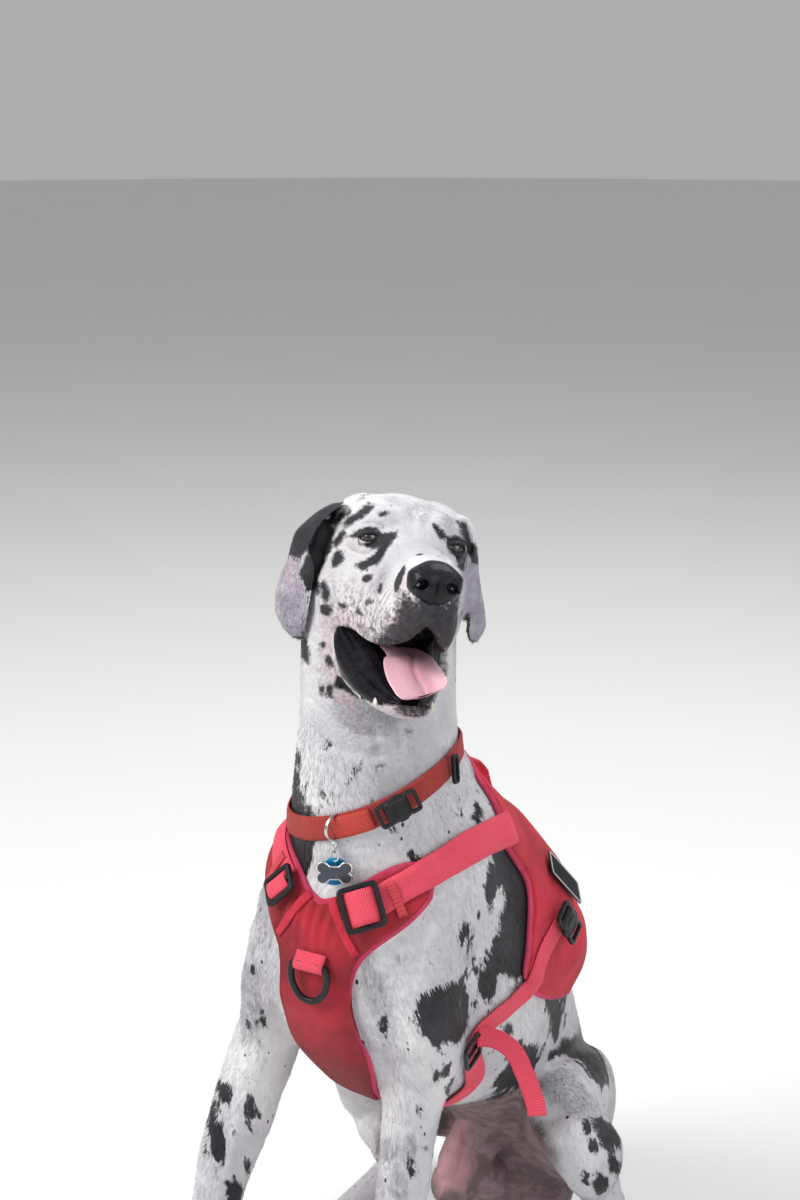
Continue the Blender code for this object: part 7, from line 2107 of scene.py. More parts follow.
@dataclass
class Harness:
    """Chest panel, back panel, straps and their hardware, all over the skin."""

    bed: Bed
    nodes: dict[str, bpy.types.Object]
    chest_edge: tuple = (
        (340, 897), (355, 889), (370, 880), (392, 869), (410, 864), (424, 866), (431, 876),
        (431, 892), (422, 908), (405, 924), (382, 939), (363, 953), (351, 972), (346, 995),
        (349, 1020), (357, 1043), (368, 1060),
    )
    back_edge: tuple = (
        (499, 838), (507, 853), (517, 868), (525, 884), (527, 907), (526, 932), (524, 955),
        (521, 975), (530, 991), (543, 996), (558, 994),
    )
    shoulder_path: tuple = ((372, 903), (384, 896), (402, 885), (430, 869), (456, 854), (482, 840), (505, 829))
    girth_path: tuple = (
        (561, 937), (553, 947), (540, 962), (528, 986), (510, 1003), (492, 1018), (476, 1033), (469, 1050),
    )
    girth_under: tuple = (
        (0.098, 0.068, 0.440), (0.075, 0.072, 0.412), (0.045, 0.074, 0.392), (0.015, 0.075, 0.384),
        (0.0, 0.075, 0.382),
    )
    loose_path: tuple = (
        (477, 1037), (492, 1038), (506, 1045), (516, 1056), (523, 1071), (530, 1088), (536, 1106), (537, 1114),
    )
    lift: float = 0.0020
    girth_at: dict = field(default_factory=dict)
    girth_run: dict = field(default_factory=dict)

    def finish(self, obj: bpy.types.Object, look: object, slot: str, *nodes: str) -> bpy.types.Object:
        obj.data.materials.clear()
        obj.data.materials.append(look.material())
        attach(obj, ROOT)
        if nodes:
            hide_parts(*nodes)
        LOG.info("%s, %d faces", obj.name, len(obj.data.polygons))
        return obj

    def binding(self, name: str, ring: Array, normal: Array, outward: Array, half: tuple[float, float],
                slot: str) -> bpy.types.Object:
        """Folded tape round an edge: flat ovals along the closed rim."""
        count = len(ring)
        turn = np.linspace(0, 2 * np.pi, 17)[:-1]
        c, s = np.cos(turn), np.sin(turn)
        flat = np.sign(c) * np.abs(c) ** 0.8 * half[0]
        rings = ring[:, None] + outward[:, None] * flat[None, :, None] + normal[:, None] * (s * half[1])[None, :, None]
        obj = mesh_object(name, rings.reshape(-1, 3), grid_faces(count, 16, wrap_rows=True, wrap_columns=True))
        face_out(obj)
        run = np.concatenate([[0.0], np.cumsum(np.linalg.norm(np.diff(ring, axis=0), axis=1))])
        across = np.broadcast_to((0.5 - 0.5 * c), (count, 16))
        put_uv(obj, np.stack([np.broadcast_to(run[:, None], (count, 16)), across], axis=-1).reshape(-1, 2))
        return self.finish(obj, BINDING, slot)

    def rim_of(self, grid: Array, normals: Array, thick: Array) -> tuple[Array, Array, Array]:
        """The grid's border at mid-thickness, its normals and its outward ways."""
        mid = grid + normals * (0.5 * thick)[..., None]
        inner = np.pad(mid, [(1, 1), (1, 1), (0, 0)], mode="reflect")[1:-1, 1:-1]
        def walk(a: Array) -> Array:
            return np.concatenate([a[0, :-1], a[:-1, -1], a[-1, :0:-1], a[:0:-1, 0]])
        ring, way = walk(mid), walk(normals)
        count = len(ring)
        size = 3
        for _ in range(size):
            ring = 0.5 * ring + 0.25 * (np.roll(ring, 1, axis=0) + np.roll(ring, -1, axis=0))
        run = unit(np.roll(ring, -1, axis=0) - np.roll(ring, 1, axis=0))
        return ring, way, unit(np.cross(run, way))

    def chest(self) -> None:
        """The chest panel: a grid between the neckline and the lower edge, cast back onto the skin.

        A point is a blend of the two edges at the same share; the far half is the near
        one mirrored and a little wider. The pad swells in its middle, gathers below the
        neckline and is pressed in along two sewn bands.
        """
        bed = self.bed
        edge = bed.seen(self.chest_edge) - bed.place.shift
        flat = np.stack([np.maximum(edge[:, 0], 0.010), edge[:, 2]], axis=1)
        top = resample(np.vstack([[0.0, flat[0, 1] - 0.006], flat[:6], flat[6:7]]), 60)
        low = resample(np.vstack([[0.0, 0.412], [0.010, 0.412], [0.024, 0.424], flat[:6:-1]]), 60)
        s = np.linspace(0.0, 1.0, 72)[:, None, None]
        half = top[None] * (1.0 - s) + low[None] * s
        wide = half[:, ::-1].copy()
        wide[..., 0] *= -(1.0 + 0.14 * np.minimum(1.0, wide[..., 0] / 0.05))
        spots = np.concatenate([wide[:, :-1], half], axis=1)
        rows, cols = spots.shape[:2]
        starts = np.stack([spots[..., 0], np.full((rows, cols), -0.6), spots[..., 1]], axis=-1)
        hits, _, found = cast(bed.trees[0], bed.place.body(starts.reshape(-1, 3)), np.array([0.0, 1.0, 0.0]), 1.2)
        hits = hits.reshape(rows, cols, 3)
        ground, normals = bed.seat(blur(hits, 2), 14)
        ground = blur(ground, 8)
        depth = np.minimum(s[..., 0], 1.0 - s[..., 0]) * np.linalg.norm(top - low, axis=1)[None]
        depth = np.concatenate([depth[:, ::-1][:, :-1], depth], axis=1)
        tips = np.minimum(np.arange(cols), np.arange(cols)[::-1])[None] * 0.0028
        inward = np.minimum(depth, tips)
        x, z = spots[..., 0], spots[..., 1]
        soft = np.sqrt(1.0 - (1.0 - np.clip(inward / 0.008, 0, 1)) ** 2)
        neck = flat[0, 1]
        gather = np.sin(2 * np.pi * x / 0.0125 + 1.5 * np.sin(z * 60.0)) * np.exp(-(x / 0.034) ** 2)
        gather = gather * smooth_step(z, neck - 0.070, neck - 0.018) * 0.0019
        fold = 0.0014 * value_noise(starts.reshape(-1, 3) * [1.0, 1.0, 0.45], 38.0, 9).reshape(rows, cols)
        thick = 0.0012 + (0.0046 + 0.0016 * np.clip(inward / 0.03, 0, 1) + gather + fold) * soft
        for side in (-1.0, 1.0):
            band, _ = line_distance(spots.reshape(-1, 2) * [side, 1.0], ((0.028, neck + 0.004), (0.052, neck - 0.058)))
            thick = thick - 0.0013 * np.exp(-(band.reshape(rows, cols) / 0.0022) ** 2) * soft
        seam, _ = line_distance(spots.reshape(-1, 2) * [1.0, 1.0], ((-0.06, 0.615), (0.0, 0.606), (0.06, 0.615)))
        thick = np.maximum(thick, 0.0012)
        base = ground + normals * self.lift
        run = np.stack([np.linspace(0, 0.36, cols)[None] * np.ones((rows, 1)),
                        np.linspace(0, 0.26, rows)[:, None] * np.ones((1, cols))], axis=-1)
        obj = slab("chest_pad", base, normals, thick, uv=run)
        self.finish(obj, PANEL_CLOTH, "harness_cloth", "chest_panel")
        bed.add(obj)
        ring, way, out = self.rim_of(base, normals, thick)
        tape = self.binding("chest_binding", ring, way, out, (0.0046, 0.0030), "harness_cloth")
        bed.add(tape)

    def back(self) -> None:
        """The back panel: a grid from the spine to the side edge, in arcs about the trunk.

        It puffs off the rear of the ribs, sags in soft folds and thins to its rim.
        """
        bed = self.bed
        edge = resample(bed.to_round(bed.seen(self.back_edge)), 84)
        first, last = edge[0, 1] - 0.014, edge[-1, 1] + 0.026
        centre = np.stack([np.zeros(84), np.linspace(first, last, 84)], axis=1)
        s = np.linspace(0.0, 1.0, 56)[None, :, None]
        half = centre[:, None] * (1.0 - s) + edge[:, None] * s
        other = half[:, ::-1] * np.array([-1.0, 1.0])
        arcs = np.concatenate([other[:, :-1], half], axis=1)
        rows, cols = arcs.shape[:2]
        hits = bed.from_round(arcs.reshape(-1, 2)).reshape(rows, cols, 3)
        ground, normals = bed.seat(blur(hits, 2), 14)
        ground = blur(ground, 6)
        arc, along = np.abs(arcs[..., 0]), (arcs[..., 1] - first) / (last - first)
        rear = smooth_step(along, 0.25, 0.80)
        out = smooth_step(arc, 0.020, 0.085) * (1.0 - 0.75 * smooth_step(arc, 0.120, 0.190))
        puff = 0.022 * rear * out
        rim = np.minimum(np.arange(rows), np.arange(rows)[::-1])[:, None] * (last - first) / rows
        rim = np.minimum(rim, np.minimum(np.arange(cols), np.arange(cols)[::-1])[None] * 0.0034)
        soft = np.sqrt(1.0 - (1.0 - np.clip(rim / 0.009, 0, 1)) ** 2)
        raw = (hits.reshape(-1, 3) - bed.place.shift)
        fold = value_noise(raw * [1.0, 0.5, 1.0], 30.0, 21).reshape(rows, cols) * 0.0022
        drape = 0.0020 * np.sin(2 * np.pi * (arcs[..., 0] * 9.0 + 2.6 * along)) * rear
        thick = 0.0012 + (0.0052 + 0.52 * puff + (fold + drape) * smooth_step(arc, 0.02, 0.05)) * soft
        thick = np.maximum(thick, 0.0012)
        base = ground + normals * (0.0030 + 0.42 * puff)[..., None]
        uv = np.stack([arcs[..., 0], arcs[..., 1]], axis=-1)
        obj = slab("back_pad", base, normals, thick, uv=uv)
        self.finish(obj, BACK_CLOTH, "harness_cloth", "back_panel")
        bed.add(obj)
        ring, way, out = self.rim_of(base, normals, thick)
        bed.add(self.binding("back_binding", ring, way, out, (0.0048, 0.0032), "harness_cloth"))

    def web(self, name: str, path: Array, width: float, lift: float, look: WebFinish, slot: str,
            nodes: Sequence[str], wrap: bool = False, thick: float = 0.0019, free: bool = False) -> bpy.types.Object:
        """Webbing along a path: seated, lifted over what lies below, then pulled taut.

        Each round eases the run towards its neighbours and lifts back what sank.
        """
        bed = self.bed
        count = max(12, int(np.linalg.norm(np.diff(path, axis=0), axis=1).sum() / 0.0045))
        line = resample(np.vstack([path, path[:1]]) if wrap else path, count + (1 if wrap else 0))
        line = line[:-1] if wrap else line
        _, way = nearest(bed.trees[0], line)
        way = unit(blur(way[:, None], 6, wrap)[:, 0])
        run = unit(np.roll(line, -1, axis=0) - np.roll(line, 1, axis=0)) if wrap else unit(np.gradient(line, axis=0))
        across = unit(np.cross(run, way))
        v = np.linspace(-0.5, 0.5, 11)
        grid = line[:, None] + across[:, None] * (v * width)[None, :, None]
        if free:
            spots, normals = grid, np.broadcast_to(way[:, None], grid.shape).copy()
            height = np.zeros(grid.shape[:2])
        else:
            spots, normals = bed.seat(grid, 6, wrap)
            height = blur(bed.rise(spots, normals, lift), 1, wrap)
        base = spots + normals * height[..., None]
        web = base.copy()
        for _ in range(0 if free else 26):
            eased = web.copy()
            before, after = np.roll(web, 1, axis=0), np.roll(web, -1, axis=0)
            mean = 0.25 * before + 0.5 * web + 0.25 * after
            rows = slice(None) if wrap else slice(1, -1)
            shift = np.sum((mean - web) * normals, axis=-1, keepdims=True) * normals
            eased[rows] = (web + shift)[rows]
            sunk = np.maximum(np.sum((base - eased) * normals, axis=-1, keepdims=True), 0.0)
            web = eased + normals * sunk
        rounded = thick * np.sqrt(np.clip(1.0 - (np.abs(v) * 2.0) ** 8, 0.12, 1.0))[None] * np.ones((len(line), 1))
        steps = np.concatenate([[0.0], np.cumsum(np.linalg.norm(np.diff(line, axis=0), axis=1))])
        uv = np.stack([np.broadcast_to(steps[:, None], rounded.shape), np.broadcast_to(v * width, rounded.shape)], axis=-1)
        obj = slab(name, web, normals, rounded, wrap, uv)
        self.finish(obj, look, slot, *nodes)
        bed.add(obj)
        return obj

    def straps(self) -> None:
        """Shoulder straps, girth straps, the spine strap and the loose end."""
        bed = self.bed
        flip = np.array([-1.0, 1.0, 1.0])
        shoulder = bed.seen(self.shoulder_path) - bed.place.shift
        clip = self.stand("side_buckle_left")
        start = clip.middle - clip.n * 0.010 - bed.place.shift
        girth = np.vstack([start, bed.seen(self.girth_path[2:], True) - bed.place.shift, np.array(self.girth_under)])
        for name, side in (("left", np.ones(3)), ("right", flip)):
            self.web("shoulder_web_" + name, bed.place.body(shoulder * side), 0.036, 0.0040, STRAP_WEB,
                     "harness_web", ["shoulder_strap_" + name])
            path = girth * side
            path[-1, 0] = 0.0015 * side[0]
            self.web("girth_web_" + name, bed.place.body(path), 0.026, 0.0040, STRAP_WEB, "harness_web",
                     ["girth_strap_" + name])
            self.girth_at[name] = len(bed.trees) - 1
            self.girth_run[name] = unit(path[7] - path[5])
        edge = bed.to_round(bed.seen(self.back_edge))
        first, last = edge[0, 1] - 0.004, edge[-1, 1] + 0.008
        spine = bed.from_round(np.stack([np.zeros(12), np.linspace(first, last, 12)], axis=1))
        self.web("spine_web", spine, 0.040, 0.0050, STRAP_WEB, "harness_web", ["spine_strap"])
        t = np.linspace(0.0, 1.0, 24)
        held = bed.from_round(np.stack([0.0 * t, edge[0, 1] + 0.024 + 0.125 * t], axis=1))
        _, way = nearest(bed.trees[0], held)
        over = bed.rise(held[:, None], way[:, None], 0.0)[:, 0]
        base = over[0] * (1.0 - t) + over[-1] * t - 0.002
        held = held + way * (base + 0.022 * np.sin(np.pi * t) ** 0.8)[:, None]
        self.web("handle_web", held, 0.026, 0.0, STRAP_WEB, "harness_web", ["back_handle"], thick=0.0030, free=True)
        eye = bed.view.eye
        reach = np.linalg.norm(bed.seen(self.loose_path) - eye, axis=1) - 0.015
        reach = np.minimum(reach, reach[0] + 0.004 * np.arange(len(reach)))
        loose = eye + np.array([bed.view.ray(s) for s in self.loose_path]) * reach[:, None]
        line = resample(loose, 46)
        run = unit(np.gradient(line, axis=0))
        way = unit(eye - line)
        way = unit(way - run * np.sum(way * run, axis=1, keepdims=True))
        t = np.linspace(0, 1, 46)
        way = unit(way + np.array([0.35, 0.0, 0.5]) * (0.6 * np.sin(np.pi * t) ** 2)[:, None])
        across = unit(np.cross(run, way))
        v = np.linspace(-0.5, 0.5, 9)
        curl = 0.0016 * (np.abs(v) * 2) ** 2
        grid = line[:, None] + across[:, None] * (v * 0.021)[None, :, None] + way[:, None] * curl[None, :, None]
        thick = np.full((46, 9), 0.0019) + 0.0022 * smooth_step(t, 0.86, 0.90)[:, None]
        steps = np.linspace(0, 0.11, 46)[:, None] * np.ones((1, 9))
        uv = np.stack([steps, np.broadcast_to(v * 0.021, (46, 9))], axis=-1)
        normals = np.broadcast_to(way[:, None], grid.shape)
        obj = slab("loose_end", grid, normals, thick, uv=uv)
        self.finish(obj, STRAP_WEB, "harness_web", "strap_end")

    def stand(self, name: str, upright: bool = False) -> Stand:
        """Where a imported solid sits: its middle, its long, middle and thin ways, its half sizes."""
        points = read_points(self.nodes[name])
        _, _, ways = np.linalg.svd(points - points.mean(axis=0), full_matrices=False)
        n = ways[2]
        middle = 0.5 * (points.max(axis=0) + points.min(axis=0))
        core = self.bed.place.body(np.array([0.0, 0.05, middle[2] - 0.05]))
        n = n * np.sign(np.dot(n, middle - core))
        u = ways[0]
        if upright:
            u = unit(np.cross(np.array([0.0, 0.0, 1.0]), n))
        u = u * np.sign(u[0] + 1e-9)
        v = unit(np.cross(n, u))
        flat = (points - middle) @ np.stack([u, v, n], axis=1)
        middle = middle + np.stack([u, v, n], axis=0).T @ (0.5 * (flat.max(axis=0) + flat.min(axis=0)))
        half = 0.5 * (flat.max(axis=0) - flat.min(axis=0))
        return Stand(middle, u, v, n, half)

    def frame(self, stand: Stand, wall: float, deep: float, bars: Sequence[float] = (0.0,),
              corner: float = 7.0) -> tuple[Array, Array]:
        """A rounded rectangular frame with cross bars, as vertices and faces."""
        a = np.linspace(0, 2 * np.pi, 73)[:-1]
        hu, hv = stand.half[0] - wall * 0.5, stand.half[1] - wall * 0.5
        power = 2.0 / corner
        ring = np.stack([np.sign(np.cos(a)) * np.abs(np.cos(a)) ** power * hu,
                         np.sign(np.sin(a)) * np.abs(np.sin(a)) ** power * hv, np.zeros(72)], axis=1)
        parts = [rope(ring, wall * 0.5, deep, True)]
        for at in bars:
            bar = np.stack([np.full(8, at), np.linspace(-hv, hv, 8), np.zeros(8)], axis=1)
            parts.append(rope(bar, wall * 0.42, deep * 0.85, False))
        return stand.set(join_parts(parts))

    def piece(self, name: str, shape: tuple[Array, Array], look: object, slot: str, *nodes: str) -> bpy.types.Object:
        """An object from vertices and faces, welded and given its finish."""
        obj = mesh_object(name, *shape)
        weld(obj)
        return self.finish(obj, look, slot, *nodes)

    def lay_web(self, name: str, stand: Stand, run: Sequence[Sequence[float]], width: float,
                along: str = "u") -> bpy.types.Object:
        """A short web piece through spots (way along, height) of a stand."""
        line = resample(np.array(run, float), 26)
        across = np.linspace(-0.5, 0.5, 7) * width
        first = np.broadcast_to(line[:, :1], (26, 7))
        second = np.broadcast_to(across, (26, 7))
        flat = (first, second) if along == "u" else (second, first)
        local = np.stack([*flat, np.broadcast_to(line[:, 1:], (26, 7))], axis=-1)
        grid = stand.set((local.reshape(-1, 3), None))[0].reshape(26, 7, 3)
        slope = np.gradient(line, axis=0)
        way = unit(np.stack([-slope[:, 1], slope[:, 0]], axis=1))
        u = stand.u if along == "u" else stand.v
        normal = way[:, :1] * u + way[:, 1:] * stand.n
        normal = np.broadcast_to(normal[:, None], (26, 7, 3))
        steps = np.concatenate([[0.0], np.cumsum(np.linalg.norm(np.diff(line, axis=0), axis=1))])
        uv = np.stack([np.broadcast_to(steps[:, None], (26, 7)), second], axis=-1)
        obj = slab(name, grid, normal, np.full((26, 7), 0.0017), uv=uv)
        return self.finish(obj, STRAP_WEB, "harness_web")

    def sliders(self) -> None:
        """Frames with a bar; on the chest the web shows looping over the bar."""
        for side in ("left", "right"):
            stand = self.stand("chest_slider_" + side)
            stand = Stand(stand.middle, stand.u, stand.v, stand.n, stand.half * np.array([0.88, 0.88, 1.0]))
            short = stand.turned()
            self.piece("chest_frame_" + side, self.frame(short, 0.0056, 0.0028, corner=14.0), PLASTIC, "black_plastic",
                       "chest_slider_" + side)
            long = short.half[0] * 0.70
            self.lay_web("chest_loop_" + side, short, ((-long, -0.0035), (-0.6 * long, 0.0016), (0.0, 0.0036),
                                                       (0.6 * long, 0.0018), (long, -0.0035)),
                         2 * (short.half[1] - 0.0062))
            stand = self.stand("girth_slider_" + side)
            web = self.bed.trees[self.girth_at[side]]
            seen = self.bed.seen_on(self.bed.trees[self.girth_at["left"]], (467, 1049))
            seen = self.bed.place.body((seen - self.bed.place.shift) * np.array([1.0 if side == "left" else -1.0, 1.0, 1.0]))
            spot, _ = nearest(web, seen[None])
            _, way = nearest(self.bed.trees[0], spot)
            stand = Stand(stand.middle, stand.u, stand.v, stand.n, stand.half * np.array([1.15, 1.15, 1.0]))
            stand = stand.moved(spot[0] + way[0] * 0.0026, way[0], self.girth_run[side])
            self.piece("girth_frame_" + side, self.frame(stand, 0.0046, 0.0022), PLASTIC, "black_plastic",
                       "girth_slider_" + side)
        stand = self.stand("collar_slider")
        self.piece("collar_frame", self.frame(stand, 0.0036, 0.0022, ()), PLASTIC, "black_plastic", "collar_slider")

    def buckle(self, name: str, stand: Stand, node: str) -> None:
        """A side-release buckle: a domed body with side tabs between two slotted ends."""
        hu, hv, hn = stand.half
        body = pillow(0.60 * hu, 0.94 * hv, 0.92 * hn, 7.0, (-0.06 * hu, 0.0, 0.0))
        tabs = [pillow(0.24 * hu, 0.12 * hv, 0.62 * hn, 4.0, (0.05 * hu, s * 0.96 * hv, 0.0)) for s in (-1, 1)]
        rib = [pillow(0.035 * hu, 0.60 * hv, 0.16 * hn, 3.0, (x * hu, 0.0, 0.90 * hn)) for x in (-0.30, -0.20, 0.34)]
        shape = stand.set(join_parts([body, *tabs, *rib]))
        ends = []
        for side in (-1, 1):
            part = Stand(stand.middle + stand.u * side * 0.74 * hu, stand.u, stand.v, stand.n,
                         np.array([0.34 * hu, 0.98 * hv, hn]))
            ends.append(self.frame(part, 0.19 * hu, 0.55 * hn, ()))
        self.piece(name, join_parts([shape, *ends]), PLASTIC, "black_plastic", node)

    def ring_and_loop(self) -> None:
        """The chest ring and its web loop."""
        stand = self.stand("chest_ring", True)
        top = stand.half[1] - 0.0035
        half = np.array([[0.0, top], [0.0165, top], [0.0205, top - 0.004], [0.0215, top - 0.014], [0.0190, top - 0.026],
                         [0.0125, top - 0.036], [0.0045, top - 0.0405]])
        ring = np.vstack([half, half[:0:-1] * [-1.0, 1.0]])
        ring = resample(np.vstack([ring, ring[:1]]), 97)[:-1]
        ring = np.column_stack([ring, np.linspace(0, 0, 96)])
        ring = 0.5 * ring + 0.25 * (np.roll(ring, 1, axis=0) + np.roll(ring, -1, axis=0))
        self.piece("chest_dee", stand.set(rope(ring, 0.0034, 0.0032, True)), PLASTIC, "black_plastic", "chest_ring")
        loop = self.lay_web("chest_web_loop", stand, ((top + 0.012, -0.0050), (top + 0.006, -0.0010),
                                                      (top + 0.001, 0.0042), (top - 0.005, 0.0036),
                                                      (top - 0.008, 0.0006), (top - 0.009, -0.0042)), 0.034, "v")
        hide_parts("chest_ring_loop")

    def hung(self, name: str, spot: Sequence[float], face: Sequence[float], size: float = 1.0,
             near: float = 0.0) -> Stand:
        """A hanging part, upright, where the photograph shows it.

        Args:
            name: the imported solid.
            spot: the spot of the frame it is seen at.
            face: shares of the way to the viewer and of the way to the right it faces.
            size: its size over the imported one's.
            near: how much nearer to the viewer it hangs.
        """
        view = self.bed.view
        right, _, ahead = view.axes()
        old = self.stand(name, True)
        middle = view.eye + view.ray(spot) * (np.linalg.norm(old.middle - view.eye) - near)
        n = unit(face[0] * unit(ahead * np.array([-1.0, -1.0, 0.0])) + face[1] * right)
        u = unit(np.cross(np.array([0.0, 0.0, 1.0]), n))
        return Stand(middle, u, np.cross(n, u), n, old.half * size)

    def tags(self) -> None:
        """The collar's split ring, two links, the bone tag and the round tag behind it."""
        a = np.linspace(0, 2 * np.pi, 65)[:-1]
        circle = np.stack([np.cos(a), np.sin(a), np.zeros(64)], axis=1)
        stand = self.hung("collar_ring", (334.8, 827.0), (0.63, 0.78), 1.18)
        coils = [rope(circle * (max(stand.half[:2]) - 0.0013) + np.array([0.0, 0.0, s * 0.0008]), 0.0010, 0.0008, True)
                 for s in (-1, 1)]
        self.piece("split_ring", stand.set(join_parts(coils)), STEEL, "steel", "collar_ring")
        links = []
        for spot, face in (((335.2, 846.0), (0.45, 0.90)), ((334.6, 855.0), (0.92, -0.40))):
            stand = self.hung("tag_link", spot, face, 0.82)
            oval = circle * np.array([min(stand.half[:2]), max(stand.half[:2]), 1.0])
            links.append(stand.set(rope(oval, 0.0010, 0.0010, True)))
        self.piece("link_ring", join_parts(links), STEEL, "steel", "tag_link")
        stand = self.hung("id_tag", (334.4, 873.0), (1.0, -0.05), 1.0, 0.006)
        edge = bone(*stand.half[:2], 0.0)
        rows = [(bone(*stand.half[:2], 0.0016) * share, height) for share, height in ((0.0, 0.7), (0.6, 0.7), (1.0, 0.8))]
        rows += [(bone(*stand.half[:2], 0.0012), 1.3), (bone(*stand.half[:2], 0.0004), 1.3), (edge, 0.7)]
        self.piece("bone_edge", stand.set(layers(rows, 0.0008)), TAG_EDGE, "steel")
        inner = bone(*stand.half[:2], 0.0015)
        self.piece("bone_face", stand.set(layers([(inner * 0.0, 1.15), (inner * 0.9, 1.15), (inner, 1.0)], 0.0008)),
                   TAG_DARK, "tag_dark", "id_tag")
        stand = self.hung("tag_back", (334.5, 871.5), (0.99, 0.10), 1.07, 0.002)
        disc = circle[:, :2] * stand.half[:2]
        rows = [(disc * share, height) for share, height in
                ((0.0, 0.8), (0.86, 0.8), (0.90, 1.1), (0.98, 1.1), (1.0, 0.7))]
        self.piece("disc_tag", stand.set(layers(rows, 0.0008)), TAG_BLUE, "tag_blue", "tag_back")

    def hardware(self) -> None:
        """Sliders, buckles, rings, tags and patch."""
        self.sliders()
        stand = self.stand("collar_buckle")
        self.buckle("collar_clip", stand, "collar_buckle")
        for side in ("left", "right"):
            self.buckle("side_clip_" + side, self.stand("side_buckle_" + side), "side_buckle_" + side)
        self.ring_and_loop()
        self.tags()
        stand = self.stand("back_patch")
        self.refine("back_patch", PATCH_CLOTH, "patch", 0.0005, 0)
        rim = Stand(stand.middle + stand.n * (stand.half[2] * 0.9), stand.u, stand.v, stand.n, stand.half * 0.99)
        self.piece("patch_rim", self.frame(rim, 0.0022, 0.0009, (), 16.0), PATCH_RIM, "patch")

    def sewn(self, label: str, spots: Sequence[Sequence[float]], width: float, look: object) -> None:
        """A flat sewn strip on each side through spots of the frame."""
        bed = self.bed
        for name, side in (("left", 1.0), ("right", -1.0)):
            path = (bed.seen(spots) - bed.place.shift) * np.array([side, 1.0, 1.0])
            self.web(label + "_" + name, bed.place.body(path), width, 0.0020, look, "harness_cloth", [], thick=0.0012)

    def refine(self, name: str, look: object, slot: str, bevel: float, levels: int) -> bpy.types.Object:
        """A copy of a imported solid, merged, with rounded edges or a smoothed form."""
        bm = bmesh.new()
        bm.from_mesh(self.nodes[name].data)
        bmesh.ops.remove_doubles(bm, verts=bm.verts, dist=1e-5)
        bmesh.ops.dissolve_limit(bm, angle_limit=0.02, verts=bm.verts, edges=bm.edges)
        bmesh.ops.recalc_face_normals(bm, faces=bm.faces)
        mesh = bpy.data.meshes.new(name + "_fine")
        bm.to_mesh(mesh)
        bm.free()
        obj = bpy.data.objects.new(name + "_fine", mesh)
        bpy.context.scene.collection.objects.link(obj)
        mesh.polygons.foreach_set("use_smooth", np.full(len(mesh.polygons), True))
        if bevel > 0.0:
            cut = obj.modifiers.new("round", "BEVEL")
            cut.width, cut.segments, cut.limit_method, cut.angle_limit = bevel, 3, "ANGLE", math.radians(30)
            cut.harden_normals = True
        if levels:
            soft = obj.modifiers.new("soft", "SUBSURF")
            soft.levels = soft.render_levels = levels
        settle_modifiers(obj)
        if look in (STRAP_WEB, BACK_CLOTH):
            points = read_points(obj)
            put_uv(obj, points[:, [0, 2]] - points[:, [0, 2]].min(axis=0))
        return self.finish(obj, look, slot, name)

    def build(self) -> None:
        """All of the harness in order, from the skin outwards."""
        self.chest()
        self.back()
        self.sewn("chest_band", ((334, 899), (341, 917), (349, 936), (358, 953)), 0.0085, BACK_CLOTH)
        self.straps()
        # The strap's turned-back fold is the strap webbing painted darker: painted shade.
        self.sewn("shaded_strap_fold", ((388, 878), (394, 894), (403, 918)), 0.0095, SHADED_FOLD_WEB)
        self.hardware()


@dataclass
class Collar:
    """The collar band round the neck."""

    harness: Harness
    width: float = 0.026

    def build(self) -> None:
        """The band follows a tilted oval about the neck, set onto the skin."""
        bed = self.harness.bed
        a = np.linspace(0, 2 * np.pi, 41)[:-1]
        x, y = 0.089 * np.cos(a), 0.030 + 0.098 * np.sin(a)
        z = 0.7905 + 0.381 * x + 0.175 * (y - 0.030)
        out = np.stack([np.cos(a), np.sin(a), np.zeros(40)], axis=1)
        axis = np.stack([np.zeros(40), np.full(40, 0.030), z], axis=1)
        hits, _, _ = cast(bed.trees[0], bed.place.body(axis + out * 0.4), -out)
        self.harness.web("collar_strap", hits, self.width, 0.0030, COLLAR_WEB, "collar_web", ["collar_band"], True,
                         0.0024)
        # The fold is the collar's own webbing, painted lighter: painted highlight.
        fold = bed.seen(((337.0, 826.5), (350.0, 823.5), (362.0, 820.0), (372.0, 816.5)))
        self.harness.web("highlit_collar_fold", fold, 0.0235, 0.0004, HIGHLIT_COLLAR_FOLD, "collar_web", [], thick=0.0018)


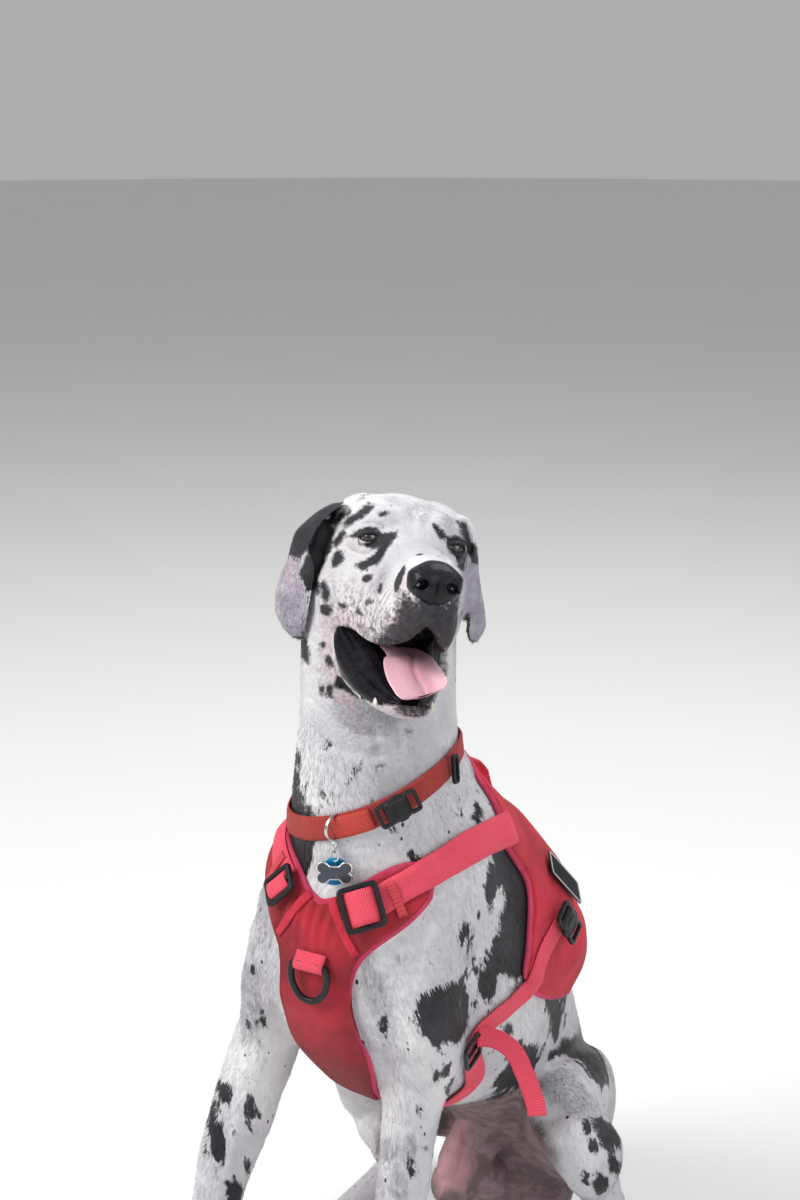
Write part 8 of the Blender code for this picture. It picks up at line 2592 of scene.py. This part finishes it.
@dataclass
class Claws:
    """Sixteen dark, curved claws, each sheathed at its root by the toe."""

    place: Place
    paws: tuple = (
        ("forepaw_left", 0.048, -0.100, 3.0, 1.05), ("forepaw_right", -0.205, -0.164, -22.0, 1.05),
        ("hindpaw_left", 0.176, 0.118, -5.0, 0.93), ("hindpaw_right", -0.186, 0.118, 8.0, 0.93),
    )
    toes: tuple = ((-0.0335, -0.054), (-0.0118, -0.068), (0.0118, -0.068), (0.0335, -0.054))
    radius: float = 0.0047
    length: float = 0.0205

    def claw(self, size: float) -> Array:
        """Rings of one claw in its own axes: out along -y, bending down to a blunt tip.

        The radius falls with the square root of what is left of the length, and the bend is
        the square of the way along.
        """
        t = np.linspace(0.0, 1.0, 15)[:, None]
        a = np.linspace(0, 2 * np.pi, 17)[None, :-1]
        r = self.radius * size * (0.22 + 0.78 * np.sqrt(1.0 - 0.96 * t)) * np.where(t >= 1.0, 0.02, 1.0)
        x = r * 0.80 * np.cos(a)
        y = -self.length * size * t + 0 * a
        z = r * np.sin(a) - 0.0072 * size * t ** 2
        return np.stack([x, y, z], axis=-1).reshape(-1, 3)

    def build(self) -> None:
        """All claws as one piece per paw."""
        for name, px, py, heading, size in self.paws:
            local = []
            for x, y in self.toes:
                splay = turn_about("z", -x * 260.0)
                local.append(self.claw(size) @ splay.T + np.array([x * size, y * size, 0.0130 * size]))
            points = np.vstack(local) @ turn_about("z", heading).T + np.array([px, py, 0.0])
            faces = grid_faces(15, 16, wrap_columns=True)
            caps = np.array([[r * 16 + i, r * 16 + i + 1, r * 16 + (14 - i), r * 16 + (15 - i)]
                             for r in (0, 14) for i in range(7)])
            faces = np.vstack([faces, caps])
            faces = np.vstack([faces + 240 * k for k in range(4)])
            obj = mesh_object("claws_" + name, self.place.body(points), faces)
            weld(obj)
            obj.data.materials.append(CLAW.material())
            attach(obj, ROOT)


@dataclass
class Tufts:
    """Short hairs in thin overlapping blades lying along the body, coloured as the skin is.

    Each blade is rooted in the skin, lies along the hair's run and lifts a little at its
    tip, so that the outline breaks up on every side without a fringe.
    """

    skin: Skin
    dress: SkinDress
    covers: list
    seed: int = 17
    count: int = 215000
    piece: int = 62000
    width: float = 0.0009
    long_body: float = 0.0088
    long_head: float = 0.0046

    def roots(self) -> tuple[Array, Array, Array]:
        """Seeded places on the skin's faces by area and density, with their normals."""
        obj = self.skin.obj
        points, normals = read_points(obj), read_normals(obj)
        mesh = obj.data
        mesh.calc_loop_triangles()
        tris = np.zeros(len(mesh.loop_triangles) * 3, np.int32)
        mesh.loop_triangles.foreach_get("vertices", tris)
        tris = tris.reshape(-1, 3)
        a, b, c = (points[tris[:, i]] for i in range(3))
        area = 0.5 * np.linalg.norm(np.cross(b - a, c - a), axis=1)
        head = self.skin.head_share(points)[tris].mean(axis=1)
        mouth = np.zeros(len(points))
        mesh.attributes[Coat.MOUTH.value].data.foreach_get("value", mouth)
        bare = np.zeros(len(points))
        mesh.attributes[Coat.BELLY.value].data.foreach_get("value", bare)
        weight = area * (1.0 + 1.6 * head) * (mouth[tris].max(axis=1) < 0.02)
        weight = weight * np.where(bare[tris].mean(axis=1) > 0.004, 0.12, 1.0)
        rng = np.random.default_rng(self.seed)
        pick = rng.choice(len(tris), self.count, p=weight / weight.sum())
        r = np.sqrt(rng.random((self.count, 1)))
        s = rng.random((self.count, 1))
        share = np.hstack([1.0 - r, r * (1.0 - s), r * s])
        corner = tris[pick]
        spot = np.einsum("ij,ijk->ik", share, points[corner])
        way = unit(np.einsum("ij,ijk->ik", share, normals[corner]))
        return spot, way, rng.random((self.count, 4))

    def flow(self, points: Array, normals: Array, local: Array, head: Array) -> Array:
        """Which way the hair lies: back over the head, down the ears, neck and legs."""
        place = self.skin.place
        raw = points - place.shift
        face = place.head_turn(np.broadcast_to(np.array([0.0, 1.0, -0.35]), points.shape))
        ears = smooth_step(np.abs(local[:, 0]), 0.078, 0.094)[:, None]
        face = face * (1.0 - ears) + np.array([0.0, 0.1, -1.0]) * ears
        body = np.stack([0.25 * np.sign(raw[:, 0]) * smooth_step(np.abs(raw[:, 0]), 0.02, 0.08),
                         0.45 + 0.0 * raw[:, 0], np.full(len(raw), -1.0)], axis=1)
        tail = smooth_step(raw[:, 1], 0.40, 0.46)[:, None] * smooth_step(-raw[:, 2], -0.22, -0.16)[:, None]
        body = body * (1.0 - tail) + np.array([0.0, 1.0, 0.0]) * tail
        paws = smooth_step(-raw[:, 2], -0.055, -0.035)[:, None] * (1.0 - tail)
        body = body * (1.0 - paws) + np.array([0.0, -1.0, -0.3]) * paws
        way = face * head[:, None] + body * (1.0 - head[:, None])
        swirl = np.stack([value_noise(points, 22.0, 31 + k) for k in range(3)], axis=1)
        way = unit(way) + 0.26 * swirl
        return unit(way - normals * np.sum(way * normals, axis=1, keepdims=True))

    def open_air(self, points: Array, normals: Array) -> Array:
        """True where no gear lies over a root."""
        free = np.full(len(points), True)
        for obj in self.covers:
            box = read_points(obj)
            low, high = box.min(axis=0) - 0.02, box.max(axis=0) + 0.02
            near = np.nonzero(np.all((points > low) & (points < high), axis=1) & free)[0]
            if len(near):
                _, _, found = cast(tree_of(obj), points[near] - normals[near] * 0.004, normals[near], 0.040)
                free[near[found]] = False
        return free

    def unwrap(self, points: Array, normals: Array, head: Array) -> Array:
        """Where a root lies on an unwrap of the skin's own shape.

        The skin is cut into five parts, and each part into six by the axis its normal
        follows most; each piece is laid flat in its own cell of a six by five sheet.
        """
        raw = points - self.skin.place.shift
        part = np.where(head > 0.5, 0, 1)
        legs = (part == 1) & (raw[:, 2] < 0.40)
        part = np.where(legs & (raw[:, 1] < 0.06), np.where(raw[:, 0] > -0.03, 2, 3), part)
        part = np.where(legs & (raw[:, 1] >= 0.06), 4, part)
        axis = np.argmax(np.abs(normals), axis=1)
        sign = (np.take_along_axis(normals, axis[:, None], axis=1)[:, 0] > 0).astype(int)
        flat = np.where(axis[:, None] == 0, points[:, [1, 2]], np.where(axis[:, None] == 1, points[:, [0, 2]], points[:, [0, 1]]))
        cell = axis * 2 + sign
        uv = np.zeros((len(points), 2))
        for p in range(5):
            for c in range(6):
                here = (part == p) & (cell == c)
                if here.any():
                    low = flat[here].min(axis=0)
                    size = max((flat[here].max(axis=0) - low).max(), 1e-4)
                    share = 0.04 + 0.92 * (flat[here] - low) / size
                    uv[here] = (share + np.array([c, p])) / np.array([6.0, 5.0])
        return uv

    def build(self) -> None:
        """Grow the blades and split them into pieces."""
        spot, way, dice = self.roots()
        place = self.skin.place
        local = place.to_head(spot)
        head = self.skin.head_share(spot)
        keep = self.open_air(spot, way)
        for side in (-1.0, 1.0):
            keep &= np.linalg.norm(local - np.array([side * 0.043, -0.004, 0.003]), axis=1) > 0.015
        keep &= np.linalg.norm((local - np.array([0.0, -0.150, -0.021])) / [1.0, 1.0, 0.85], axis=1) > 0.030
        spot, way, dice, local, head = spot[keep], way[keep], dice[keep], local[keep], head[keep]
        run = self.flow(spot, way, local, head)
        raw = spot - place.shift
        face = smooth_step(-local[:, 1], -0.02, 0.05) * head
        feet = smooth_step(-raw[:, 2], -0.10, -0.04)
        length = self.long_body * (1.0 - head) + self.long_head * head
        length = length * (1.0 - 0.35 * face) * (1.0 - 0.45 * feet) * (0.65 + 0.7 * dice[:, 0])
        wide = self.width * (1.0 - 0.35 * head) * (0.7 + 0.6 * dice[:, 1])
        lift = 0.07 + 0.13 * dice[:, 2] ** 2
        across = np.cross(run, way)
        across = across + 0.10 * (dice[:, 3:4] - 0.5) * way
        base = spot - way * 0.0006
        mid = spot + run * (0.5 * length)[:, None] + way * (0.0002 + 0.45 * lift * length)[:, None]
        tip = spot + run * length[:, None] + way * (0.72 * lift * length)[:, None]
        half = across * (0.5 * wide)[:, None]
        verts = np.stack([base - half, base + half, mid - 0.8 * half, mid + 0.8 * half, tip], axis=1)
        uv = self.unwrap(spot, way, head)
        span = 0.003
        patch = np.array([[-1, -1], [1, -1], [-1, 0], [1, 0], [0, 1]]) * 0.5 * span
        uvs = uv[:, None] + patch[None]
        fields = self.dress.marks.fields(spot, way)
        fields[Coat.HEAD] = head
        material = self.dress.finish.material(place.head, True)
        quads = np.array([[0, 1, 3, 2]])
        ends = np.array([[2, 3, 4]])
        for index, first in enumerate(range(0, len(spot), self.piece)):
            part = slice(first, first + self.piece)
            self.blades("coat_tufts_%d" % index, verts[part], uvs[part], quads, ends,
                        {k: v[part] for k, v in fields.items()}, material, way[part])

    def blades(self, name: str, verts: Array, uvs: Array, quads: Array, ends: Array, fields: dict,
               material: bpy.types.Material, way: Array) -> None:
        """One piece of blades, with fields, UV and material, shaded as the skin faces."""
        count = len(verts)
        start = (5 * np.arange(count))[:, None]
        loops = np.hstack([quads + start, ends + start]).reshape(-1)
        mesh = bpy.data.meshes.new(name)
        mesh.vertices.add(5 * count)
        mesh.vertices.foreach_set("co", verts.reshape(-1))
        mesh.loops.add(len(loops))
        mesh.loops.foreach_set("vertex_index", loops.astype(np.int32))
        mesh.polygons.add(2 * count)
        mesh.polygons.foreach_set("loop_start", np.stack([7 * np.arange(count), 7 * np.arange(count) + 4], axis=1).reshape(-1))
        mesh.polygons.foreach_set("loop_total", np.tile([4, 3], count))
        mesh.update(calc_edges=True)
        mesh.polygons.foreach_set("use_smooth", np.full(2 * count, True))
        mesh.normals_split_custom_set_from_vertices(np.repeat(way, 5, axis=0))
        layer = mesh.uv_layers.new(name="OFBake")
        layer.data.foreach_set("uv", uvs.reshape(-1, 2)[loops].reshape(-1))
        obj = bpy.data.objects.new(name, mesh)
        bpy.context.scene.collection.objects.link(obj)
        for key, values in fields.items():
            put_field(obj, key.value, np.repeat(values, 5))
        mesh.materials.append(material)
        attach(obj, ROOT)
        LOG.info("%s, %d blades", name, count)


def main() -> None:
    """Build every part of the scene in order and report each piece."""
    logging.basicConfig(level=logging.INFO, format="%(name)s: %(message)s")
    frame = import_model()
    place = Place()
    place.settle()
    view = Viewpoint(place)
    Studio(view).build()
    skin = Skin(place, view=view)
    skin.build(frame["nodes"])
    dress = SkinDress(skin, view)
    dress.build()
    Eyes(skin).build(dress)
    Nose(place).build()
    Mouth(place).build()
    bed = Bed(place, view, skin.obj)
    bed.start()
    harness = Harness(bed, frame["nodes"])
    Collar(harness).build()
    harness.build()
    Claws(place).build()
    Tufts(skin, dress, bed.laid).build()
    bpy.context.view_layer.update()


if __name__ == "__main__":
    main()
